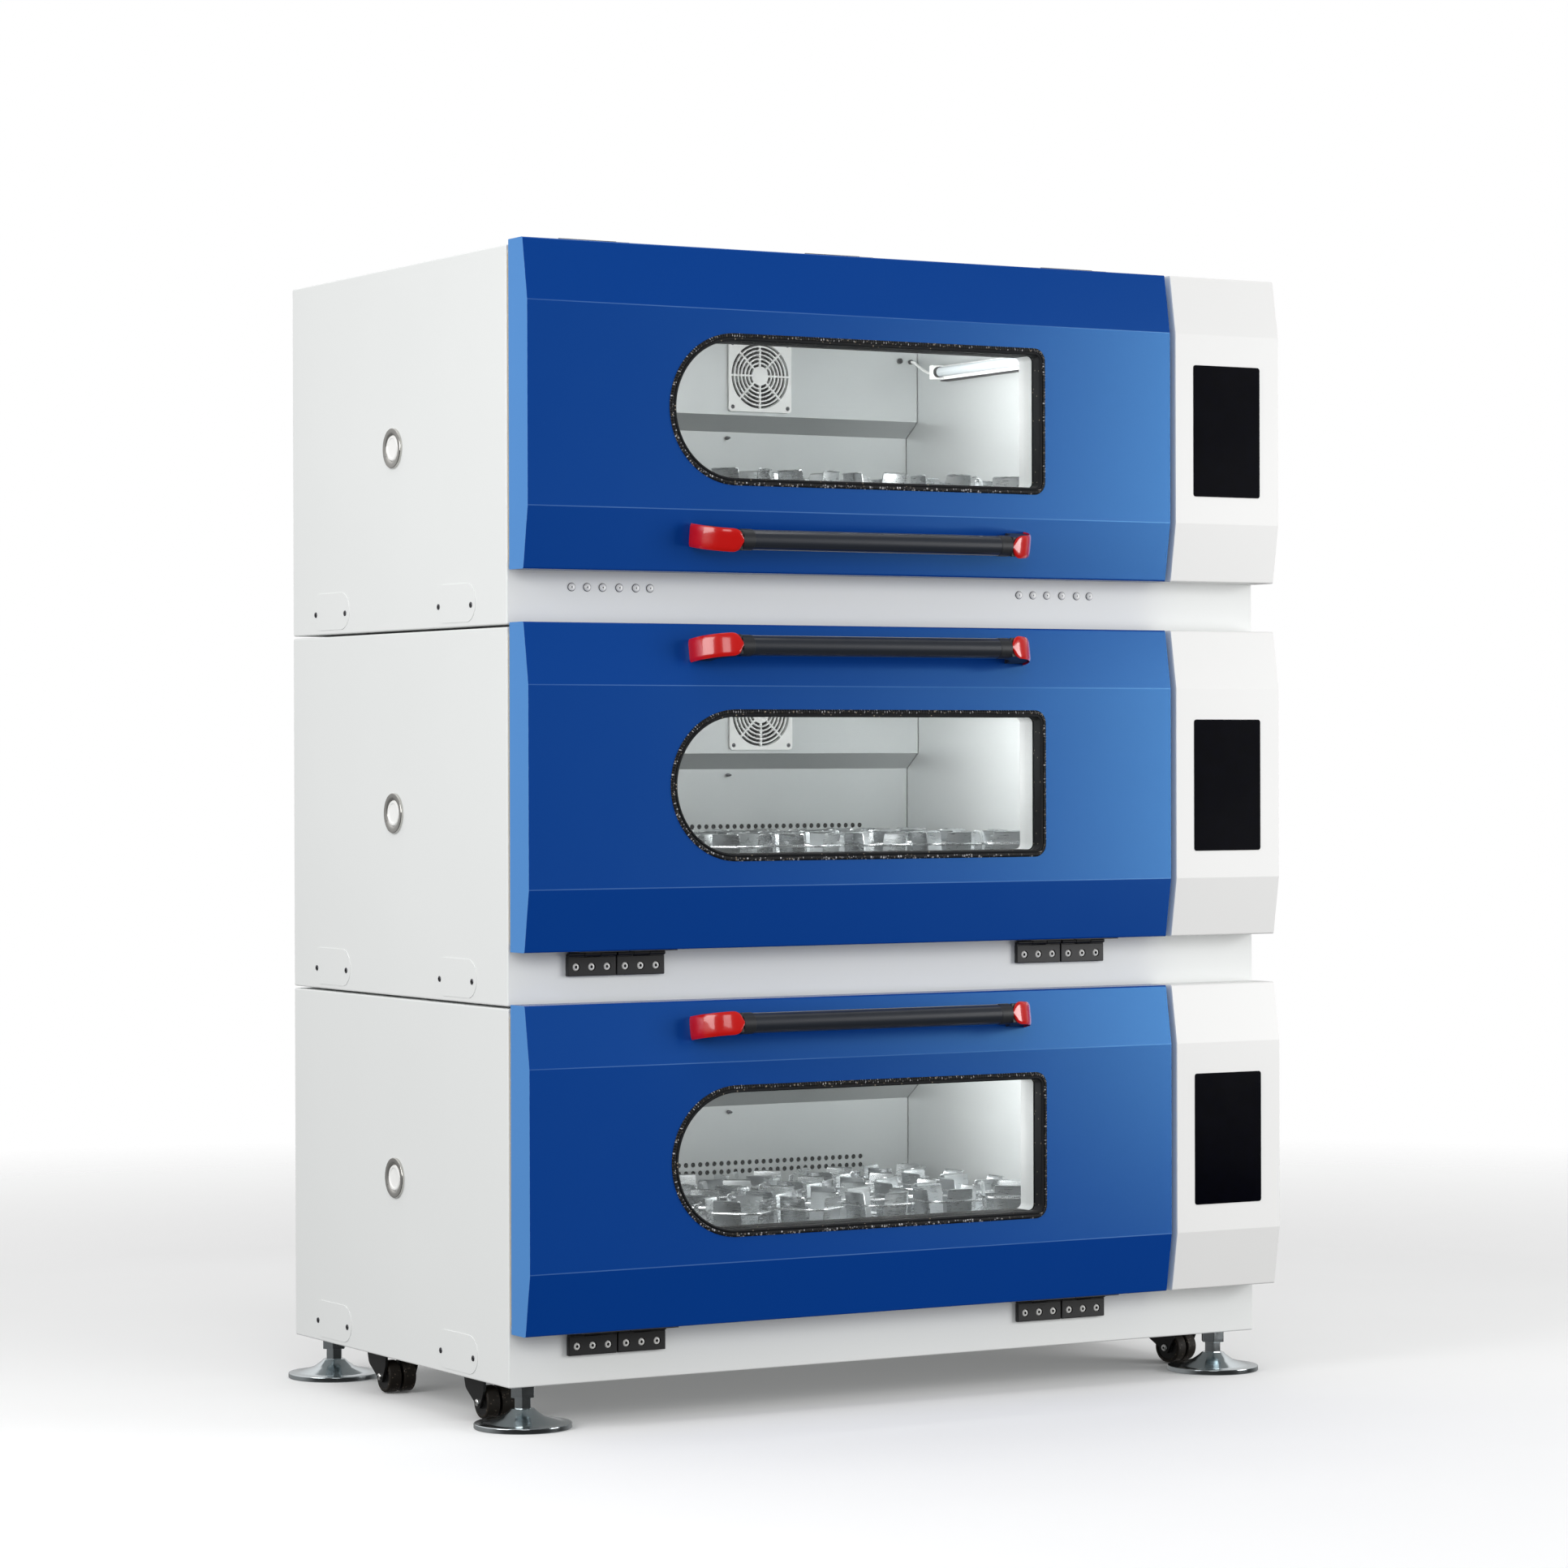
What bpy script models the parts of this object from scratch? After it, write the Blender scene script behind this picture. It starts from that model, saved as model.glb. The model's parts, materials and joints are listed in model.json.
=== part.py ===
"""Stack of three shaking incubators standing on levelling feet and castors.

Every unit is drawn in its own frame: X from the cabinet's left side, Y from the cabinet's
front panel towards the back, Z from the cabinet's underside.  Metres, +Z up.
"""
import math

import bmesh
import bpy
from mathutils import Matrix, Vector

# Stack
UNIT_NAMES = ("lower", "middle", "upper")
TOP_HINGED = ("upper",)
STACK_GAP = 0.0035
FLOOR_DROP = 0.066
FIT = 0.0003
LARGE_ROUND = 24
MEDIUM_ROUND = 16
SMALL_ROUND = 8
FLAT_ANGLE = 0.0005
WELD = 1e-6
FACING_ANGLE = 5.0

# Cabinet casing
CABINET_WIDTH = 1.342
CABINET_DEPTH = 0.756
CABINET_HEIGHT = 0.5565
CASING_SHEET = 0.002
PAD_RADIUS = 0.028
PAD_INSET = 0.110

# Chamber liner
CHAMBER_LEFT = 0.053
CHAMBER_WIDTH = 1.032
CHAMBER_FLOOR = 0.1115
CHAMBER_ROOF_GAP = 0.0365
CHAMBER_DEPTH = 0.640
LINER_SHEET = 0.0015
DUCT_DEPTH = 0.036
DUCT_HEIGHT = 0.149
DUCT_SLOPE = 0.026

# Door
DOOR_LEFT = 0.0013
DOOR_WIDTH = 1.1357
DOOR_BOTTOM = 0.080
DOOR_TOP_RISE = 0.0065
DOOR_EDGE_PROUD = 0.051
DOOR_FACE_PROUD = 0.066
DOOR_FACET = 0.092
DOOR_BACK_GAP = 0.006
DOOR_SHEET = 0.0015

# Control column
COLUMN_GAP = 0.011
COLUMN_WIDTH = 0.199
COLUMN_SHEET = 0.002
SCREEN_LEFT = 0.034
SCREEN_WIDTH = 0.128
SCREEN_BOTTOM = 0.135
SCREEN_HEIGHT = 0.207
SCREEN_CORNER = 0.004
SCREEN_DEPTH = 0.012
SCREEN_PROUD = 0.001
SCREEN_CUT = 0.010

# Window
WINDOW_LEFT = 0.2357
WINDOW_WIDTH = 0.664
WINDOW_BOTTOM = 0.1295
WINDOW_HEIGHT = 0.2265
WINDOW_CORNER = 0.020
WINDOW_CORNER_STEPS = 2
WINDOW_ROUND_STEPS = 12
RUBBER_FACE = 0.011
RUBBER_OVERLAP = 0.006
RUBBER_PROUD = 0.003
PANE_SHEET = 0.006
PANE_GRIP = 0.003
PANE_DEPTH = 0.017

# Handle
HANDLE_CENTRE = 0.5677
HANDLE_GRIP = 0.434
HANDLE_RADIUS = 0.0155
HANDLE_STEP = 0.0006
HANDLE_REACH = 0.062
HANDLE_SOCKET = 0.020
HANDLE_CORE = 0.010
HANDLE_CORE_DEPTH = 0.006
HANDLE_LEG_SPREAD = 0.059
HANDLE_LEG_DEPTH = 0.036
HANDLE_LEG_WIDTH = 0.030
CAP_WALL = 0.003
CAP_WIDTH = 0.035
LEG_STEPS = 6
CAP_TIP_STEPS = 6
HANDLE_UP_TOP_HINGED = 0.0545
HANDLE_DOWN_BOTTOM_HINGED = 0.0405

# Hinges
SILL_HINGE_STARTS = (0.095, 0.885)
SILL_HINGE_LENGTH = 0.163
SILL_HINGE_BOTTOM = 0.042
SILL_HINGE_HEIGHT = 0.0285
SILL_HINGE_THICKNESS = 0.0077
TOP_HINGE_STARTS = (0.086, 0.5075, 0.936)
TOP_HINGE_LENGTH = 0.097
TOP_HINGE_PLATE = 0.028
HINGE_BARREL = 0.0035
HINGE_PIN = 0.0015
HINGE_WEB = 0.0030
HINGE_CLEAR = 0.0010
HINGE_SHEET = 0.0012
HINGE_LEAF = 0.036
HINGE_AXIS_DROP = 0.0055
HINGE_AXIS_OUT = 0.008
TOP_AXIS_RISE = 0.0035
TOP_AXIS_OUT = 0.0015

# Side port
PORT_BACK = 0.382
PORT_UP = 0.280
PORT_BORE = 0.020
PORT_WALL = 0.0018
PORT_FLANGE = 0.031
PORT_FLANGE_SHEET = 0.004

# Fan
FAN_OFFSET = 0.206
FAN_DROP = 0.083
FAN_SIZE = 0.120
FAN_DEPTH = 0.025
FAN_BORE = 0.055
FAN_HUB = 0.019
FAN_BLADES = 7
BLADE_PITCH = 50.0
STRUT_ANGLES = (40.0, 130.0)
FAN_BLADE_SHEET = 0.0015
FAN_TIP_GAP = 0.002
FAN_FRONT_GAP = 0.004
FAN_POST = 0.003
FAN_RING = 0.003
FAN_RING_GAP = 0.0015
FAN_DISC_SHEET = 0.0045
FAN_DISC_ROUND = 10
FAN_HUB_ROUND = 12
GUARD_SHEET = 0.004
GUARD_CORNER = 0.006
GUARD_CORNER_STEPS = 2
GUARD_SLOT_STEPS = 3
GUARD_SPOKES = 4
GUARD_ROWS = 2
GUARD_REACH = 0.049
GUARD_BAR = 0.003
GUARD_HUB = 0.013

# Lamp
LAMP_START = 0.130
LAMP_LENGTH = 0.380
LAMP_DROP = 0.073
LAMP_BASE_WIDTH = 0.024
LAMP_BASE_DEPTH = 0.014
LAMP_HOLDER = 0.012
LAMP_TUBE = 0.008
LAMP_TUBE_OUT = 0.026

# Shaker drive
DRIVE_BACK = 0.300
THROW = 0.0125
BASE_PLATE_WIDTH = 0.320
BASE_PLATE_DEPTH = 0.260
BASE_PLATE_SHEET = 0.006
MOTOR_RADIUS = 0.080
MOTOR_TOP_RADIUS = 0.072
MOTOR_HEIGHT = 0.052
SHAFT_RADIUS = 0.015
SHAFT_DEPTH = 0.040
FLYWHEEL_RADIUS = 0.120
FLYWHEEL_SHEET = 0.012
FLYWHEEL_GAP = 0.004
COUNTERWEIGHT_HEIGHT = 0.014
COUNTERWEIGHT_INNER = 0.060
COUNTERWEIGHT_START = 120.0
COUNTERWEIGHT_END = 240.0
COUNTERWEIGHT_OUTER_STEPS = 8
COUNTERWEIGHT_INNER_STEPS = 4
PIN_RADIUS = 0.0125
FLOOR_HOLE = 0.046

# Platform
PLATFORM_WIDTH = 0.960
PLATFORM_DEPTH = 0.500
PLATFORM_TOP = 0.175
PLATFORM_SHEET = 0.004
PLATFORM_RIM = 0.024
RIB_SHEET = 0.006
RIB_HEIGHT = 0.012
HUB_RADIUS = 0.032
HUB_HEIGHT = 0.030
HUB_BORE_DEPTH = 0.022

# Levelling feet
FOOT_INSET = 0.0465
FOOT_RADIUS = 0.073
FOOT_RIM = 0.008
FOOT_CONE_TOP = 0.017
FOOT_CONE_RADIUS = 0.060
FOOT_CONE_HEIGHT = 0.021
FOOT_CONE_WAIST = 0.033
FOOT_CONE_WAIST_UP = 0.008
FOOT_EDGE = 0.0015
FOOT_HEX = 0.0135
FOOT_HEX_HEIGHT = 0.0165
FOOT_STEM = 0.008
FOOT_STEM_RISE = 0.040
NUT_HEX = 0.0195

# Castors
CASTOR_INSET_X = 0.052
CASTOR_BACKS = (0.175, 0.515)
CASTOR_ANGLES = {"front_left": 0.0, "front_right": 15.0, "rear_left": 0.0, "rear_right": -20.0}
CASTOR_TRAIL = 0.025
CASTOR_LIFT = 0.0015
WHEEL_RADIUS = 0.025
WHEEL_WIDTH = 0.021
WHEEL_GAP = 0.004
WHEEL_HUB = 0.012
WHEEL_ROUND = 14
AXLE_RADIUS = 0.004
FORK_SHEET = 0.004
FORK_SIDE_GAP = 0.0015
FORK_HEAD = 0.021
SWIVEL_HEAD = 0.019
FORK_BRIDGE = 0.006
AXLE_HEAD = 0.0055
AXLE_HEAD_HEIGHT = 0.004
AXLE_HEAD_TOP = 0.0035
TREAD_EDGE = 0.003
FORK_TAIL = 0.021
FORK_EYE = 0.009
FORK_EYE_STEPS = 4
CHEEK_TAIL_DROP = 0.60
CHEEK_NOSE_REACH = 0.60
CHEEK_NOSE_DROP = 0.55

# Values that follow from the sizes above
UNIT_PITCH = CABINET_HEIGHT + STACK_GAP
CHAMBER_TOP = CABINET_HEIGHT - CHAMBER_ROOF_GAP
FAN_UP = CHAMBER_TOP - FAN_DROP
LAMP_UP = CHAMBER_TOP - LAMP_DROP
DOOR_TOP = CABINET_HEIGHT + DOOR_TOP_RISE
COLUMN_LEFT = DOOR_LEFT + DOOR_WIDTH + COLUMN_GAP
CHAMBER_MIDDLE = CHAMBER_LEFT + CHAMBER_WIDTH / 2
FACET_TILT = math.atan2(DOOR_FACE_PROUD - DOOR_EDGE_PROUD, DOOR_FACET)
REAR_REACH = CABINET_DEPTH - FOOT_INSET + FOOT_RADIUS
HANDLE_SEAT_PROUD = DOOR_EDGE_PROUD + HANDLE_UP_TOP_HINGED * math.tan(FACET_TILT)
FRONT_REACH = HANDLE_SEAT_PROUD + HANDLE_REACH * math.cos(FACET_TILT)
STACK_MIDDLE_Y = (REAR_REACH - FRONT_REACH) / 2

COLOURS = {
    "door_blue": ((0.010, 0.070, 0.320), 0.35, 0.0),
    "cabinet_white": ((0.80, 0.81, 0.80), 0.45, 0.0),
    "stainless": ((0.62, 0.63, 0.64), 0.30, 1.0),
    "black_rubber": ((0.015, 0.015, 0.016), 0.70, 0.0),
    "black_plastic": ((0.020, 0.020, 0.022), 0.45, 0.0),
    "black_metal": ((0.025, 0.026, 0.030), 0.35, 0.8),
    "red_plastic": ((0.55, 0.010, 0.008), 0.25, 0.0),
    "screen_glass": ((0.005, 0.005, 0.010), 0.08, 0.0),
    "clear_glass": ((0.80, 0.90, 0.90), 0.03, 0.0),
    "chrome": ((0.75, 0.76, 0.78), 0.12, 1.0),
    "zinc": ((0.66, 0.68, 0.70), 0.28, 1.0),
    "white_plastic": ((0.82, 0.82, 0.81), 0.40, 0.0),
    "cast_metal": ((0.20, 0.21, 0.22), 0.50, 0.8),
}


def clear_scene():
    """Empty the file of every object."""
    for thing in list(bpy.data.objects):
        bpy.data.objects.remove(thing, do_unlink=True)


def make_collection(name):
    """Add a collection to the scene."""
    collection = bpy.data.collections.new(name)
    bpy.context.scene.collection.children.link(collection)
    return collection


def make_material(name):
    """Principled material for one finish."""
    colour, roughness, metallic = COLOURS[name]
    material = bpy.data.materials.new(name)
    material.use_nodes = True
    shader = material.node_tree.nodes["Principled BSDF"]
    shader.inputs["Base Color"].default_value = (*colour, 1.0)
    shader.inputs["Roughness"].default_value = roughness
    shader.inputs["Metallic"].default_value = metallic
    material.diffuse_color = (*colour, 1.0)
    return material


clear_scene()
PARTS = make_collection("shaking_incubator_stack")
CUTTERS = make_collection("cutters")
MATERIALS = {name: make_material(name) for name in COLOURS}


def new_object(name, mesh):
    """Link a mesh as a loose shape among the cutters until it is placed."""
    thing = bpy.data.objects.new(name, mesh)
    thing.hide_render = True
    thing.display_type = "WIRE"
    CUTTERS.objects.link(thing)
    return thing


def merge_flats(shape):
    """Join faces that lie in one plane and drop points along straight edges."""
    bmesh.ops.dissolve_limit(shape, angle_limit=FLAT_ANGLE, verts=shape.verts, edges=shape.edges)


def from_bmesh(name, shape):
    """Object from a bmesh, with its faces turned outwards."""
    merge_flats(shape)
    bmesh.ops.recalc_face_normals(shape, faces=shape.faces)
    mesh = bpy.data.meshes.new(name)
    shape.to_mesh(mesh)
    shape.free()
    return new_object(name, mesh)


def block(low, high):
    """Box between two corners."""
    low, high = Vector(low), Vector(high)
    shape = bmesh.new()
    bmesh.ops.create_cube(shape, size=1.0)
    stretch = Matrix.Diagonal((*(high - low), 1.0))
    bmesh.ops.transform(shape, matrix=Matrix.Translation((low + high) / 2) @ stretch, verts=shape.verts)
    return from_bmesh("block", shape)


def rod(start, end, radius, segments=MEDIUM_ROUND, end_radius=None):
    """Cylinder or cone between two points."""
    start, end = Vector(start), Vector(end)
    along = end - start
    shape = bmesh.new()
    tip = radius if end_radius is None else end_radius
    size = {"radius1": radius, "radius2": tip, "depth": along.length}
    bmesh.ops.create_cone(shape, cap_ends=True, segments=segments, **size)
    turn = Vector((0, 0, 1)).rotation_difference(along).to_matrix().to_4x4()
    bmesh.ops.transform(shape, matrix=Matrix.Translation((start + end) / 2) @ turn, verts=shape.verts)
    return from_bmesh("rod", shape)


def evaluated_mesh(thing):
    """Mesh of an object with its modifiers applied, loose caps welded."""
    bpy.context.view_layer.update()
    graph = bpy.context.evaluated_depsgraph_get()
    mesh = bpy.data.meshes.new_from_object(thing.evaluated_get(graph))
    shape = bmesh.new()
    shape.from_mesh(mesh)
    bmesh.ops.remove_doubles(shape, verts=shape.verts, dist=WELD)
    shape.to_mesh(mesh)
    shape.free()
    return mesh


def settle(thing):
    """Apply an object's modifiers to its mesh."""
    mesh = evaluated_mesh(thing)
    thing.modifiers.clear()
    thing.data = mesh
    return thing


def plate(loops, thickness, turn=None, offset=(0, 0, 0)):
    """Flat outline, with any further loops as holes, extruded to a thickness.

    The outline lies in XY and the plate rises from z = 0; turn and offset then place it.
    """
    curve = bpy.data.curves.new("outline", "CURVE")
    curve.dimensions = "2D"
    curve.fill_mode = "BOTH"
    curve.extrude = thickness / 2
    for loop in loops:
        spline = curve.splines.new("POLY")
        spline.points.add(len(loop) - 1)
        for point, (x, y) in zip(spline.points, loop):
            point.co = (x, y, 0.0, 1.0)
        spline.use_cyclic_u = True
    drawing = bpy.data.objects.new("outline", curve)
    CUTTERS.objects.link(drawing)
    mesh = evaluated_mesh(drawing)
    place = Matrix.Translation(offset) @ (turn or Matrix()) @ Matrix.Translation((0, 0, thickness / 2))
    mesh.transform(place)
    bpy.data.objects.remove(drawing)
    shape = bmesh.new()
    shape.from_mesh(mesh)
    bpy.data.meshes.remove(mesh)
    return from_bmesh("plate", shape)


def turned(profile, segments, matrix=None):
    """Closed profile of (radius, height) points from top to bottom, turned about Z."""
    mesh = bpy.data.meshes.new("profile")
    points = [(radius, 0.0, height) for radius, height in profile]
    mesh.from_pydata(points, [(i, i + 1) for i in range(len(points) - 1)], [])
    thing = new_object("turned", mesh)
    screw = thing.modifiers.new("turn", "SCREW")
    screw.steps = screw.render_steps = segments
    screw.use_merge_vertices = True
    screw.merge_threshold = WELD
    settle(thing)
    if matrix is not None:
        thing.data.transform(matrix)
    return thing


def combine(target, tool, operation="DIFFERENCE"):
    """Boolean of two loose shapes, leaving the first."""
    cut = target.modifiers.new("cut", "BOOLEAN")
    cut.operation = operation
    cut.object = tool
    settle(target)
    bpy.data.objects.remove(tool)
    return target


def join(first, *others):
    """Boolean union of overlapping loose shapes."""
    for other in others:
        combine(first, other, "UNION")
    return first


def several(shapes):
    """Disjoint loose shapes held in one, to cut with them all at once."""
    merged = bmesh.new()
    for shape in shapes:
        merged.from_mesh(shape.data)
        bpy.data.objects.remove(shape)
    return from_bmesh("several", merged)


def mirrored(thing):
    """Mirror image of a loose shape across x = 0."""
    twin = new_object("twin", thing.data.copy())
    twin.data.transform(Matrix.Scale(-1, 4, (1, 0, 0)))
    twin.data.flip_normals()
    return twin


def mirror_away(thing):
    """Mirror image of a loose shape across x = 0, leaving only the image."""
    twin = mirrored(thing)
    bpy.data.objects.remove(thing)
    return twin


def round_off(thing, angle=35.0):
    """Shade round faces smooth and keep edges sharper than the angle."""
    thing.data.shade_smooth()
    thing.data.set_sharp_from_angle(angle=math.radians(angle))


def install(name, shape, material, parent, location=(0, 0, 0)):
    """Give a loose shape its name, finish, parent and place as a finished part."""
    mesh = shape.data
    mesh.name = name
    flats = bmesh.new()
    flats.from_mesh(mesh)
    merge_flats(flats)
    flats.to_mesh(mesh)
    flats.free()
    mesh.materials.clear()
    mesh.materials.append(MATERIALS[material])
    part = bpy.data.objects.new(name, mesh)
    round_off(part)
    PARTS.objects.link(part)
    part.parent = parent
    part.location = location
    bpy.data.objects.remove(shape)
    return part


def install_copy(name, original, parent, location=(0, 0, 0)):
    """Another part that shares the first one's mesh."""
    part = bpy.data.objects.new(name, original.data)
    PARTS.objects.link(part)
    part.parent = parent
    part.location = location
    return part


def marker(name, parent, location, rotation=(0, 0, 0)):
    """Empty that carries parts, on a joint's axis."""
    empty = bpy.data.objects.new(name, None)
    PARTS.objects.link(empty)
    empty.parent = parent
    empty.location = location
    empty.rotation_euler = rotation
    return empty


# Turns that lay an XY outline onto another plane
ONTO_XZ = Matrix.Rotation(math.radians(90), 4, "X")
ONTO_YZ = Matrix.Rotation(math.radians(90), 4, "Z") @ Matrix.Rotation(math.radians(90), 4, "X")


def arc(centre, radius, start, end, steps):
    """Points on a circle, from one angle to another in degrees."""
    angles = [math.radians(start + (end - start) * i / steps) for i in range(steps + 1)]
    return [(centre[0] + radius * math.cos(a), centre[1] + radius * math.sin(a)) for a in angles]


def rectangle(low, high):
    """Corners of a rectangle."""
    return [(low[0], low[1]), (high[0], low[1]), (high[0], high[1]), (low[0], high[1])]


def rounded_rectangle(low, high, radius, steps=3):
    """Rectangle with round corners."""
    points = []
    corners = (
        (low[0] + radius, low[1] + radius, 180),
        (high[0] - radius, low[1] + radius, 270),
        (high[0] - radius, high[1] - radius, 0),
        (low[0] + radius, high[1] - radius, 90),
    )
    for x, y, start in corners:
        points += arc((x, y), radius, start, start + 90, steps)
    return points


def facet_profile(back, inset=0.0):
    """Side outline (y, z) of the door and of the control column, with slanted bands."""
    edge = -(DOOR_EDGE_PROUD - inset)
    face = -(DOOR_FACE_PROUD - inset)
    low = DOOR_BOTTOM + inset
    high = DOOR_TOP - inset
    return [
        (back, low),
        (edge, low),
        (face, DOOR_BOTTOM + DOOR_FACET),
        (face, DOOR_TOP - DOOR_FACET),
        (edge, high),
        (back, high),
    ]


def facet_body(left, width, back):
    """Solid with the facet profile, running along X."""
    return plate([facet_profile(back)], width, ONTO_YZ, (left, 0, 0))


def open_shell(thing, direction, sheet, side=-1.0):
    """Remove the faces that point one way and thicken the rest, inwards (-1) or outwards (+1)."""
    shape = bmesh.new()
    shape.from_mesh(thing.data)
    bmesh.ops.recalc_face_normals(shape, faces=shape.faces)
    limit = math.radians(FACING_ANGLE)
    facing = [face for face in shape.faces if face.normal.angle(Vector(direction)) < limit]
    bmesh.ops.delete(shape, geom=facing, context="FACES")
    shape.to_mesh(thing.data)
    shape.free()
    skin = thing.modifiers.new("skin", "SOLIDIFY")
    skin.thickness = sheet
    skin.offset = side
    skin.use_even_offset = True
    return settle(thing)


def window_outline(grow=0.0):
    """D-shaped window: half circle at the left, round corners at the right (door frame)."""
    left = DOOR_LEFT + WINDOW_LEFT - grow
    right = DOOR_LEFT + WINDOW_LEFT + WINDOW_WIDTH + grow
    low = DOOR_BOTTOM + WINDOW_BOTTOM - grow
    high = DOOR_BOTTOM + WINDOW_BOTTOM + WINDOW_HEIGHT + grow
    radius = (high - low) / 2
    corner = WINDOW_CORNER + grow
    middle = (low + high) / 2
    points = arc((right - corner, low + corner), corner, -90, 0, WINDOW_CORNER_STEPS)
    points += arc((right - corner, high - corner), corner, 0, 90, WINDOW_CORNER_STEPS)
    points += arc((left + radius, middle), radius, 90, 270, WINDOW_ROUND_STEPS)
    return points


def window_slab(grow, near, far, holes=()):
    """Window outline extruded between two depths behind the cabinet's front plane."""
    loops = [window_outline(grow)] + [window_outline(hole) for hole in holes]
    return plate(loops, far - near, ONTO_XZ, (0, far, 0))


def build_cabinet(stacked, opens_up):
    """Sheet-metal casing with the chamber mouth, port hole, stacking pads and fixed hinge leaves."""
    width, depth, height, sheet = CABINET_WIDTH, CABINET_DEPTH, CABINET_HEIGHT, CASING_SHEET
    casing = block((0, 0, 0), (width, depth, height))
    combine(casing, block((sheet, sheet, sheet), (width - sheet, depth - sheet, height - sheet)))
    rim = LINER_SHEET + FIT
    mouth_low = (CHAMBER_LEFT - rim, -sheet, CHAMBER_FLOOR - rim)
    mouth_high = (CHAMBER_LEFT + CHAMBER_WIDTH + rim, 2 * sheet, CHAMBER_TOP + rim)
    combine(casing, block(mouth_low, mouth_high))
    port = PORT_BORE + PORT_WALL + FIT
    combine(casing, rod((-sheet, PORT_BACK, PORT_UP), (2 * sheet, PORT_BACK, PORT_UP), port))
    if stacked:
        drop = STACK_GAP - FIT
        for x in (PAD_INSET, width - PAD_INSET):
            for y in (PAD_INSET, depth - PAD_INSET):
                join(casing, rod((x, y, -drop), (x, y, sheet / 2), PAD_RADIUS, SMALL_ROUND))
    else:
        for x, y in foot_places().values():
            combine(casing, rod((x, y, -sheet), (x, y, 2 * sheet), FOOT_STEM + FIT, SMALL_ROUND))
    if opens_up:
        return join(casing, *[top_fixed_leaf(start) for start in TOP_HINGE_STARTS])
    return join(casing, *[sill_fixed_leaf(start) for start in SILL_HINGE_STARTS])


def build_chamber():
    """Open-fronted stainless liner with the sloping air duct along its back."""
    floor, top = CHAMBER_FLOOR, CHAMBER_TOP
    duct = CHAMBER_DEPTH - DUCT_DEPTH
    duct_foot = top - DUCT_HEIGHT
    profile = [
        (0, floor),
        (CHAMBER_DEPTH, floor),
        (CHAMBER_DEPTH, duct_foot - DUCT_SLOPE),
        (duct, duct_foot),
        (duct, top),
        (0, top),
    ]
    liner = plate([profile], CHAMBER_WIDTH, ONTO_YZ, (CHAMBER_LEFT, 0, 0))
    liner = open_shell(liner, (0, -1, 0), LINER_SHEET, 1.0)
    fan_x = CHAMBER_MIDDLE + FAN_OFFSET
    near, far = duct - LINER_SHEET, duct + 2 * LINER_SHEET
    combine(liner, rod((fan_x, near, FAN_UP), (fan_x, far, FAN_UP), FAN_BORE, LARGE_ROUND))
    low = floor - 2 * LINER_SHEET
    x, y = CHAMBER_MIDDLE, DRIVE_BACK
    combine(liner, rod((x, y, low), (x, y, floor + LINER_SHEET), FLOOR_HOLE))
    port = PORT_BORE + PORT_WALL + FIT
    left = CHAMBER_LEFT - 2 * LINER_SHEET
    right = CHAMBER_LEFT + LINER_SHEET
    combine(liner, rod((left, PORT_BACK, PORT_UP), (right, PORT_BACK, PORT_UP), port))
    return join(liner, build_lamp_channel())


def build_control_housing():
    """Open-backed column cover with the touch screen's cut-out."""
    column = facet_body(COLUMN_LEFT, COLUMN_WIDTH, -FIT)
    column = open_shell(column, (0, 1, 0), COLUMN_SHEET)
    low, high = screen_corners(FIT)
    back = SCREEN_CUT / 2 - DOOR_FACE_PROUD
    cut = plate([rounded_rectangle(low, high, SCREEN_CORNER + FIT)], SCREEN_CUT, ONTO_XZ, (0, back, 0))
    return combine(column, cut)


def screen_corners(grow=0.0):
    """Lower left and upper right corner (x, z) of the touch screen."""
    left = COLUMN_LEFT + SCREEN_LEFT
    low = DOOR_BOTTOM + SCREEN_BOTTOM
    return (left - grow, low - grow), (left + SCREEN_WIDTH + grow, low + SCREEN_HEIGHT + grow)


def build_touch_screen():
    """Black glass panel, a little proud of the column's face."""
    low, high = screen_corners()
    back = -DOOR_FACE_PROUD - SCREEN_PROUD + SCREEN_DEPTH
    return plate([rounded_rectangle(low, high, SCREEN_CORNER)], SCREEN_DEPTH, ONTO_XZ, (0, back, 0))


def build_door_shell(opens_up):
    """Hollow door with slanted bands, the window cut through both skins and its hinge leaves."""
    door = facet_body(DOOR_LEFT, DOOR_WIDTH, -DOOR_BACK_GAP)
    skin = door.modifiers.new("skin", "SOLIDIFY")
    skin.thickness = DOOR_SHEET
    skin.offset = -1.0
    skin.use_even_offset = True
    settle(door)
    cut = window_slab(-RUBBER_OVERLAP, -DOOR_FACE_PROUD - DOOR_SHEET, DOOR_SHEET - DOOR_BACK_GAP)
    combine(door, cut)
    if opens_up:
        return join(door, *[top_moving_leaf(start) for start in TOP_HINGE_STARTS])
    return join(door, *[sill_moving_leaf(start) for start in SILL_HINGE_STARTS])


def build_window_gasket():
    """Rubber frame through the door, with the groove that holds the pane."""
    face = -DOOR_FACE_PROUD
    gasket = window_slab(0.0, face - RUBBER_PROUD, face - FIT)
    join(gasket, window_slab(-RUBBER_OVERLAP - FIT, face - RUBBER_PROUD / 2, -DOOR_BACK_GAP))
    combine(gasket, window_slab(-RUBBER_FACE, face - 2 * RUBBER_PROUD, 0.0))
    near = face + PANE_DEPTH
    return combine(gasket, window_slab(PANE_GRIP - RUBBER_FACE + FIT, near - FIT, near + PANE_SHEET + FIT))


def build_window_glass():
    """Pane held in the gasket's groove."""
    near = PANE_DEPTH - DOOR_FACE_PROUD
    return window_slab(PANE_GRIP - RUBBER_FACE, near, near + PANE_SHEET)


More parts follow.
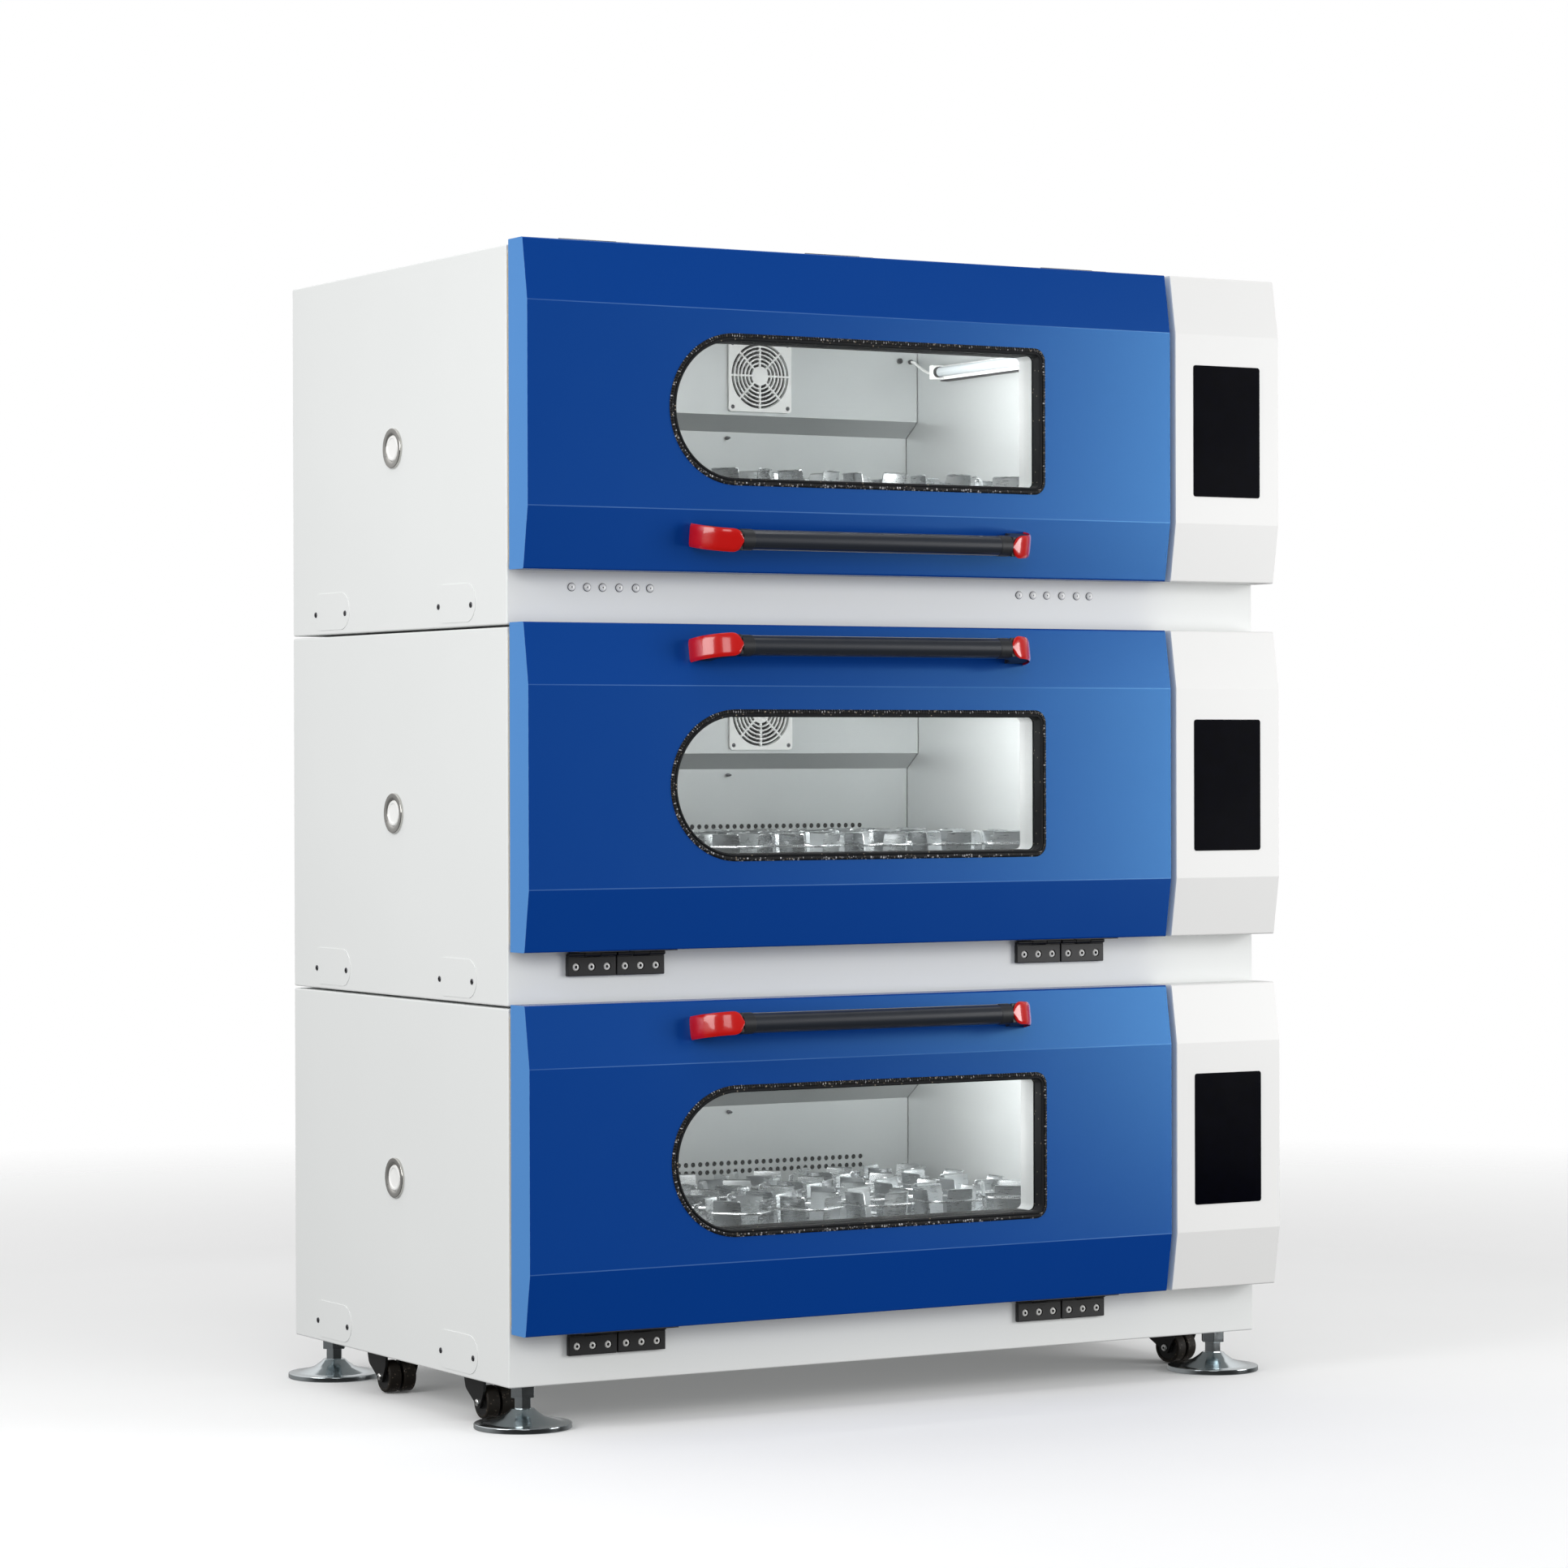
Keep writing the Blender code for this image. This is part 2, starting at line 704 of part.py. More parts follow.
def leg_curve(spread, rise):
    """Quarter of an ellipse from the grip's height down to the door, in (along, out)."""
    start = HANDLE_GRIP / 2 + HANDLE_SOCKET
    angles = [math.radians(90 * i / LEG_STEPS) for i in range(LEG_STEPS + 1)]
    return [(start + spread * math.sin(a), rise * math.cos(a)) for a in angles]


def across(thing_loops, width):
    """Outline in (along, out) extruded evenly across the handle, out towards +Z."""
    turn = Matrix.Rotation(math.radians(90), 4, "X")
    return plate(thing_loops, width, turn, (0, width / 2, 0))


def build_handle_bracket():
    """Right-hand bracket: the grip's socket and the leg that curves down to the door."""
    clear = CAP_WALL + FIT
    outer = leg_curve(HANDLE_LEG_SPREAD - clear, HANDLE_REACH - clear)
    inner = leg_curve(HANDLE_LEG_SPREAD - HANDLE_LEG_DEPTH, HANDLE_REACH - 2 * HANDLE_RADIUS + CAP_WALL)
    leg = across([outer + inner[::-1]], HANDLE_LEG_WIDTH)
    axis = HANDLE_REACH - HANDLE_RADIUS
    start = HANDLE_GRIP / 2
    socket = rod((start, 0, axis), (start + HANDLE_SOCKET - FIT, 0, axis), HANDLE_RADIUS + HANDLE_STEP)
    far = start + HANDLE_SOCKET + HANDLE_CORE_DEPTH
    core = rod((start, 0, axis), (far, 0, axis), HANDLE_CORE, SMALL_ROUND)
    return join(leg, core, socket)


def build_handle_bar():
    """Tubular grip between its two brackets, drawn about its middle, out towards +Z."""
    axis = HANDLE_REACH - HANDLE_RADIUS
    half = HANDLE_GRIP / 2 + HANDLE_SOCKET / 2
    bracket = build_handle_bracket()
    grip = rod((-half, 0, axis), (half, 0, axis), HANDLE_RADIUS)
    return join(grip, mirrored(bracket), bracket)


def build_handle_cap():
    """Curved plate over the right-hand leg, with a half-round tip."""
    outer = leg_curve(HANDLE_LEG_SPREAD, HANDLE_REACH)
    inner = leg_curve(HANDLE_LEG_SPREAD - CAP_WALL, HANDLE_REACH - CAP_WALL)
    cap = across([outer + inner[::-1]], CAP_WIDTH)
    half = CAP_WIDTH / 2
    start = HANDLE_GRIP / 2 + HANDLE_SOCKET
    far = start + 2 * HANDLE_LEG_SPREAD
    tip = arc((start + half, 0), half, 90, 270, CAP_TIP_STEPS)
    trim = plate([tip + [(far, -half), (far, half)]], 2 * HANDLE_REACH, None, (0, 0, -HANDLE_REACH / 2))
    return combine(cap, trim, "INTERSECT")


def left_cap():
    """Cap over the left-hand leg."""
    return mirror_away(build_handle_cap())


def hinge_spans(start, length):
    """The three knuckle spans of a hinge: fixed, moving, fixed."""
    low, high = start + 2 * FIT, start + length - 2 * FIT
    third = (high - low) / 3
    return (
        (low, low + third - FIT / 2),
        (low + third + FIT / 2, high - third - FIT / 2),
        (high - third + FIT / 2, high),
    )


def knuckle(span, axis, web_low, web_high):
    """One knuckle on the web that ties it to its leaf."""
    y, z = axis
    low, high = span
    barrel = rod((low, y, z), (high, y, z), HINGE_BARREL, SMALL_ROUND)
    return join(barrel, block((low + FIT, *web_low), (high - FIT, *web_high)))


def fixed_hinge(start, length, axis, plate_low, plate_high, web_low, web_high):
    """Fixed leaf: screw plate, two knuckles and the pin."""
    y, z = axis
    first, _, last = hinge_spans(start, length)
    pin = rod((first[0] + 2 * FIT, y, z), (last[1] - 2 * FIT, y, z), HINGE_PIN, SMALL_ROUND)
    leaf = block(plate_low, plate_high)
    return join(leaf, knuckle(first, axis, web_low, web_high), knuckle(last, axis, web_low, web_high), pin)


def moving_hinge(start, length, axis, plate_low, plate_high, web_low, web_high):
    """Moving leaf: plate on the door's edge and the middle knuckle."""
    y, z = axis
    span = hinge_spans(start, length)[1]
    leaf = join(block(plate_low, plate_high), knuckle(span, axis, web_low, web_high))
    return combine(leaf, rod((span[0] - FIT, y, z), (span[1] + FIT, y, z), HINGE_PIN + FIT, SMALL_ROUND))


def sill_axis():
    """Hinge axis (y, z) of a door that opens downwards."""
    return -HINGE_AXIS_OUT, DOOR_BOTTOM - HINGE_AXIS_DROP


def top_axis():
    """Hinge axis (y, z) of a door that opens upwards."""
    return -TOP_AXIS_OUT, DOOR_TOP + TOP_AXIS_RISE


def sill_fixed_leaf(start):
    """Hinge block on the sill, sunk into the casing's front."""
    y, z = sill_axis()
    top = SILL_HINGE_BOTTOM + SILL_HINGE_HEIGHT
    return fixed_hinge(
        start, SILL_HINGE_LENGTH, (y, z),
        (start, -SILL_HINGE_THICKNESS, SILL_HINGE_BOTTOM),
        (start + SILL_HINGE_LENGTH, CASING_SHEET / 2, top),
        (y + HINGE_PIN / 2, top - FIT), (y + HINGE_WEB, z),
    )


def sill_moving_leaf(start):
    """Leaf under a door that opens downwards, sunk into the door's lower edge."""
    y, z = sill_axis()
    back = y - HINGE_BARREL - HINGE_CLEAR
    return moving_hinge(
        start, SILL_HINGE_LENGTH, (y, z),
        (start, back - HINGE_LEAF, DOOR_BOTTOM - HINGE_SHEET),
        (start + SILL_HINGE_LENGTH, back, DOOR_BOTTOM + DOOR_SHEET / 2),
        (back - HINGE_CLEAR, z + HINGE_PIN + FIT), (y, DOOR_BOTTOM - 2 * FIT),
    )


def top_fixed_leaf(start):
    """Hinge leaf sunk into the casing's top."""
    y, z = top_axis()
    low = CABINET_HEIGHT - CASING_SHEET / 2
    high = CABINET_HEIGHT + HINGE_SHEET
    return fixed_hinge(
        start, TOP_HINGE_LENGTH, (y, z),
        (start, FIT, low), (start + TOP_HINGE_LENGTH, TOP_HINGE_PLATE, high),
        (2 * FIT, high - FIT), (y + HINGE_WEB, z),
    )


def top_moving_leaf(start):
    """Leaf over a door that opens upwards, sunk into the door's upper edge."""
    y, z = top_axis()
    back = y - HINGE_BARREL - HINGE_CLEAR
    return moving_hinge(
        start, TOP_HINGE_LENGTH, (y, z),
        (start, back - HINGE_LEAF, DOOR_TOP - DOOR_SHEET / 2),
        (start + TOP_HINGE_LENGTH, back, DOOR_TOP + HINGE_SHEET),
        (back - HINGE_CLEAR, DOOR_TOP + 2 * FIT), (y, z - HINGE_PIN - FIT),
    )


def build_port_ring():
    """Flanged sleeve from the cabinet's side into the chamber."""
    outer = PORT_BORE + PORT_WALL
    spot = (PORT_BACK, PORT_UP)
    ring = rod((-FIT, *spot), (-PORT_FLANGE_SHEET, *spot), PORT_FLANGE, LARGE_ROUND, PORT_FLANGE - PORT_WALL)
    join(ring, rod((-2 * FIT, *spot), (CHAMBER_LEFT, *spot), outer))
    far = 2 * CHAMBER_LEFT
    return combine(ring, rod((-2 * PORT_FLANGE_SHEET, *spot), (far, *spot), PORT_BORE))


def guard_slots():
    """Curved slots of the fan guard, in rows between the spokes."""
    slots = []
    step = (GUARD_REACH + GUARD_BAR - GUARD_HUB) / GUARD_ROWS
    for row in range(GUARD_ROWS):
        inner = GUARD_HUB + row * step
        outer = inner + step - GUARD_BAR
        for spoke in range(GUARD_SPOKES):
            middle = 360 * (spoke + 0.5) / GUARD_SPOKES
            half_in = 180 / GUARD_SPOKES - math.degrees(GUARD_BAR / 2 / inner)
            half_out = 180 / GUARD_SPOKES - math.degrees(GUARD_BAR / 2 / outer)
            near = arc((0, 0), inner, middle - half_in, middle + half_in, GUARD_SLOT_STEPS)
            far = arc((0, 0), outer, middle + half_out, middle - half_out, GUARD_SLOT_STEPS)
            slots.append(near + far)
    return slots


def build_fan_housing():
    """Slotted guard on the duct's face, with the fan's ring, struts and post behind it."""
    half = FAN_SIZE / 2
    outline = rounded_rectangle((-half, -half), (half, half), GUARD_CORNER, GUARD_CORNER_STEPS)
    x, z = CHAMBER_MIDDLE + FAN_OFFSET, FAN_UP
    seat = CHAMBER_DEPTH - DUCT_DEPTH - FIT
    far = seat + FAN_DEPTH
    guard = plate([outline], GUARD_SHEET, ONTO_XZ, (x, seat, z))
    depth = 3 * GUARD_SHEET
    cutters = [plate([slot], depth, ONTO_XZ, (x, seat + GUARD_SHEET, z)) for slot in guard_slots()]
    combine(guard, several(cutters))
    outer = FAN_BORE - FAN_RING_GAP
    ring = rod((x, seat - FIT, z), (x, far, z), outer)
    combine(ring, rod((x, seat - GUARD_SHEET, z), (x, far + GUARD_SHEET, z), outer - FAN_RING))
    reach = outer - FAN_RING / 2
    for angle in STRUT_ANGLES:
        bar = block((-reach, far - GUARD_BAR, -GUARD_BAR), (reach, far - FIT, GUARD_BAR))
        bar.data.transform(Matrix.Translation((x, 0, z)) @ Matrix.Rotation(math.radians(angle), 4, "Y"))
        join(ring, bar)
    join(ring, rod((x, far - FAN_DISC_SHEET, z), (x, far + FIT, z), FAN_HUB, FAN_DISC_ROUND))
    join(ring, rod((x, seat + GUARD_BAR, z), (x, far - GUARD_BAR, z), FAN_POST, SMALL_ROUND))
    return join(guard, ring)


def build_fan_rotor():
    """Hub and slanted blades, drawn about the fan's axis, front at y = 0."""
    depth = FAN_DEPTH - 2 * FAN_FRONT_GAP - GUARD_BAR
    rotor = rod((0, 0, 0), (0, depth, 0), FAN_HUB, FAN_HUB_ROUND)
    reach = FAN_BORE - FAN_RING_GAP - FAN_RING - FAN_TIP_GAP
    half = depth / 2
    for index in range(FAN_BLADES):
        blade = block((FAN_HUB / 2, -FAN_BLADE_SHEET / 2, -half), (reach, FAN_BLADE_SHEET / 2, half))
        pitch = Matrix.Rotation(math.radians(BLADE_PITCH), 4, "X")
        around = Matrix.Rotation(2 * math.pi * index / FAN_BLADES, 4, "Y")
        blade.data.transform(Matrix.Translation((0, depth / 2, 0)) @ around @ pitch)
        join(rotor, blade)
    return combine(rotor, rod((0, -FIT, 0), (0, 2 * depth, 0), FAN_POST + FIT, SMALL_ROUND))


def build_lamp_channel():
    """Lamp channel on the chamber's right wall, with its tube between two holders."""
    wall = CHAMBER_LEFT + CHAMBER_WIDTH
    half = LAMP_BASE_WIDTH / 2
    start, end = LAMP_START, LAMP_START + LAMP_LENGTH
    base = block((wall - LAMP_BASE_DEPTH, start, LAMP_UP - half), (wall + FIT, end, LAMP_UP + half))
    axis = wall - LAMP_TUBE_OUT
    near = axis - LAMP_TUBE - FIT
    for low in (start, end - LAMP_HOLDER):
        holder = block((near, low, LAMP_UP - half), (wall - FIT, low + LAMP_HOLDER, LAMP_UP + half))
        join(base, holder)
    low, high = start + LAMP_HOLDER / 2, end - LAMP_HOLDER / 2
    tube = rod((axis, low, LAMP_UP), (axis, high, LAMP_UP), LAMP_TUBE, SMALL_ROUND)
    return join(base, tube)


def build_drive_motor():
    """Direct-drive motor on its base plate, with the shaft's bore."""
    x, y = CHAMBER_MIDDLE, DRIVE_BACK
    low = CASING_SHEET + FIT
    half_w, half_d = BASE_PLATE_WIDTH / 2, BASE_PLATE_DEPTH / 2
    unit = block((x - half_w, y - half_d, low), (x + half_w, y + half_d, low + BASE_PLATE_SHEET))
    top = low + MOTOR_HEIGHT
    foot = low + BASE_PLATE_SHEET / 2
    join(unit, rod((x, y, foot), (x, y, top), MOTOR_RADIUS, MEDIUM_ROUND, MOTOR_TOP_RADIUS))
    return combine(unit, rod((x, y, top - SHAFT_DEPTH - FIT), (x, y, top + FIT), SHAFT_RADIUS + FIT))


def drive_levels():
    """Heights of the motor's top, the flywheel's top and the crank pin's top."""
    motor_top = CASING_SHEET + FIT + MOTOR_HEIGHT
    flywheel_top = motor_top + FLYWHEEL_GAP + FLYWHEEL_SHEET
    pin_top = PLATFORM_TOP - PLATFORM_SHEET - HUB_HEIGHT + HUB_BORE_DEPTH - FIT
    return motor_top, flywheel_top, pin_top


def build_eccentric():
    """Shaft, flywheel, counterweight and offset crank pin, drawn about the shaft's axis."""
    motor_top, flywheel_top, pin_top = drive_levels()
    crank = rod((0, 0, motor_top + FLYWHEEL_GAP), (0, 0, flywheel_top), FLYWHEEL_RADIUS, LARGE_ROUND)
    shaft = rod((0, 0, motor_top - SHAFT_DEPTH), (0, 0, flywheel_top - FIT), SHAFT_RADIUS)
    join(crank, shaft)
    start, end = COUNTERWEIGHT_START, COUNTERWEIGHT_END
    outer = arc((0, 0), FLYWHEEL_RADIUS - 2 * FIT, start, end, COUNTERWEIGHT_OUTER_STEPS)
    inner = arc((0, 0), COUNTERWEIGHT_INNER, end, start, COUNTERWEIGHT_INNER_STEPS)
    weight = plate([outer + inner], COUNTERWEIGHT_HEIGHT + 2 * FIT, None, (0, 0, flywheel_top - 2 * FIT))
    join(crank, weight)
    return join(crank, rod((THROW, 0, flywheel_top - FIT), (THROW, 0, pin_top), PIN_RADIUS))


def build_platform():
    """Deck with turned-down rims, ribs and the hub that rides on the crank pin.

    Drawn about the crank pin's axis, which stands one throw to the right of the shaft.
    """
    half_w, half_d = PLATFORM_WIDTH / 2, PLATFORM_DEPTH / 2
    deck = block((-half_w, -half_d, PLATFORM_TOP - PLATFORM_RIM), (half_w, half_d, PLATFORM_TOP))
    deck = open_shell(deck, (0, 0, -1), PLATFORM_SHEET)
    under = PLATFORM_TOP - PLATFORM_SHEET
    join(deck, rod((0, 0, under - HUB_HEIGHT), (0, 0, under + FIT), HUB_RADIUS))
    rib = RIB_SHEET / 2
    low, high = under - RIB_HEIGHT, under + FIT
    reach_w, reach_d = half_w - PLATFORM_SHEET / 2, half_d - PLATFORM_SHEET / 2
    join(deck, block((-reach_w, -rib, low), (reach_w, rib, high)))
    for x in (-half_w / 2, 0, half_w / 2):
        join(deck, block((x - rib, -reach_d, low - FIT), (x + rib, reach_d, high)))
    mouth = under - HUB_HEIGHT
    bore = rod((0, 0, mouth - FIT), (0, 0, mouth + HUB_BORE_DEPTH), PIN_RADIUS + FIT)
    return combine(deck, bore)


def foot_places():
    """Stem axis (x, y) of each levelling foot."""
    left, right = FOOT_INSET, CABINET_WIDTH - FOOT_INSET
    front, rear = FOOT_INSET, CABINET_DEPTH - FOOT_INSET
    return {
        "front_left": (left, front),
        "front_right": (right, front),
        "rear_left": (left, rear),
        "rear_right": (right, rear),
    }


def castor_places():
    """Swivel axis (x, y) of each castor."""
    left, right = CASTOR_INSET_X, CABINET_WIDTH - CASTOR_INSET_X
    front, rear = CASTOR_BACKS
    return {
        "front_left": (left, front),
        "front_right": (right, front),
        "rear_left": (left, rear),
        "rear_right": (right, rear),
    }


def build_levelling_foot():
    """Rimmed disc, cone, hexagon, lock nut and threaded stem, drawn about the stem's axis."""
    floor = -FLOOR_DROP
    cone_low = floor + FOOT_RIM
    cone_top = cone_low + FOOT_CONE_HEIGHT
    profile = [
        (0, cone_top),
        (FOOT_CONE_TOP, cone_top),
        (FOOT_CONE_WAIST, cone_low + FOOT_CONE_WAIST_UP),
        (FOOT_CONE_RADIUS, cone_low),
        (FOOT_RADIUS - FOOT_EDGE, cone_low),
        (FOOT_RADIUS, cone_low - FOOT_EDGE),
        (FOOT_RADIUS, floor),
        (0, floor),
    ]
    foot = turned(profile, MEDIUM_ROUND)
    hex_top = cone_top + FOOT_HEX_HEIGHT
    join(foot, rod((0, 0, cone_top - FIT), (0, 0, hex_top), FOOT_HEX, 6))
    join(foot, rod((0, 0, hex_top - FIT), (0, 0, -FIT), NUT_HEX, 6))
    return join(foot, rod((0, 0, -2 * FIT), (0, 0, FOOT_STEM_RISE), FOOT_STEM, SMALL_ROUND))


def axle_height():
    """Height of a castor's axle under the casing."""
    return -FLOOR_DROP + CASTOR_LIFT + WHEEL_RADIUS


def build_castor_fork():
    """Swivel head, bridge and two cheeks with the axle, drawn about the swivel's axis."""
    z = axle_height()
    back = -CASTOR_TRAIL
    half = WHEEL_GAP / 2 + WHEEL_WIDTH + FORK_SIDE_GAP
    head_low = -FORK_BRIDGE / 2
    bridge_low = -FORK_BRIDGE
    fork = rod((0, 0, bridge_low + 2 * FIT), (0, 0, -FIT), SWIVEL_HEAD)
    tail = back - FORK_TAIL
    top = rectangle((tail, bridge_low), (FORK_HEAD, head_low))
    width = 2 * (half + FORK_SHEET)
    join(fork, plate([top], width, ONTO_YZ, (-width / 2, 0, 0)))
    cheek = [(FORK_HEAD - FIT, bridge_low + FIT), (tail + FIT, bridge_low + FIT)]
    cheek += [(tail + FORK_SHEET, z * CHEEK_TAIL_DROP)]
    cheek += arc((back, z), FORK_EYE, 180, 360, FORK_EYE_STEPS)
    cheek += [(FORK_HEAD * CHEEK_NOSE_REACH, z * CHEEK_NOSE_DROP)]
    for left in (-half - FORK_SHEET + FIT, half - FIT):
        join(fork, plate([cheek], FORK_SHEET, ONTO_YZ, (left, 0, 0)))
    reach = half + FORK_SHEET
    join(fork, rod((-reach, back, z), (reach, back, z), AXLE_RADIUS, SMALL_ROUND))
    for sign in (-1, 1):
        near, far = sign * (reach - 3 * FIT), sign * (reach + AXLE_HEAD_HEIGHT)
        join(fork, rod((near, back, z), (far, back, z), AXLE_HEAD, SMALL_ROUND, AXLE_HEAD_TOP))
    return fork


def build_castor_wheels():
    """Twin treads on one hub, drawn about the axle along X."""
    inner, outer = WHEEL_GAP / 2, WHEEL_GAP / 2 + WHEEL_WIDTH
    rim = WHEEL_RADIUS - TREAD_EDGE
    bore = AXLE_RADIUS + FIT
    profile = [
        (bore, outer),
        (rim, outer),
        (WHEEL_RADIUS, outer - TREAD_EDGE),
        (WHEEL_RADIUS, inner + TREAD_EDGE),
        (rim, inner),
        (WHEEL_HUB, inner),
        (WHEEL_HUB, -inner),
        (rim, -inner),
        (WHEEL_RADIUS, -inner - TREAD_EDGE),
        (WHEEL_RADIUS, -outer + TREAD_EDGE),
        (rim, -outer),
        (bore, -outer),
        (bore, outer),
    ]
    return turned(profile, WHEEL_ROUND, Matrix.Rotation(math.radians(90), 4, "Y"))


def handle_seat(name):
    """Place and turn of a handle on its slanted band, in the unit's frame."""
    x = DOOR_LEFT + HANDLE_CENTRE
    slope = math.tan(FACET_TILT)
    if name in TOP_HINGED:
        up = HANDLE_UP_TOP_HINGED
        return (x, -DOOR_EDGE_PROUD - slope * up, DOOR_BOTTOM + up), math.radians(90) + FACET_TILT
    down = HANDLE_DOWN_BOTTOM_HINGED
    return (x, -DOOR_EDGE_PROUD - slope * down, DOOR_TOP - down), math.radians(90) - FACET_TILT


def seated(shape, seat):
    """Lay a handle piece, drawn with its feet on z = 0, on the door's band."""
    place, tilt = seat
    lift = Matrix.Translation((0, 0, FIT))
    shape.data.transform(Matrix.Translation(place) @ Matrix.Rotation(tilt, 4, "X") @ lift)
    return shape


def install_shared(prints, piece, builder, name, material, parent, location=(0, 0, 0)):
    """Install a piece, sharing the mesh of its kind once it has been built."""
    if piece in prints:
        return install_copy(name, prints[piece], parent, location)
    prints[piece] = install(name, builder(), material, parent, location)
    return prints[piece]


def build_door(name, unit, prints):
    """Door pieces on the hinge's axis."""
    opens_up = name in TOP_HINGED
    y, z = top_axis() if opens_up else sill_axis()
    pivot = marker(f"{name}_door_axis", unit, (0, y, z))
    seat = handle_seat(name)
    kind = "top_hinged" if opens_up else "sill_hinged"
    pieces = (
        (f"{kind}_shell", "door_shell", "door_blue", lambda: build_door_shell(opens_up)),
        ("gasket", "window_gasket", "black_rubber", build_window_gasket),
        ("glass", "window_glass", "clear_glass", build_window_glass),
        (f"{kind}_bar", "handle_bar", "black_metal", lambda: seated(build_handle_bar(), seat)),
        (f"{kind}_left", "handle_cap_left", "red_plastic", lambda: seated(left_cap(), seat)),
        (f"{kind}_right", "handle_cap_right", "red_plastic", lambda: seated(build_handle_cap(), seat)),
    )
    for piece, suffix, material, builder in pieces:
        install_shared(prints, piece, builder, f"{name}_{suffix}", material, pivot, (0, -y, -z))


def build_shaker(name, unit, prints):
    """Motor in the cabinet, eccentric on the shaft's axis, platform on the crank pin's axis."""
    install_shared(prints, "motor", build_drive_motor, f"{name}_drive_motor", "cast_metal", unit)
    shaft = marker(f"{name}_shaft_axis", unit, (CHAMBER_MIDDLE, DRIVE_BACK, 0))
    pin = marker(f"{name}_pin_axis", shaft, (THROW, 0, 0))
    install_shared(prints, "eccentric", build_eccentric, f"{name}_eccentric", "cast_metal", shaft)
    install_shared(prints, "platform", build_platform, f"{name}_platform", "stainless", pin)


def build_fan(name, unit, prints):
    """Fan guard on the duct and the rotor on its own axis behind it."""
    install_shared(prints, "fan_housing", build_fan_housing, f"{name}_fan_housing", "white_plastic", unit)
    front = CHAMBER_DEPTH - DUCT_DEPTH + FAN_FRONT_GAP
    axis = marker(f"{name}_fan_axis", unit, (CHAMBER_MIDDLE + FAN_OFFSET, front, FAN_UP))
    install_shared(prints, "fan_rotor", build_fan_rotor, f"{name}_fan_rotor", "black_plastic", axis)


def build_undercarriage(base, prints):
    """Levelling feet and castors under the lowest cabinet."""
    for corner, (x, y) in foot_places().items():
        axis = marker(f"{corner}_foot_axis", base, (x, y, 0))
        install_shared(prints, "foot", build_levelling_foot, f"{corner}_levelling_foot", "zinc", axis)
    for corner, (x, y) in castor_places().items():
        turn = (0, 0, math.radians(CASTOR_ANGLES[corner]))
        swivel = marker(f"{corner}_swivel_axis", base, (x, y, 0), turn)
        axle = marker(f"{corner}_axle", swivel, (0, -CASTOR_TRAIL, axle_height()))
        install_shared(prints, "fork", build_castor_fork, f"{corner}_castor_fork", "black_plastic", swivel)
        wheels = f"{corner}_castor_wheels"
        install_shared(prints, "wheels", build_castor_wheels, wheels, "black_rubber", axle)


def main():
    """Build the whole stack."""
    base = marker("stack_origin", None, (-CABINET_WIDTH / 2, -STACK_MIDDLE_Y, FLOOR_DROP))
    prints = {}
    for level, name in enumerate(UNIT_NAMES):
        unit = marker(f"{name}_unit", base, (0, 0, UNIT_PITCH * level))
        cabinet = build_cabinet(level > 0, name in TOP_HINGED)
        install(f"{name}_cabinet", cabinet, "cabinet_white", unit)
        install_shared(prints, "chamber", build_chamber, f"{name}_chamber", "stainless", unit)
        housing = f"{name}_control_housing"
        install_shared(prints, "housing", build_control_housing, housing, "cabinet_white", unit)
        install_shared(prints, "screen", build_touch_screen, f"{name}_touch_screen", "screen_glass", unit)
        install_shared(prints, "port", build_port_ring, f"{name}_port_ring", "chrome", unit)
        build_door(name, unit, prints)
        build_shaker(name, unit, prints)
        build_fan(name, unit, prints)
    build_undercarriage(base, prints)


main()
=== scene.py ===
"""Looks of a stack of three shaking incubators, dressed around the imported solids.

Every unit is drawn in its own frame, in metres: X from the cabinet's left side, Y from the
cabinet's front panel towards the back, Z from the cabinet's underside.
"""

import json
import logging
import math
from dataclasses import dataclass
from enum import Enum
from functools import reduce
from typing import Callable, Optional, Sequence

import bmesh
import bpy
from mathutils import Matrix, Vector


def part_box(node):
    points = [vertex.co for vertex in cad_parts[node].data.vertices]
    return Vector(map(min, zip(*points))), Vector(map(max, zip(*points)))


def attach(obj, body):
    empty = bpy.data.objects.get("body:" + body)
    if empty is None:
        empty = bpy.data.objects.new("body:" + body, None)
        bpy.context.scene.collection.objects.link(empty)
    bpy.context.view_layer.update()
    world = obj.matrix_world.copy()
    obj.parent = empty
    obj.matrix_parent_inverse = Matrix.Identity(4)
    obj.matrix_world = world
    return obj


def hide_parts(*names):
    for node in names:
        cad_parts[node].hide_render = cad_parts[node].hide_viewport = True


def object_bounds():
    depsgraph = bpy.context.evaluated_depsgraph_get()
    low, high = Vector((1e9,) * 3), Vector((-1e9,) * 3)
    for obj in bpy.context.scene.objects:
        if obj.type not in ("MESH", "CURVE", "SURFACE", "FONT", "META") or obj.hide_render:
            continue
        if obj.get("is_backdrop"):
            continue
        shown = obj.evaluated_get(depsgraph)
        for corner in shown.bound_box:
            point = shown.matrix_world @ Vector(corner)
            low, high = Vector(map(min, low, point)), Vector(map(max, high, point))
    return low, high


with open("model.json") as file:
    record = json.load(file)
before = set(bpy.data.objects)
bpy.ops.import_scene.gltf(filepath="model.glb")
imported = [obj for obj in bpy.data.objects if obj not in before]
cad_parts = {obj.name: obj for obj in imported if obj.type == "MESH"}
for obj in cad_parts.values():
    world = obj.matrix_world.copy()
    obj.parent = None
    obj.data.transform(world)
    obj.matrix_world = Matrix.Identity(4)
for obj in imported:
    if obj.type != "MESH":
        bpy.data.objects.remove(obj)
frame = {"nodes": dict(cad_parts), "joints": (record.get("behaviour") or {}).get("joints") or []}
CAD_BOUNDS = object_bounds()
LOG = logging.getLogger("shaking_incubator_stack")

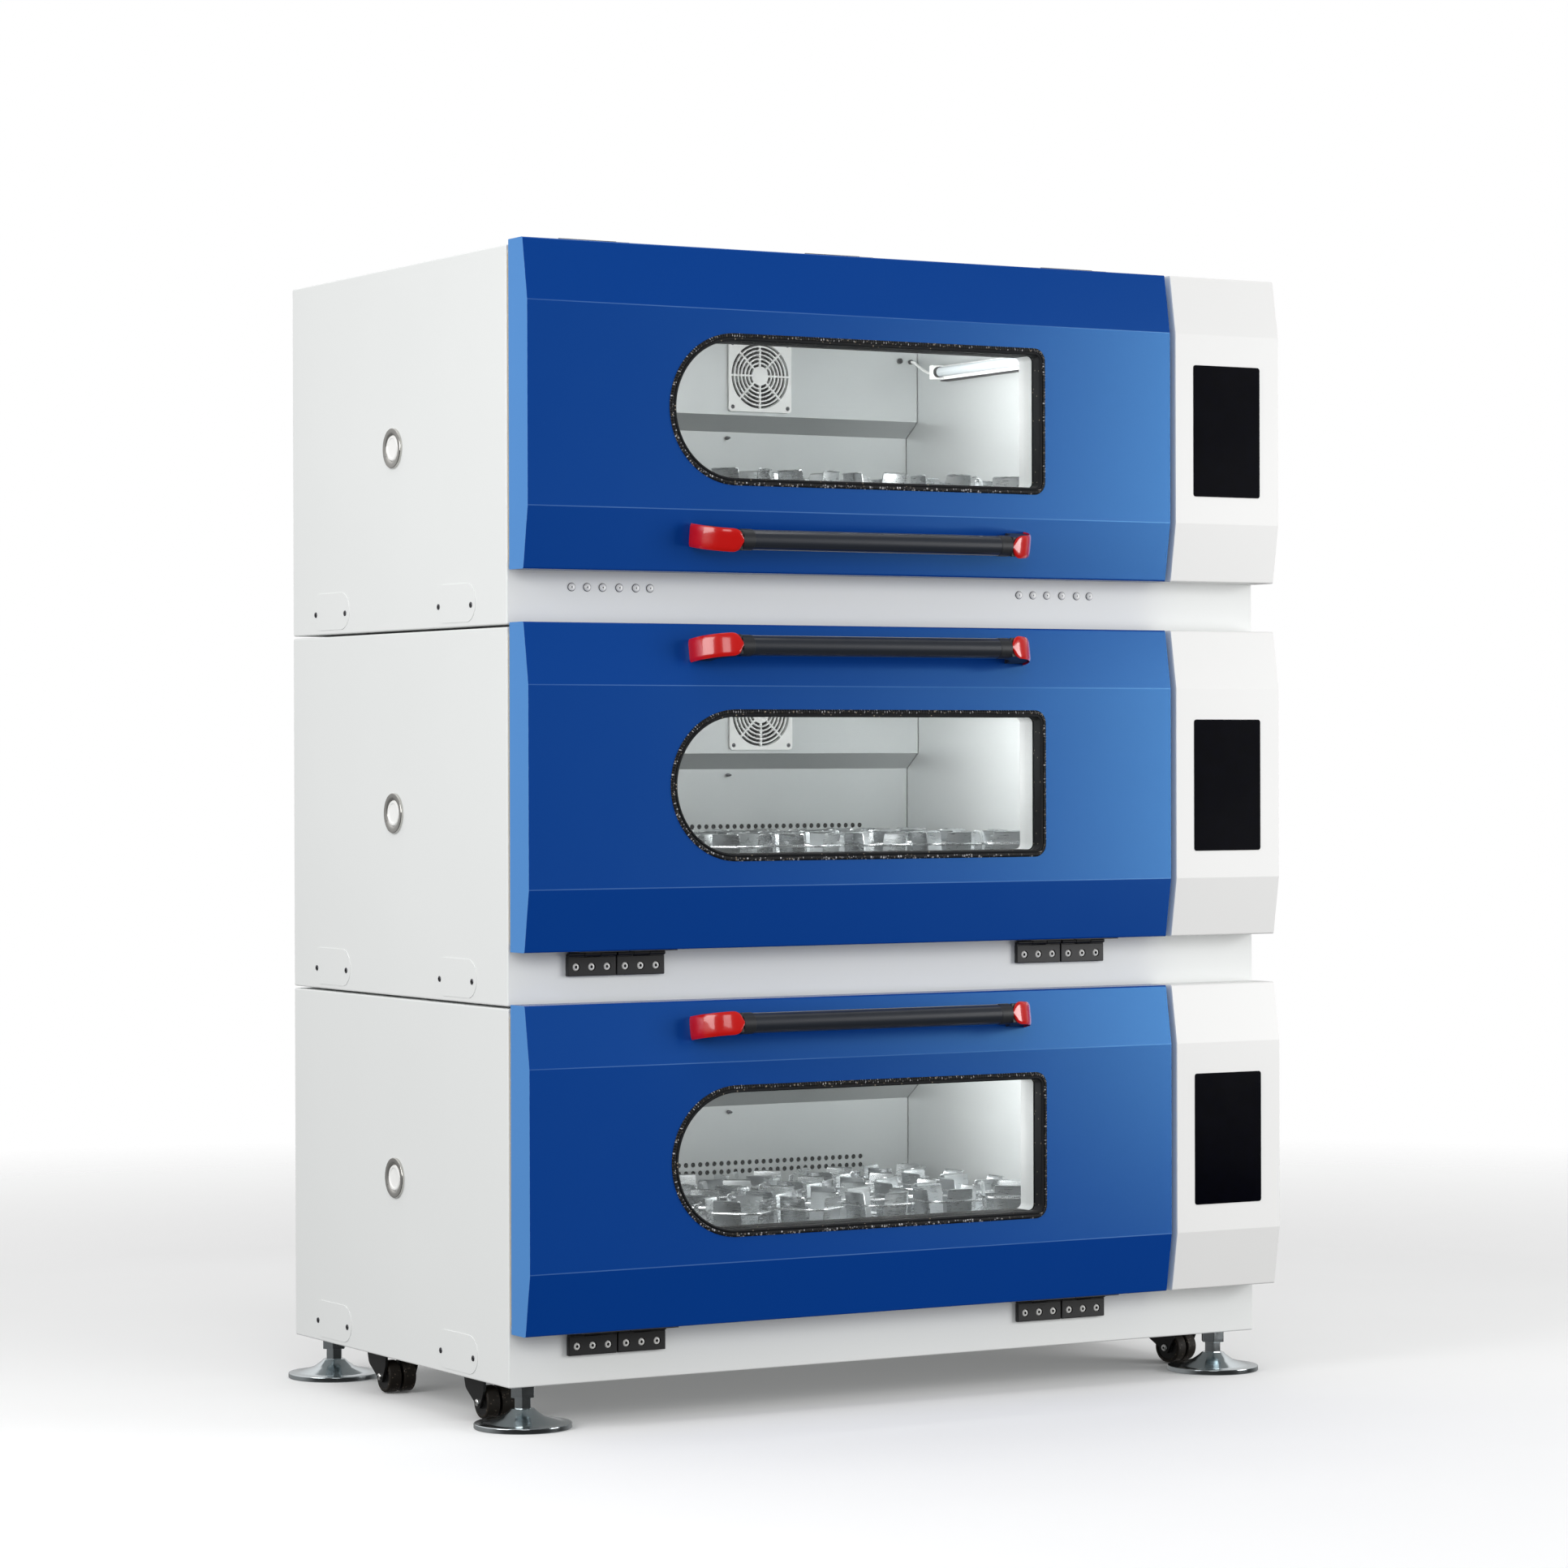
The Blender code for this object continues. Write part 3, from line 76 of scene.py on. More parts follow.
Colour = tuple[float, float, float]
Point = tuple[float, float]
Solid = bmesh.types.BMesh
Vertex = bmesh.types.BMVert
Loops = Sequence[Sequence[Point]]
Numbers = tuple[float, ...]
Draw = Callable[[], Solid]
Socket = bpy.types.NodeSocket
Results = dict[str, Socket]


class Slot(Enum):
    """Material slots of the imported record."""

    CABINET = "cabinet_paint"
    COLUMN = "column_paint"
    DOOR = "door_blue"
    LINER = "stainless_liner"
    DECK = "stainless_deck"
    RUBBER = "black_rubber"
    GLASS = "clear_glass"
    SCREEN = "screen_black"
    HANDLE = "handle_black"
    CAP = "cap_red"
    CHROME = "chrome_ring"
    WHITE = "white_plastic"
    BLACK = "black_plastic"
    MOTOR = "motor_paint"
    IRON = "eccentric_iron"
    ZINC = "zinc_plate"
    CASTOR = "castor_black"
    TREAD = "castor_tread"


class Swing(Enum):
    """Which way a unit's door opens."""

    UP = "top_hinged"
    DOWN = "sill_hinged"


class Side(Enum):
    """End of the handle, by the sign of its direction along X."""

    LEFT = -1
    RIGHT = 1


def srgb(code: str) -> Colour:
    """Linear colour of a six-digit screen colour."""
    values = [int(code[i : i + 2], 16) / 255 for i in (0, 2, 4)]
    return tuple(v / 12.92 if v <= 0.04045 else ((v + 0.055) / 1.055) ** 2.4 for v in values)


class Graph:
    """Places and links the nodes of one tree."""

    def __init__(self, tree: bpy.types.NodeTree) -> None:
        """Empty the tree and keep it."""
        self.tree = tree
        tree.nodes.clear()

    def add(self, kind: str, inputs: Optional[dict] = None, **settings: object) -> bpy.types.Node:
        """Add a node.

        Args:
            kind: Type name of the node, short of its shader prefix.
            inputs: Value or linked output for each named or numbered input.
            settings: Properties of the node itself.

        Returns:
            The new node.
        """
        node = self.tree.nodes.new(kind if kind.startswith("NodeGroup") else f"ShaderNode{kind}")
        for name, value in settings.items():
            setattr(node, name, value)
        for key, value in (inputs or {}).items():
            if isinstance(value, Socket):
                self.tree.links.new(value, node.inputs[key])
            else:
                node.inputs[key].default_value = value
        return node

    def maths(self, operation: str, first: object, second: object = 0.0) -> Socket:
        """Result of one operation on two numbers."""
        return self.add("Math", {0: first, 1: second}, operation=operation).outputs[0]

    def noise(self, place: Socket, scale: object, detail: float = 2.0, roughness: float = 0.5) -> Socket:
        """Noise from 0 to 1 at a place."""
        inputs = {"Vector": place, "Scale": scale, "Detail": detail, "Roughness": roughness}
        return self.add("TexNoise", inputs).outputs[0]

    def product(self, *factors: object) -> Socket:
        """Numbers multiplied in order."""
        return reduce(lambda first, second: self.maths("MULTIPLY", first, second), factors)

    def span(
        self, value: object, low: float, high: float, to_low: object = 0.0, to_high: object = 1.0
    ) -> Socket:
        """Number moved from one range to another, and kept inside it."""
        inputs = {0: value, 1: low, 2: high, 3: to_low, 4: to_high}
        return self.add("MapRange", inputs).outputs[0]

    def mix(self, share: object, first: object, second: object) -> Socket:
        """Blend of two colours, each a colour or a socket."""
        pair = [c if isinstance(c, Socket) else (*c, 1.0) for c in (first, second)]
        return self.add("Mix", {0: share, 6: pair[0], 7: pair[1]}, data_type="RGBA").outputs[2]

    def shade(self, colour: Colour, tint: Socket) -> Socket:
        """Colour made darker or lighter by a factor."""
        return self.add("VectorMath", {0: colour, "Scale": tint}, operation="SCALE").outputs[0]

    def effect(self, effect: type["Effect"], **inputs: object) -> Results:
        """Outputs by name of an effect's group, given a value or a linked output for its inputs."""
        node = self.add("Group", inputs, node_tree=effect.group())
        return {socket.name: socket for socket in node.outputs}


class Effect(Graph):
    """A surface effect kept as a node group, built on first use."""

    name = "effect"
    inputs: tuple[tuple[str, str], ...] = ()
    outputs: tuple[str, ...] = ()
    source: bpy.types.NodeOutputs

    @classmethod
    def group(cls) -> bpy.types.NodeTree:
        """The effect's node group.

        Returns:
            The group.
        """
        found = bpy.data.node_groups.get(cls.name)
        if found is not None:
            return found
        group = bpy.data.node_groups.new(cls.name, "ShaderNodeTree")
        for label, kind in cls.inputs:
            group.interface.new_socket(name=label, in_out="INPUT", socket_type=f"NodeSocket{kind}")
        for label in cls.outputs:
            group.interface.new_socket(name=label, in_out="OUTPUT", socket_type="NodeSocketFloat")
        effect = cls(group)
        effect.source = effect.add("NodeGroupInput").outputs
        effect.add("NodeGroupOutput", effect.draw())
        return group

    def draw(self) -> Results:
        """Draw the group's nodes, and give the socket for each output."""
        raise NotImplementedError


class PaintGrain(Effect):
    """Fine orange peel of sprayed paint, and its slow drift in tone."""

    name = "paint_grain"
    inputs = (("Place", "Vector"), ("Grain", "Float"), ("Drift", "Float"))
    outputs = ("Height", "Tint")

    def draw(self) -> Results:
        """Fine noise for the height, coarse noise for the tone.

        Returns:
            The socket for each output.
        """
        height = self.noise(self.source["Place"], self.source["Grain"], 3.0)
        drift = self.maths("SUBTRACT", self.noise(self.source["Place"], 2.5, 3.0), 0.5)
        tint = self.maths("ADD", self.maths("MULTIPLY", drift, self.source["Drift"]), 1.0)
        return {"Height": height, "Tint": tint}


class EdgeWearAndHighlight(Effect):
    """Worn or thinly covered edges, broken up by noise; where a finish lightens them, they are partly painted
    highlight.
    """

    name = "edge_wear_and_highlight"
    inputs = (("Place", "Vector"), ("Width", "Float"), ("Amount", "Float"))
    outputs = ("Mask",)

    def draw(self) -> Results:
        """Where a rounded normal leaves the real one, the surface turns a corner.

        Returns:
            The socket for each output.
        """
        rounded = self.add("Bevel", {"Radius": self.source["Width"]}, samples=4)
        real = self.add("NewGeometry").outputs["Normal"]
        dot = self.add("VectorMath", {0: rounded.outputs[0], 1: real}, operation="DOT_PRODUCT")
        edge = self.span(dot.outputs["Value"], 0.99, 0.8)
        rough = self.span(self.noise(self.source["Place"], 90.0, 4.0), 0.42, 0.62)
        return {"Mask": self.product(edge, rough, self.source["Amount"])}


class PaintedCreaseHighlight(Effect):
    """Painted highlight: a thin lighter line along a level crease of the sheet, where light catches the bend.
    """

    name = "painted_crease_highlight"
    inputs = (("Place", "Vector"), ("Height", "Float"), ("Amount", "Float"))
    outputs = ("Mask",)

    def draw(self) -> Results:
        """Nearness to the crease's height, varied slowly along it, as the mask of a painted highlight.

        Returns:
            The socket for each output.
        """
        height = self.add("SeparateXYZ", {0: self.source["Place"]}).outputs["Z"]
        off = self.maths("ABSOLUTE", self.maths("SUBTRACT", height, self.source["Height"]))
        line = self.span(off, 0.0011, 0.0004)
        along = self.span(self.noise(self.source["Place"], 3.0), 0.3, 0.7, 0.4, 1.0)
        return {"Mask": self.product(line, along, self.source["Amount"])}


class Dust(Effect):
    """Dust that settles on faces that look up."""

    name = "settled_dust"
    inputs = (("Place", "Vector"), ("Amount", "Float"))
    outputs = ("Mask",)

    def draw(self) -> Results:
        """Upward faces times a patchy noise.

        Returns:
            The socket for each output.
        """
        normal = self.add("NewGeometry").outputs["Normal"]
        up = self.span(self.add("SeparateXYZ", {0: normal}).outputs["Z"], 0.3, 1.0)
        patches = self.span(self.noise(self.source["Place"], 14.0, 5.0, 0.65), 0.35, 0.75)
        return {"Mask": self.product(up, patches, self.source["Amount"])}


class BrushMarks(Effect):
    """Long fine scratches of brushed or rolled metal."""

    name = "brush_marks"
    inputs = (("Place", "Vector"), ("Stretch", "Vector"))
    outputs = ("Streak", "Cloud")

    def draw(self) -> Results:
        """Noise drawn out along the brushing direction, and soft clouds over it.

        Returns:
            The socket for each output.
        """
        stretched = self.add(
            "VectorMath", {0: self.source["Place"], 1: self.source["Stretch"]}, operation="MULTIPLY"
        )
        streak = self.noise(stretched.outputs[0], 1.0, 6.0, 0.7)
        return {"Streak": streak, "Cloud": self.noise(self.source["Place"], 6.0, 3.0)}


class Speckle(Effect):
    """Small bright specks, as of abraded rubber or mica; on the ribbed bead they are painted glints."""

    name = "speckle"
    inputs = (("Place", "Vector"), ("Fineness", "Float"), ("Share", "Float"))
    outputs = ("Mask", "Height")

    def draw(self) -> Results:
        """Cells of which the given share lights up.

        Returns:
            The socket for each output.
        """
        cells = self.add("TexVoronoi", {"Vector": self.source["Place"], "Scale": self.source["Fineness"]})
        pick = self.add("SeparateColor", {0: cells.outputs["Color"]}).outputs[0]
        chosen = self.maths("LESS_THAN", pick, self.source["Share"])
        core = self.span(cells.outputs["Distance"], 0.6, 0.3)
        return {"Mask": self.product(chosen, core), "Height": cells.outputs["Distance"]}


class Handling(Effect):
    """Faint smears and fingerprints that dull a polish."""

    name = "handling_marks"
    inputs = (("Place", "Vector"), ("Amount", "Float"))
    outputs = ("Film",)

    def draw(self) -> Results:
        """Patchy film with finer streaks in it.

        Returns:
            The socket for each output.
        """
        patches = self.span(self.noise(self.source["Place"], 9.0, 4.0, 0.6), 0.4, 0.75)
        fine = self.span(self.noise(self.source["Place"], 120.0, 3.0), 0.3, 0.7, 0.5, 1.0)
        return {"Film": self.product(patches, fine, self.source["Amount"])}


@dataclass(frozen=True)
class Finish:
    """Ground of every finish: its name, the record's slot, its colour and roughness."""

    name: str
    slot: Slot
    colour: Colour
    roughness: float

    def material(self) -> bpy.types.Material:
        """Material of this finish, built on first use.

        Returns:
            The material.
        """
        found = bpy.data.materials.get(f"finish_{self.name}")
        if found is None:
            found = bpy.data.materials.new(f"finish_{self.name}")
            found.use_nodes = True
            self.draw(Graph(found.node_tree))
            found.diffuse_color = (*self.colour, 1.0)
        return found

    def draw(self, graph: Graph) -> None:
        """Draw the material's nodes."""
        raise NotImplementedError

    @staticmethod
    def place(graph: Graph) -> Socket:
        """The piece's own coordinates."""
        return graph.add("TexCoord").outputs["Object"]

    @staticmethod
    def bump(graph: Graph, height: Socket, depth: float, strength: float = 1.0) -> Socket:
        """Normal of a relief with the given depth in metres."""
        inputs = {"Strength": strength, "Distance": depth, "Height": height}
        return graph.add("Bump", inputs).outputs[0]

    @staticmethod
    def surface(graph: Graph, inputs: dict) -> None:
        """Principled surface, linked to the output."""
        shader = graph.add("BsdfPrincipled", inputs)
        graph.add("OutputMaterial", {"Surface": shader.outputs[0]})


@dataclass(frozen=True)
class Paint(Finish):
    """Sprayed or powder-coated sheet metal."""

    grain: float = 700.0
    relief: float = 0.00004
    drift: float = 0.05
    # Edge tone and share: partly rubbed paint, partly painted highlight, the latter strongest on the door.
    worn_and_highlight_tone: Colour = (0.8, 0.8, 0.8)
    wear_and_highlight: float = 0.25
    dust: float = 0.1
    dust_tone: Colour = (0.52, 0.5, 0.47)
    crease_highlight_share: float = 0.5
    coat: float = 0.0
    coat_roughness: float = 0.1
    specular: float = 0.5
    sheen: Colour = (1.0, 1.0, 1.0)
    gloss_index: float = 1.5
    crease_highlight_heights: Numbers = ()

    def draw(self, graph: Graph) -> None:
        """Tone drift, a painted crease highlight, edges lightened partly by rubbing and partly as painted
        highlight, and dust over a fine peel.

        Args:
            graph: The material's own graph.
        """
        place = self.place(graph)
        grain = graph.effect(PaintGrain, Place=place, Grain=self.grain, Drift=self.drift)
        wear_and_highlight = graph.effect(EdgeWearAndHighlight, Place=place, Width=0.0012, Amount=self.wear_and_highlight)["Mask"]
        # The crease lines are painted highlight; they join the edge mask and take its lighter tone.
        for height in self.crease_highlight_heights:
            crease_highlight = graph.effect(PaintedCreaseHighlight, Place=place, Height=height, Amount=self.crease_highlight_share)["Mask"]
            wear_and_highlight = graph.maths("MAXIMUM", wear_and_highlight, crease_highlight)
        dust = graph.effect(Dust, Place=place, Amount=self.dust)["Mask"]
        film = graph.effect(Handling, Place=place, Amount=0.012)["Film"]
        tone = graph.mix(wear_and_highlight, graph.shade(self.colour, grain["Tint"]), self.worn_and_highlight_tone)
        tone = graph.mix(dust, tone, self.dust_tone)
        rough = graph.maths("ADD", graph.maths("MULTIPLY", dust, 0.4), self.roughness)
        inputs = {
            "Base Color": tone,
            "Roughness": graph.maths("ADD", rough, film),
            "Specular IOR Level": self.specular,
            "Specular Tint": (*self.sheen, 1.0),
            "IOR": self.gloss_index,
            "Coat Weight": self.coat,
            "Coat Roughness": self.coat_roughness,
            "Normal": self.bump(graph, grain["Height"], self.relief),
        }
        self.surface(graph, inputs)


@dataclass(frozen=True)
class Metal(Finish):
    """Bare, plated or polished metal with brush marks and soft clouds."""

    stretch: Colour = (4.0, 4.0, 900.0)
    relief: float = 0.00002
    spread: float = 0.1
    wear_and_highlight: float = 0.2
    # Tone that edges lighten to; on the clamps mostly painted highlight where the lips catch light.
    bright: Colour = (0.88, 0.89, 0.9)
    metallic: float = 1.0

    def draw(self, graph: Graph) -> None:
        """Brush marks in tone, roughness and relief.

        Args:
            graph: The material's own graph.
        """
        place = self.place(graph)
        marks = graph.effect(BrushMarks, Place=place, Stretch=self.stretch)
        wear_and_highlight = graph.effect(EdgeWearAndHighlight, Place=place, Width=0.0008, Amount=self.wear_and_highlight)["Mask"]
        film = graph.effect(Handling, Place=place, Amount=0.1)["Film"]
        level = graph.span(marks["Streak"], 0.3, 0.7, 1.0 - self.spread, 1.0 + self.spread)
        level = graph.maths("MULTIPLY", level, graph.span(marks["Cloud"], 0.3, 0.7, 0.97, 1.02))
        tone = graph.mix(wear_and_highlight, graph.shade(self.colour, level), self.bright)
        rough = graph.span(marks["Streak"], 0.3, 0.7, self.roughness * 0.85, self.roughness * 1.15)
        inputs = {
            "Base Color": tone,
            "Metallic": self.metallic,
            "Roughness": graph.maths("ADD", rough, film),
            "Normal": self.bump(graph, marks["Streak"], self.relief),
        }
        self.surface(graph, inputs)


@dataclass(frozen=True)
class Plastic(Finish):
    """Moulded plastic with a fine spark-eroded grain."""

    grain: float = 1500.0
    relief: float = 0.00003
    coat: float = 0.0
    wear_and_highlight: float = 0.15
    worn_and_highlight_tone: Colour = (0.3, 0.3, 0.3)
    dust_tone: Colour = (0.4, 0.38, 0.35)
    specular: float = 0.5

    def draw(self, graph: Graph) -> None:
        """Fine grain, rubbed edges and a little dust.

        Args:
            graph: The material's own graph.
        """
        place = self.place(graph)
        grain = graph.effect(PaintGrain, Place=place, Grain=self.grain, Drift=0.08)
        wear_and_highlight = graph.effect(EdgeWearAndHighlight, Place=place, Width=0.0008, Amount=self.wear_and_highlight)["Mask"]
        dust = graph.effect(Dust, Place=place, Amount=0.06)["Mask"]
        film = graph.effect(Handling, Place=place, Amount=0.08)["Film"]
        tone = graph.mix(wear_and_highlight, graph.shade(self.colour, grain["Tint"]), self.worn_and_highlight_tone)
        inputs = {
            "Base Color": graph.mix(dust, tone, self.dust_tone),
            "Roughness": graph.maths("ADD", film, self.roughness),
            "Specular IOR Level": self.specular,
            "Coat Weight": self.coat,
            "Coat Roughness": 0.05,
            "Normal": self.bump(graph, grain["Height"], self.relief),
        }
        self.surface(graph, inputs)


@dataclass(frozen=True)
class Rubber(Finish):
    """Soft rubber with pale specks of bloom and abrasion; on the ribbed bead, dense pale specks are painted
    glints.
    """

    speck_and_glint_tone: Colour = (0.3, 0.25, 0.19)
    share: float = 0.1
    fineness: float = 420.0
    dust_tone: Colour = (0.3, 0.28, 0.25)
    relief: float = 0.00008

    def draw(self, graph: Graph) -> None:
        """Specks over a dull ground.

        Args:
            graph: The material's own graph.
        """
        place = self.place(graph)
        specks = graph.effect(Speckle, Place=place, Fineness=self.fineness, Share=self.share)
        grain = graph.effect(PaintGrain, Place=place, Grain=900.0, Drift=0.3)
        dust = graph.effect(Dust, Place=place, Amount=0.12)["Mask"]
        tone = graph.mix(specks["Mask"], graph.shade(self.colour, grain["Tint"]), self.speck_and_glint_tone)
        inputs = {
            "Base Color": graph.mix(dust, tone, self.dust_tone),
            "Roughness": graph.span(specks["Mask"], 0.0, 1.0, self.roughness, self.roughness * 0.6),
            "Specular IOR Level": 0.2,
            "Normal": self.bump(graph, grain["Height"], self.relief),
        }
        self.surface(graph, inputs)


@dataclass(frozen=True)
class PaneGlass(Finish):
    """Clear pane that lets lamps shine through it."""

    def draw(self, graph: Graph) -> None:
        """Thin film of smears on clear glass, open to shadow rays.

        Args:
            graph: The material's own graph.
        """
        film = graph.effect(Handling, Place=self.place(graph), Amount=0.03)["Film"]
        inputs = {
            "Base Color": (*self.colour, 1.0),
            "Roughness": graph.maths("ADD", film, self.roughness),
            "Transmission Weight": 1.0,
            "IOR": 1.45,
        }
        glass = graph.add("BsdfPrincipled", inputs)
        clear = graph.add("BsdfTransparent", {"Color": (*self.colour, 1.0)})
        shadow = graph.add("LightPath").outputs["Is Shadow Ray"]
        mixed = graph.add("MixShader", {0: shadow, 1: glass.outputs[0], 2: clear.outputs[0]})
        graph.add("OutputMaterial", {"Surface": mixed.outputs[0]})


@dataclass(frozen=True)
class DisplayGlass(Finish):
    """Dark cover glass of a display that is switched off."""

    field: Colour = (0.0016, 0.0018, 0.005)

    def draw(self, graph: Graph) -> None:
        """Slightly blue display field with faint smears.

        Args:
            graph: The material's own graph.
        """
        place = self.place(graph)
        film = graph.effect(Handling, Place=place, Amount=0.1)["Film"]
        grain = graph.effect(PaintGrain, Place=place, Grain=60.0, Drift=0.4)
        inputs = {
            "Base Color": graph.mix(grain["Height"], self.colour, self.field),
            "Roughness": graph.maths("ADD", film, self.roughness),
            "Specular IOR Level": 0.01,
            "Normal": self.bump(graph, grain["Height"], 0.00001),
        }
        self.surface(graph, inputs)


@dataclass(frozen=True)
class LampGlass(Finish):
    """Frosted lamp tube that glows."""

    glow: float = 0.2

    def draw(self, graph: Graph) -> None:
        """Glow with faint bands along the tube.

        Args:
            graph: The material's own graph.
        """
        place = self.place(graph)
        marks = graph.effect(BrushMarks, Place=place, Stretch=(300.0, 3.0, 300.0))
        level = graph.span(marks["Streak"], 0.3, 0.7, 0.75, 1.0)
        inputs = {
            "Base Color": graph.shade(self.colour, level),
            "Roughness": graph.span(marks["Cloud"], 0.0, 1.0, self.roughness, self.roughness * 1.5),
            "Emission Color": graph.shade(self.colour, level),
            "Emission Strength": self.glow,
            "Normal": self.bump(graph, marks["Streak"], 0.00002),
        }
        self.surface(graph, inputs)


CABINET_PAINT = Paint("cabinet_paint", Slot.CABINET, srgb("e9ebea"), 0.42, worn_and_highlight_tone=(0.86, 0.86, 0.86))
COLUMN_PAINT = Paint("column_paint", Slot.COLUMN, srgb("e9e9e8"), 0.38, worn_and_highlight_tone=(0.88, 0.88, 0.88))
# Door blue; its lighter edge tone is the blue of the lit flank, so its edges and creases carry painted
# highlight.
DOOR_PAINT = Paint(
    "door_paint", Slot.DOOR, srgb("013a90"), 0.25, grain=500.0, drift=0.06, worn_and_highlight_tone=srgb("6f9bd8"), wear_and_highlight=0.55,
    dust=0.03, specular=1.0, sheen=(0.19, 0.6, 1.0), gloss_index=1.53, crease_highlight_heights=(0.172, 0.471),
)
# Lighter blue of the door's end faces: painted light on the flank, over the same paint as the face.
DOOR_END_PAINTED_LIGHT = Paint(
    "door_end_painted_light", Slot.DOOR, srgb("4f8ccf"), 0.42, grain=500.0, drift=0.1, worn_and_highlight_tone=srgb("6f9bd8"),
    wear_and_highlight=0.55, dust=0.03, sheen=(0.35, 0.65, 1.0),
)
LINER_STEEL = Metal(
    "liner_steel", Slot.LINER, (0.5, 0.52, 0.52), 0.42, stretch=(3.0, 3.0, 500.0), spread=0.03,
    metallic=0.5,
)
# Pale finish for the right end of the window's reveal: painted light on that inner edge.
PAINTED_LIGHT_REVEAL = Metal("painted_light_reveal", Slot.LINER, (0.88, 0.89, 0.89), 0.4, spread=0.03, metallic=0.1)
DECK_STEEL = Metal(
    "deck_steel", Slot.DECK, (0.72, 0.73, 0.74), 0.32, stretch=(3.0, 500.0, 500.0), spread=0.06
)
# Clamp leaves: strong edge lightening to the bright tone, painted highlight where the folded lips catch
# light.
CLAMP_STEEL = Metal(
    "clamp_steel", Slot.DECK, (0.62, 0.64, 0.65), 0.26, stretch=(60.0, 60.0, 500.0), relief=0.000005,
    spread=0.06, wear_and_highlight=0.8,
)
SPRING_STEEL = Metal("spring_steel", Slot.DECK, (0.74, 0.75, 0.76), 0.24, stretch=(400.0, 400.0, 80.0))
CHROME = Metal("chrome", Slot.CHROME, (0.6, 0.59, 0.56), 0.07, stretch=(40.0, 400.0, 400.0), spread=0.04)
ZINC = Metal(
    "zinc", Slot.ZINC, (0.62, 0.67, 0.69), 0.13, stretch=(8.0, 8.0, 600.0), relief=0.000004,
    spread=0.04, wear_and_highlight=0.35,
)
EVEN_GRAIN = (500.0, 500.0, 500.0)
BLUED_STEEL = Metal(
    "blued_steel", Slot.ZINC, (0.11, 0.11, 0.12), 0.3, stretch=(300.0, 300.0, 300.0), spread=0.15
)
SCREW_ZINC = Metal("screw_zinc", Slot.ZINC, (0.8, 0.8, 0.79), 0.25, stretch=EVEN_GRAIN, spread=0.12)
SCREW_BRIGHT = Metal(
    "screw_bright", Slot.ZINC, (0.87, 0.87, 0.85), 0.4, stretch=EVEN_GRAIN, spread=0.08, metallic=0.1
)
GASKET_RUBBER = Rubber("gasket_rubber", Slot.RUBBER, (0.01, 0.011, 0.013), 0.55, share=0.02)
BEAD_RUBBER = Rubber("bead_rubber", Slot.RUBBER, (0.007, 0.007, 0.007), 0.6, share=0.14, fineness=300.0)
# Every other rib of the bead is lighter, with dense pale specks: painted glints along the bead.
BEAD_RIB_GLINT_RUBBER = Rubber(
    "bead_rib_painted_glints", Slot.RUBBER, (0.018, 0.018, 0.019), 0.5, speck_and_glint_tone=(0.48, 0.48, 0.5), share=0.34,
    fineness=260.0,
)
SEAL_RUBBER = Rubber("seal_rubber", Slot.RUBBER, srgb("b7a78d"), 0.7, speck_and_glint_tone=(0.55, 0.5, 0.42), share=0.2)
PAD_RUBBER = Rubber("pad_rubber", Slot.RUBBER, (0.02, 0.02, 0.021), 0.75, share=0.05)
PANE = PaneGlass("pane_glass", Slot.GLASS, (0.975, 0.99, 0.985), 0.0)
SCREEN_GLASS = DisplayGlass("screen_glass", Slot.SCREEN, (0.001, 0.001, 0.0014), 0.12)
LAMP_TUBE = LampGlass("lamp_tube", Slot.WHITE, (0.5, 0.54, 0.56), 0.15)
GRIP_BLACK = Paint(
    "grip_black", Slot.HANDLE, (0.017, 0.021, 0.03), 0.36, grain=900.0, drift=0.15, worn_and_highlight_tone=(0.2, 0.2, 0.21),
    dust=0.05, coat=0.8, coat_roughness=0.08,
)
BRACKET_BLACK = Plastic("bracket_black", Slot.HANDLE, (0.02, 0.022, 0.026), 0.42)
CAP_RED = Plastic(
    "cap_red", Slot.CAP, srgb("c40e0a"), 0.22, coat=0.8, worn_and_highlight_tone=srgb("f0563c"), wear_and_highlight=0.5, relief=0.00001
)
HINGE_BLACK = Paint(
    "hinge_black", Slot.BLACK, (0.016, 0.016, 0.017), 0.45, grain=1100.0, drift=0.2, worn_and_highlight_tone=(0.22, 0.2, 0.17)
)
WHITE_PLASTIC = Plastic("white_plastic", Slot.WHITE, srgb("f4f4f2"), 0.4, worn_and_highlight_tone=(0.93, 0.93, 0.93))
BLACK_PLASTIC = Plastic("black_plastic", Slot.BLACK, (0.014, 0.014, 0.015), 0.5)
FAN_BLACK = Plastic(
    "fan_black", Slot.BLACK, (0.004, 0.004, 0.004), 0.6, specular=0.15, worn_and_highlight_tone=(0.03, 0.03, 0.03)
)
# Near-black for screw sockets and behind the air holes: painted shade in recesses.
HOLE_SHADE = Plastic("painted_hole_shade", Slot.BLACK, (0.006, 0.006, 0.006), 0.8)
MOTOR_ENAMEL = Paint(
    "motor_enamel", Slot.MOTOR, (0.055, 0.06, 0.066), 0.45, drift=0.2, worn_and_highlight_tone=(0.35, 0.35, 0.35)
)
CAST_IRON = Metal("cast_iron", Slot.IRON, (0.24, 0.24, 0.25), 0.48, stretch=(200.0, 200.0, 200.0), spread=0.2)
CASTOR_BLACK = Plastic(
    "castor_black", Slot.CASTOR, (0.008, 0.008, 0.008), 0.38, worn_and_highlight_tone=(0.12, 0.11, 0.09), specular=0.3
)
TREAD_RUBBER = Rubber(
    "tread_rubber", Slot.TREAD, (0.016, 0.013, 0.01), 0.5, speck_and_glint_tone=(0.1, 0.08, 0.06), share=0.12
)

# Turns that lay an XY outline onto another plane
ONTO_XZ = Matrix.Rotation(math.radians(90), 4, "X")
ONTO_YZ = Matrix.Rotation(math.radians(90), 4, "Z") @ Matrix.Rotation(math.radians(90), 4, "X")
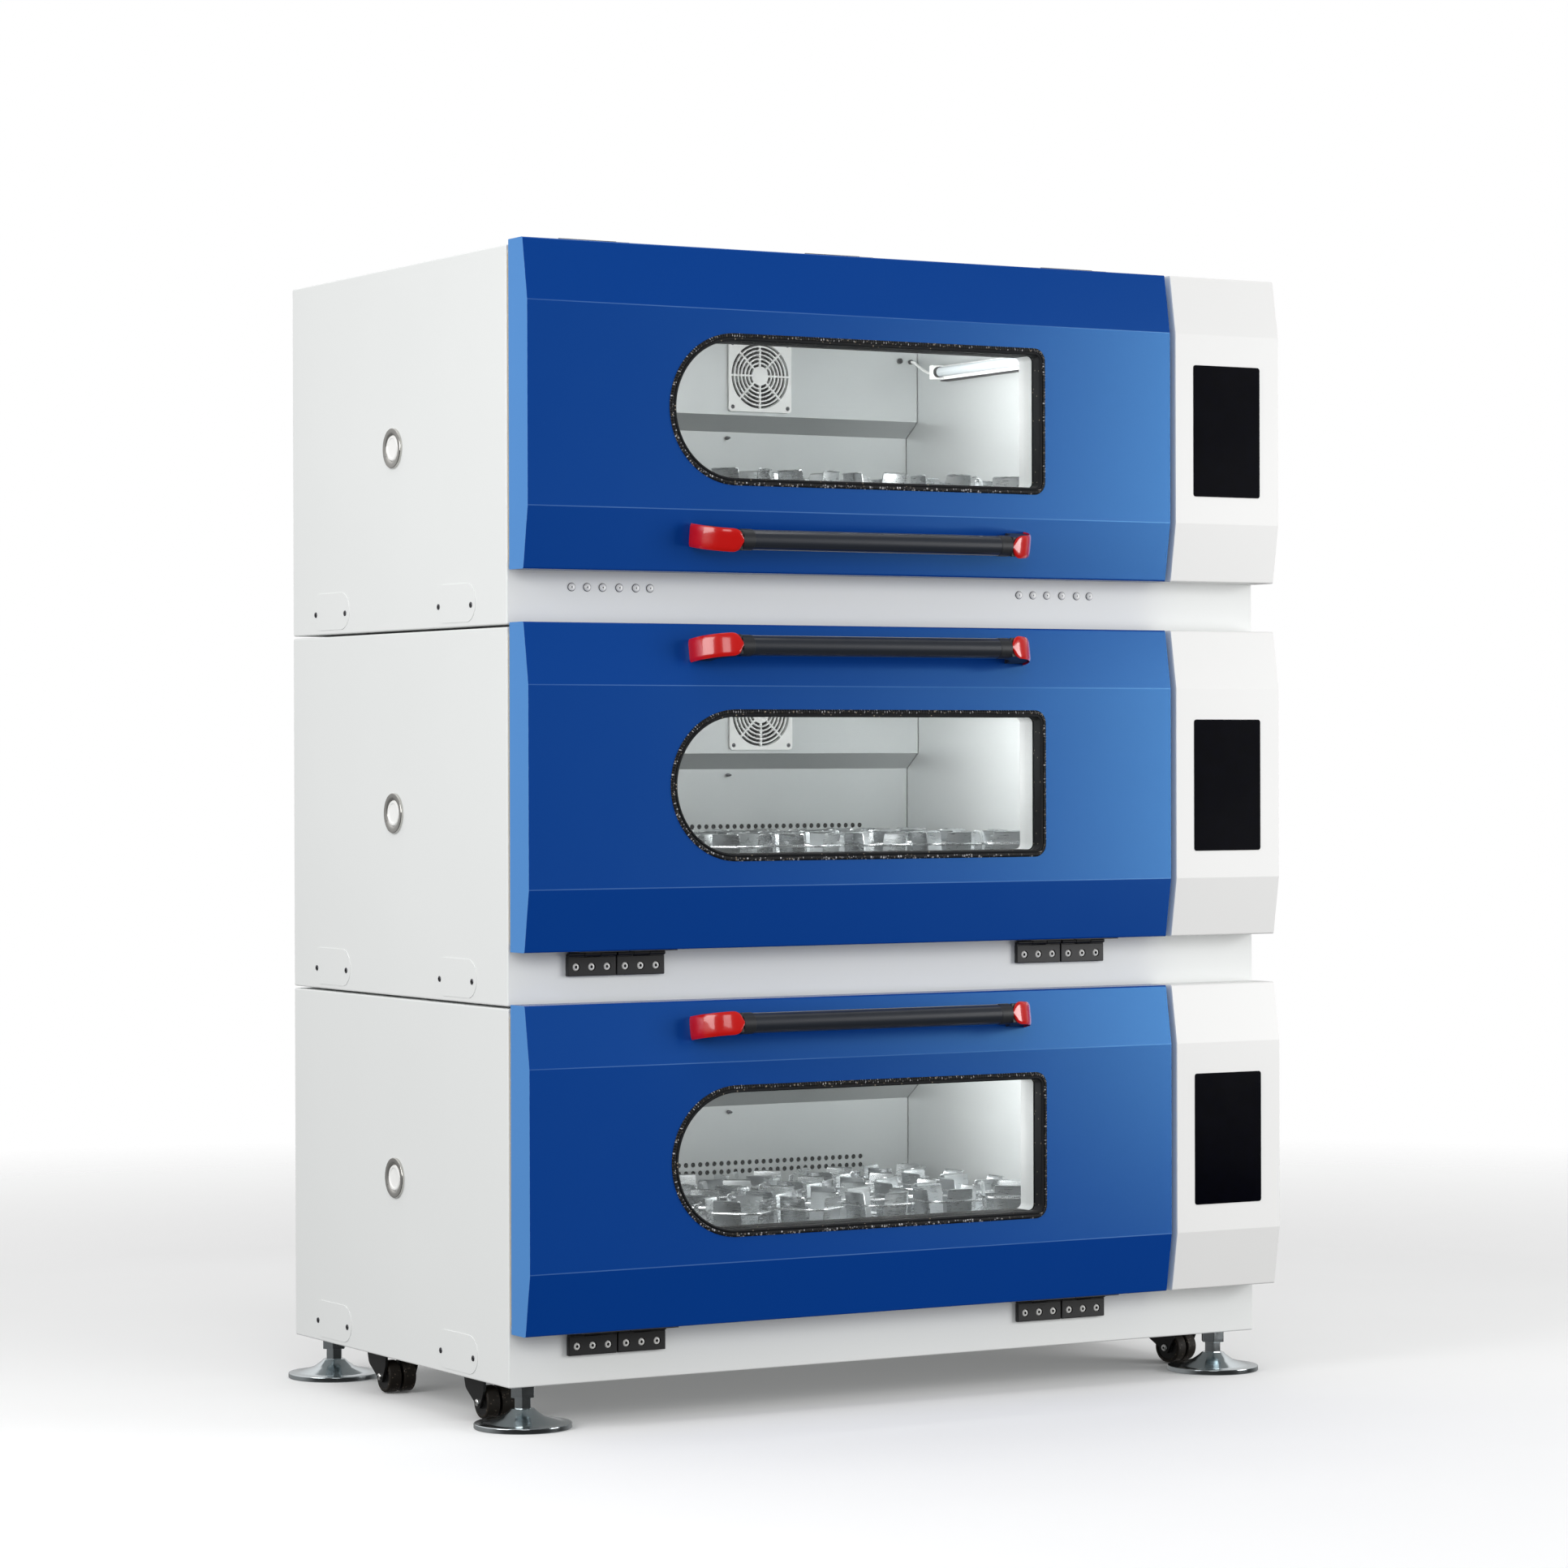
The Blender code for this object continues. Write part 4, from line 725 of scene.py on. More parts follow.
# Turns of a shape drawn about Z towards the front (-Y), the left (-X) and the right (+X)
FACING_FRONT = ONTO_XZ
FACING_LEFT = Matrix.Rotation(math.radians(-90), 4, "Y")
FACING_RIGHT = Matrix.Rotation(math.radians(90), 4, "Y")

# Room left between two pieces that meet, and between the knuckles of a hinge
CLEAR = 0.0003
KNUCKLE_CLEAR = 0.0006


def arc(centre: Point, radius: float, start: float, end: float, steps: int) -> list[Point]:
    """Points on a circle, from one angle to another in degrees."""
    angles = [math.radians(start + (end - start) * i / steps) for i in range(steps + 1)]
    return [(centre[0] + radius * math.cos(a), centre[1] + radius * math.sin(a)) for a in angles]


def rounded_rectangle(low: Point, high: Point, radius: float, steps: int = 6) -> list[Point]:
    """Rectangle with round corners.

    Args:
        low: Lower left corner.
        high: Upper right corner.
        radius: Radius of the corners.
        steps: Segments of each corner.

    Returns:
        Points in order.
    """
    corners = (
        (low[0] + radius, low[1] + radius, 180),
        (high[0] - radius, low[1] + radius, 270),
        (high[0] - radius, high[1] - radius, 0),
        (low[0] + radius, high[1] - radius, 90),
    )
    return [p for x, y, start in corners for p in arc((x, y), radius, start, start + 90, steps)]


def filleted(points: Sequence[Point], radii: Sequence[float], steps: int = 5) -> list[Point]:
    """Closed outline with each corner rounded to its own radius.

    Args:
        points: Corners in order.
        radii: Radius at each corner.
        steps: Segments of each round.

    Returns:
        The rounded outline.
    """
    outline = []
    for index, radius in enumerate(radii):
        here = Vector(points[index])
        back = (Vector(points[index - 1]) - here).normalized()
        ahead = (Vector(points[(index + 1) % len(points)]) - here).normalized()
        half = back.angle(ahead) / 2
        reach = radius / math.tan(half)
        centre = here + (back + ahead).normalized() * (radius / math.sin(half))
        start, end = here + back * reach - centre, here + ahead * reach - centre
        turn = math.atan2(start.x * end.y - start.y * end.x, start.dot(end))
        for step in range(steps + 1):
            angle = turn * step / steps
            spun = Matrix.Rotation(angle, 2) @ start
            outline.append((centre.x + spun.x, centre.y + spun.y))
    return outline


def closed_up(shape: Solid) -> Solid:
    """Shape with its faces turned outwards."""
    bmesh.ops.recalc_face_normals(shape, faces=shape.faces)
    return shape


def moved(shape: Solid, matrix: Matrix) -> Solid:
    """Shape carried to another place."""
    bmesh.ops.transform(shape, matrix=matrix, verts=shape.verts)
    return shape


def painted(shape: Solid, index: int) -> Solid:
    """Shape whose faces' finishes all move on by a number of slots.

    Args:
        shape: Shape to change.
        index: Number of slots.

    Returns:
        The same shape.
    """
    for face in shape.faces:
        face.material_index += index
    return shape


def softened(shape: Solid, width: float, steps: int = 2, angle: float = 35.0) -> Solid:
    """Shape with the edges sharper than an angle rounded off.

    Args:
        shape: Shape to change.
        width: Width of the rounding.
        steps: Segments of each rounding.
        angle: Least angle between the faces of an edge, in degrees.

    Returns:
        The same shape.
    """
    limit = math.radians(angle)
    edges = [e for e in shape.edges if len(e.link_faces) == 2 and e.calc_face_angle(0.0) > limit]
    bmesh.ops.bevel(
        shape, geom=edges, offset=width, segments=steps, profile=0.5, affect="EDGES", clamp_overlap=True
    )
    return shape


def block(low: Sequence[float], high: Sequence[float], edge: float = 0.0, steps: int = 2) -> Solid:
    """Box between two corners, its edges rounded if an edge width is given.

    Args:
        low: Lowest corner.
        high: Highest corner.
        edge: Width of the rounding.
        steps: Segments of the rounding.

    Returns:
        The box.
    """
    low, high = Vector(low), Vector(high)
    shape = bmesh.new()
    bmesh.ops.create_cube(shape, size=1.0)
    moved(shape, Matrix.Translation((low + high) / 2) @ Matrix.Diagonal((*(high - low), 1.0)))
    return softened(shape, edge, steps) if edge else shape


def bridge(shape: Solid, first: Sequence[Vertex], second: Sequence[Vertex]) -> None:
    """Faces between two rings of points, either of which may be a single point.

    Args:
        shape: Shape that takes the faces.
        first: Points of one ring.
        second: Points of the other ring.
    """
    count = max(len(first), len(second))
    for i in range(count):
        j = (i + 1) % count
        corners = (first[i % len(first)], first[j % len(first)], second[j % len(second)])
        shape.faces.new(list(dict.fromkeys((*corners, second[i % len(second)]))))


def lathe(profile: Sequence[Point], segments: int = 48, closed: bool = False) -> Solid:
    """Profile of (radius, height) turned about Z.

    Args:
        profile: Points of the profile; a radius of nought is a point on the axis.
        segments: Steps round the axis.
        closed: Whether the last point joins the first.

    Returns:
        The turned shape.
    """
    shape = bmesh.new()
    rings = []
    for radius, height in profile:
        steps = segments if radius > 1e-7 else 1
        angles = [2 * math.pi * i / steps for i in range(steps)]
        rings.append([shape.verts.new((radius * math.cos(a), radius * math.sin(a), height)) for a in angles])
    for first, second in zip(rings, rings[1:] + rings[:1] if closed else rings[1:]):
        bridge(shape, first, second)
    return closed_up(shape)


def rod(
    start: Sequence[float], end: Sequence[float], radius: float, edge: float = 0.0, segments: int = 32
) -> Solid:
    """Cylinder between two points, its rims rounded if an edge width is given.

    Args:
        start: Centre of one end.
        end: Centre of the other end.
        radius: Radius all along.
        edge: Rounding of both rims.
        segments: Steps round the axis.

    Returns:
        The rod.
    """
    start, end = Vector(start), Vector(end)
    length = (end - start).length
    if edge:
        low = [(radius - edge + x, edge + y) for x, y in arc((0, 0), edge, -90, 0, 3)]
        high = [(radius - edge + x, length - edge + y) for x, y in arc((0, 0), edge, 0, 90, 3)]
    else:
        low, high = [(radius, 0.0)], [(radius, length)]
    shape = lathe([(0.0, 0.0), *low, *high, (0.0, length)], segments)
    turn = Vector((0, 0, 1)).rotation_difference(end - start).to_matrix().to_4x4()
    return moved(shape, Matrix.Translation(start) @ turn)


def loft(rings: Sequence[Sequence[Vector]], closed: bool = False) -> Solid:
    """Skin over rings of points, capped at the ends or joined into a loop.

    Args:
        rings: Rings with the same number of points.
        closed: Whether the last ring joins the first.

    Returns:
        The skin, its faces in the order of the rings and of the points in them.
    """
    shape = bmesh.new()
    made = [[shape.verts.new(p) for p in ring] for ring in rings]
    for first, second in zip(made, made[1:] + made[:1] if closed else made[1:]):
        bridge(shape, first, second)
    if not closed:
        shape.faces.new(made[0])
        shape.faces.new(made[-1])
    return closed_up(shape)


def tube(points: Sequence[Vector], radius: float, sides: int = 8, closed: bool = False) -> Solid:
    """Round tube along a flat or gently bent line of points.

    Args:
        points: Points of the line.
        radius: Radius of the tube.
        sides: Sides of its section.
        closed: Whether the last point joins the first.

    Returns:
        The tube.
    """
    count = len(points)
    rings = []
    side = None
    for i, point in enumerate(points):
        back = points[i - 1] if closed or i else point
        ahead = points[(i + 1) % count] if closed or i < count - 1 else point
        along = (ahead - back).normalized()
        if side is None:
            side = along.orthogonal().normalized()
        side = (side - along * side.dot(along)).normalized()
        up = along.cross(side)
        angles = [2 * math.pi * k / sides for k in range(sides)]
        rings.append([point + (side * math.cos(a) + up * math.sin(a)) * radius for a in angles])
    return loft(rings, closed)


def sheet(loops: Loops, thickness: float, place: Matrix = Matrix()) -> Solid:
    """Flat outline, with any further loops as holes, extruded to a thickness.

    Args:
        loops: The outline, then its holes, in XY.
        thickness: Height of the sheet above z = 0.
        place: Where the sheet then goes.

    Returns:
        The sheet.
    """
    curve = bpy.data.curves.new("outline", "CURVE")
    curve.dimensions = "2D"
    curve.fill_mode = "BOTH"
    curve.extrude = thickness / 2
    for loop in loops:
        spline = curve.splines.new("POLY")
        spline.points.add(len(loop) - 1)
        for point, (x, y) in zip(spline.points, loop):
            point.co = (x, y, 0.0, 1.0)
        spline.use_cyclic_u = True
    drawing = bpy.data.objects.new("outline", curve)
    bpy.context.scene.collection.objects.link(drawing)
    shape = evaluated(drawing)
    bpy.data.objects.remove(drawing)
    bpy.data.curves.remove(curve)
    bmesh.ops.remove_doubles(shape, verts=shape.verts, dist=1e-7)
    moved(shape, place @ Matrix.Translation((0, 0, thickness / 2)))
    return closed_up(shape)


def evaluated(thing: bpy.types.Object) -> Solid:
    """Shape of an object with its modifiers applied.

    Args:
        thing: Object to read.

    Returns:
        Its final shape.
    """
    bpy.context.view_layer.update()
    graph = bpy.context.evaluated_depsgraph_get()
    mesh = bpy.data.meshes.new_from_object(thing.evaluated_get(graph))
    shape = bmesh.new()
    shape.from_mesh(mesh)
    bpy.data.meshes.remove(mesh)
    return shape


def held(shape: Solid, name: str) -> bpy.types.Object:
    """Shape put into an object, and freed.

    Args:
        shape: Shape to hold.
        name: Name of the mesh and object.

    Returns:
        The object.
    """
    mesh = bpy.data.meshes.new(name)
    shape.to_mesh(mesh)
    shape.free()
    thing = bpy.data.objects.new(name, mesh)
    bpy.context.scene.collection.objects.link(thing)
    return thing


def carved(target: Solid, *tools: Solid) -> Solid:
    """Shape with other shapes cut out of it.

    Args:
        target: Shape to cut.
        tools: Shapes that are taken away from it.

    Returns:
        The cut shape.
    """
    thing = held(target, "target")
    cutters = [held(tool, "tool") for tool in tools]
    for cutter in cutters:
        cut = thing.modifiers.new("cut", "BOOLEAN")
        cut.operation = "DIFFERENCE"
        cut.object = cutter
    shape = evaluated(thing)
    for used in (thing, *cutters):
        mesh = used.data
        bpy.data.objects.remove(used)
        bpy.data.meshes.remove(mesh)
    return shape


def merged(*shapes: Solid) -> Solid:
    """Several shapes held in one.

    Args:
        shapes: Shapes, used up here.

    Returns:
        The one shape.
    """
    together = bmesh.new()
    for shape in shapes:
        mesh = bpy.data.meshes.new("merge")
        shape.to_mesh(mesh)
        shape.free()
        together.from_mesh(mesh)
        bpy.data.meshes.remove(mesh)
    return together


def mirrored(shape: Solid) -> Solid:
    """Mirror image across x = 0, leaving only the image.

    Args:
        shape: Shape to change.

    Returns:
        The same shape.
    """
    moved(shape, Matrix.Scale(-1, 4, (1, 0, 0)))
    bmesh.ops.reverse_faces(shape, faces=shape.faces)
    return shape


def upright(loops: Loops, thickness: float, back: float) -> Solid:
    """Sheet drawn in XZ, its thickness going from a depth towards the front."""
    return sheet(loops, thickness, Matrix.Translation((0, back, 0)) @ ONTO_XZ)


def sideways(loops: Loops, thickness: float, left: float) -> Solid:
    """Sheet drawn in YZ, its thickness going from a left face towards the right."""
    return sheet(loops, thickness, Matrix.Translation((left, 0, 0)) @ ONTO_YZ)


def turned(shape: Solid, degrees: float, axis: str) -> Solid:
    """Shape turned about one axis."""
    return moved(shape, Matrix.Rotation(math.radians(degrees), 4, axis))


def socket_screw(radius: float, height: float, socket: float) -> Solid:
    """Round-headed socket screw about Z; its socket holds a dark hexagon of painted shade, which takes the
    second finish.

    Args:
        radius: Radius of the head.
        height: Height of the head.
        socket: Radius of the socket.

    Returns:
        The screw's head.
    """
    dome = [(radius * math.cos(a), height * (0.45 + 0.55 * math.sin(a))) for a in (0.0, 0.4, 0.8, 1.1)]
    rim, base = height * 0.97, height * 0.3
    head = lathe([(0.0, 0.0), (radius, 0.0), *dome, (socket, rim), (socket, base), (0.0, base)], 20)
    return merged(head, painted(rod((0, 0, base), (0, 0, height * 0.55), socket * 0.98, segments=6), 1))


def screws_at(places: Sequence[Sequence[float]], facing: Matrix, *size: float) -> Solid:
    """Socket screws of one size at several places, all facing one way."""
    return merged(*[moved(socket_screw(*size), Matrix.Translation(place) @ facing) for place in places])


def stood_on(low: Vector, high: Vector, height: float) -> Vector:
    """Point at a height over the middle of a box in plan."""
    return Vector(((low.x + high.x) / 2, (low.y + high.y) / 2, height))


@dataclass(frozen=True)
class Unit:
    """One incubator of the stack."""

    name: str
    level: int
    origin: Vector
    swing: Swing


class Workshop:
    """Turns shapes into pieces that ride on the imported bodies."""

    def __init__(self) -> None:
        """Start with no meshes and no pieces."""
        self.meshes: dict[str, bpy.types.Mesh] = {}
        self.count = 0

    def mesh(
        self, kind: str, draw: Draw, finishes: Sequence[Finish], angle: float
    ) -> bpy.types.Mesh:
        """Mesh of a kind of piece, built on first use.

        Args:
            kind: Name of the kind.
            draw: Builds its shape.
            finishes: Finish of each of its material slots.
            angle: Edges sharper than this stay sharp, in degrees.

        Returns:
            The mesh.
        """
        if kind not in self.meshes:
            mesh = bpy.data.meshes.new(kind)
            shape = draw()
            shape.to_mesh(mesh)
            shape.free()
            for finish in finishes:
                mesh.materials.append(finish.material())
            mesh.shade_smooth()
            mesh.set_sharp_from_angle(angle=math.radians(angle))
            self.meshes[kind] = mesh
        return self.meshes[kind]

    def place(
        self, name: str, draw: Draw, finishes: Sequence[Finish], body: str,
        at: Vector | Matrix, kind: str, replaces: Sequence[str] = (), angle: float = 35.0,
    ) -> None:
        """Put a mesh in place as a piece of the part.

        Args:
            name: Name of the piece.
            draw: Builds its shape.
            finishes: Finish of each of its material slots.
            body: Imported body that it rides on.
            at: Where it stands, a point or a full placement.
            kind: Name of its kind; pieces of one kind share a mesh.
            replaces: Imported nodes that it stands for.
            angle: Edges sharper than this stay sharp, in degrees.
        """
        mesh = self.mesh(kind, draw, finishes, angle)
        piece = bpy.data.objects.new(name, mesh)
        bpy.context.scene.collection.objects.link(piece)
        piece.matrix_world = at if isinstance(at, Matrix) else Matrix.Translation(at)
        piece.modifiers.new("flat faces", "WEIGHTED_NORMAL").keep_sharp = True
        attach(piece, body)
        if replaces:
            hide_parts(*replaces)
        self.count += 1
        LOG.info("%s rides on %s, %d faces", name, body, len(mesh.polygons))

    def fit(
        self, unit: Unit, tag: str, draw: Draw, *finishes: Finish,
        replaces: str = "", part: str = "", kind: str = "", angle: float = 35.0,
    ) -> None:
        """Put a piece in place in one unit, drawn in the unit's own frame.

        Args:
            unit: Unit that it belongs to.
            tag: Name of the piece within the unit.
            draw: Builds its shape.
            finishes: Finish of each of its material slots.
            replaces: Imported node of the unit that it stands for.
            part: Moving body of the unit that it rides on, if any.
            kind: Name of its kind, if that isn't the tag.
            angle: Edges sharper than this stay sharp, in degrees.
        """
        nodes = [f"{unit.name}_{replaces}"] if replaces else []
        body = f"{unit.name}_{part}" if part else "stack"
        self.place(f"{unit.name}_{tag}", draw, finishes, body, unit.origin, kind or tag, nodes, angle)

    def dress(self, node: str, finish: Finish) -> None:
        """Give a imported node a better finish.

        Args:
            node: Name of the node.
            finish: Its finish.
        """
        for slot in frame["nodes"][node].material_slots:
            slot.material = finish.material()
        LOG.info("%s keeps its solid and takes %s", node, finish.name)


@dataclass(frozen=True)
class Casing:
    """Sheet-metal cabinet with slot covers, blank screws, pads and the door's seal."""

    width: float = 1.342
    depth: float = 0.756
    height: float = 0.5565
    sheet: float = 0.002
    edge: float = 0.0025
    mouth_low: Point = (0.053, 0.1115)
    mouth_high: Point = (1.085, 0.52)
    port: Point = (0.382, 0.28)
    port_radius: float = 0.0221
    stem_inset: float = 0.0465
    stem_radius: float = 0.0083
    pad_inset: float = 0.11
    pad_radius: float = 0.028
    pad_drop: float = 0.0032
    cover_backs: Numbers = (0.17, 0.612)
    cover_up: float = 0.036
    cover_half: float = 0.069
    cover_radius: float = 0.029
    cover_rise: float = 0.0009
    screw_spread: float = 0.0545
    screw_up: float = 0.032
    cover_screw: Numbers = (0.0044, 0.0016, 0.0026)
    blank_screw: Numbers = (0.0055, 0.003, 0.0012)
    seal_low: Point = (0.0045, 0.0845)
    seal_high: Point = (1.1335, 0.552)
    seal_radius: float = 0.0026
    seal_middle: float = -0.0031
    blank_starts: Numbers = (0.107, 0.133, 0.159, 0.187, 0.215, 0.239)
    blank_shift: float = 0.788
    blank_up: float = 0.0565

    def shell(self, lowest: bool) -> Solid:
        """Hollow casing with the chamber's mouth, the port's hole and, on the lowest, the stems' holes.

        Args:
            lowest: Whether it is the lowest unit's.

        Returns:
            The casing.
        """
        s = self.sheet
        body = block((0, 0, 0), (self.width, self.depth, self.height), self.edge, 3)
        inside = block((s, s, s), (self.width - s, self.depth - s, self.height - s))
        (left, low), (right, high) = self.mouth_low, self.mouth_high
        mouth = block((left, -s, low), (right, 2 * s, high))
        tools = [inside, mouth, rod((-s, *self.port), (2 * s, *self.port), self.port_radius)]
        if lowest:
            stems = self.plan(self.stem_inset)
            tools += [rod((x, y, -s), (x, y, 2 * s), self.stem_radius) for x, y in stems]
        return carved(body, *tools)

    def plan(self, inset: float) -> list[Point]:
        """Four places in plan, set in from the sides."""
        return [(x, y) for x in (inset, self.width - inset) for y in (inset, self.depth - inset)]

    def covers(self) -> Solid:
        """Obround covers over the two transport slots at the left side.

        Returns:
            Both covers.
        """
        shapes = []
        for y in self.cover_backs:
            low = (y - self.cover_half, self.cover_up - self.cover_radius)
            high = (y + self.cover_half, self.cover_up + self.cover_radius)
            outline = rounded_rectangle(low, high, self.cover_radius - 0.0001, 14)
            shapes.append(softened(sideways([outline], self.cover_rise, -self.cover_rise), 0.0005))
        return merged(*shapes)

    def cover_screws(self) -> Solid:
        """Two screws in each slot cover.

        Returns:
            The screws.
        """
        backs = [y + shift for y in self.cover_backs for shift in (-self.screw_spread, self.screw_spread)]
        places = [(-self.cover_rise, y, self.screw_up) for y in backs]
        return screws_at(places, FACING_LEFT, *self.cover_screw)

    def blanks(self) -> Solid:
        """Twelve blanking screws where hinges would go on the sill, each on a thin dark ring of painted
        shadow.

        Returns:
            The screws.
        """
        shapes = []
        for x in [start + shift for start in self.blank_starts for shift in (0.0, self.blank_shift)]:
            at = Matrix.Translation((x, 0, self.blank_up)) @ FACING_FRONT
            # Thin dark ring round each head: painted shadow.
            shadow_ring = painted(rod((0, 0, 0), (0, 0, 0.0006), 0.0064, 0.0002, 28), 1)
            shapes.append(moved(merged(shadow_ring, socket_screw(*self.blank_screw)), at))
        return merged(*shapes)

    def pads(self) -> Solid:
        """Rubber pads on which the unit stands on the one below."""
        low, high, radius = -self.pad_drop, 0.0005, self.pad_radius
        return merged(*[rod((*p, low), (*p, high), radius, 0.0008) for p in self.plan(self.pad_inset)])

    def seal(self) -> Solid:
        """Bulb seal along the edges of the door's back, squeezed by it."""
        line = rounded_rectangle(self.seal_low, self.seal_high, 0.012, 8)
        return tube([Vector((x, self.seal_middle, z)) for x, z in line], self.seal_radius, 12, True)

    def build(self, shop: Workshop, unit: Unit) -> None:
        """Casing, covers, screws, pads and seal of one unit.

        Args:
            shop: Makes the pieces.
            unit: Unit that they belong to.
        """
        lowest = unit.level == 0
        kind = "casing_lowest" if lowest else "casing_stacked"
        shop.fit(unit, "casing", lambda: self.shell(lowest), CABINET_PAINT, replaces="cabinet", kind=kind)
        shop.fit(unit, "slot_covers", self.covers, CABINET_PAINT)
        shop.fit(unit, "cover_screws", self.cover_screws, BLUED_STEEL, HOLE_SHADE)
        shop.fit(unit, "door_seal", self.seal, SEAL_RUBBER)
        if not lowest:
            shop.fit(unit, "stacking_pads", self.pads, PAD_RUBBER)
        if unit.swing is Swing.UP:
            shop.fit(unit, "sill_blanks", self.blanks, SCREW_BRIGHT, BLUED_STEEL)


@dataclass(frozen=True)
class Chamber:
    """Stainless liner with the sloping duct, air holes, lamp and sensor."""

    left: float = 0.053
    right: float = 1.085
    floor: float = 0.1115
    top: float = 0.52
    depth: float = 0.64
    sheet: float = 0.0015
    duct: float = 0.604
    crease: float = 0.371
    slope_foot: float = 0.345
    lip: float = 0.01
    fan: Point = (0.775, 0.437)
    fan_radius: float = 0.0535
    drive: Point = (0.569, 0.3)
    drive_radius: float = 0.046
    port: Point = (0.382, 0.28)
    port_radius: float = 0.0221
    hole_radius: float = 0.00425
    hole_pitch: float = 0.0135
    hole_rows: Numbers = (0.2355, 0.2495)
    hole_first: float = 0.153
    hole_last: float = 0.994
    seam: float = 0.0012
    lamp_start: float = 0.13
    lamp_length: float = 0.38
    lamp_up: float = 0.447
    lamp_radius: float = 0.008
    lamp_out: float = 0.026
    sensor_at: Point = (0.733, 0.335)

    def liner(self) -> Solid:
        """Folded sheets of the liner, the rear ones with their holes, and a dark strip of painted shade
        behind the holes.

        Returns:
            The liner.
        """
        s, lo, hi, deep, foot = self.sheet, self.left, self.right, self.depth, self.slope_foot
        edge = hi - self.seam
        count = round((self.hole_last - self.hole_first) / self.hole_pitch) + 1
        spots = [(self.hole_first + i * self.hole_pitch, z) for z in self.hole_rows for i in range(count)]
        holes = [arc(spot, self.hole_radius, 0, 330, 11) for spot in spots]
        back = [(lo, self.floor), (edge, self.floor), (edge, foot), (lo, foot)]
        face = [(lo, self.crease), (edge, self.crease), (edge, self.top), (lo, self.top)]
        bend = [(deep, foot), (self.duct, self.crease)]
        slope = [bend[0], (deep + s, foot), (self.duct + s, self.crease), bend[1]]
        side = [(0, self.floor), (deep, self.floor), *bend, (self.duct, self.top), (0, self.top)]
        bores = [(self.fan, self.fan_radius), (self.port, self.port_radius), (self.drive, self.drive_radius)]
        fan, port, drive = (arc(spot, radius, 0, 350, 35) for spot, radius in bores)
        base = [(lo - s, 0), (hi + s, 0), (hi + s, deep + s), (lo - s, deep + s)]
        # Dark strip just behind the rear holes: painted shade of the duct behind them.
        low = (self.hole_first - 0.01, deep + s + 0.0005, self.hole_rows[0] - 0.008)
        high = (self.hole_last + 0.01, deep + s + 0.0015, self.hole_rows[-1] + 0.008)
        return merged(
            upright([back, *holes], s, deep + s),
            upright([face, fan], s, self.duct + s),
            painted(block(low, high), 1),
            sideways([slope], hi - lo - self.seam, lo),
            sideways([side, port], s, lo - s),
            sideways([side], s, hi),
            sheet([base, drive], s, Matrix.Translation((0, 0, self.floor - s))),
            block((lo - s, 0, self.top), (hi + s, self.duct + s, self.top + s)),
            self.mouth_frame(),
        )

    def mouth_frame(self) -> Solid:
        """Turned-out lip of the liner on the cabinet's front.

        Returns:
            The lip.
        """
        lip = self.lip
        low, high = (self.left - lip, self.floor - lip), (self.right + lip, self.top + lip)
        inner = rounded_rectangle((self.left, self.floor), (self.right, self.top), 0.002)
        return upright([rounded_rectangle(low, high, 0.006), inner], 0.0004, -0.0001)

    def lamp_channel(self) -> Solid:
        """Lamp's channel with a holder at each end, a dark ring on the nearer tube end.

        Returns:
            Channel, holders, ring and strip.
        """
        start, end, up = self.lamp_start, self.lamp_start + self.lamp_length, self.lamp_up
        axis, half, holder = self.right - self.lamp_out, 0.012, 0.012
        shapes = [block((self.right - 0.014, start, up - half), (self.right, end, up + half), 0.002)]
        for low in (start, end - holder):
            shapes.append(block((axis - 0.01, low, up - half), (self.right, low + holder, up + half), 0.002))
        ring = rod((axis, end - 0.02, up), (axis, end - holder, up), self.lamp_radius + 0.001)
        low = up - 0.014
        strip = block(
            (self.right - 0.0146, start + 0.002, low), (self.right, end - 0.002, low + 0.0022), 0.0004
        )
        return merged(*shapes, painted(ring, 1), painted(strip, 1))

    def lamp_tube(self) -> Solid:
        """Glowing tube between the holders.

        Returns:
            The tube.
        """
        axis = self.right - self.lamp_out
        start, end = self.lamp_start + 0.011, self.lamp_start + self.lamp_length - 0.011
        return rod((axis, start, self.lamp_up), (axis, end, self.lamp_up), self.lamp_radius, 0.002, 28)

    def lead(self) -> Solid:
        """Short lamp lead from its gland on the duct to the lamp's end, with the clip beside it.

        Returns:
            Gland, clip and lead.
        """
        y = self.duct
        gland = rod((1.07, y, 0.472), (1.07, y - 0.006, 0.472), 0.004, 0.001, 16)
        clip = rod((1.049, y, 0.473), (1.049, y - 0.005, 0.473), 0.0045, 0.001, 16)
        axis = self.right - self.lamp_out
        route = (
            (1.07, 0.005, 0.472), (1.07, 0.014, 0.47), (1.071, 0.026, 0.463), (1.07, 0.044, 0.455),
            (1.066, 0.064, 0.449), (axis + 0.002, 0.083, self.lamp_up), (axis, 0.097, self.lamp_up),
        )
        line = [Vector((x, y - out, z)) for x, out, z in route]
        return merged(gland, clip, painted(tube(line, 0.0022, 10), 1))

    def sensor(self) -> Solid:
        """Temperature sensor that stands out of the rear wall.

        Returns:
            The sensor.
        """
        (x, z), y = self.sensor_at, self.depth
        tip = rod((x, y, z), (x, y - 0.012, z), 0.0018, 0.0005, 16)
        return merged(tip, rod((x, y, z), (x, y - 0.006, z), 0.0034, 0.0008, 6))

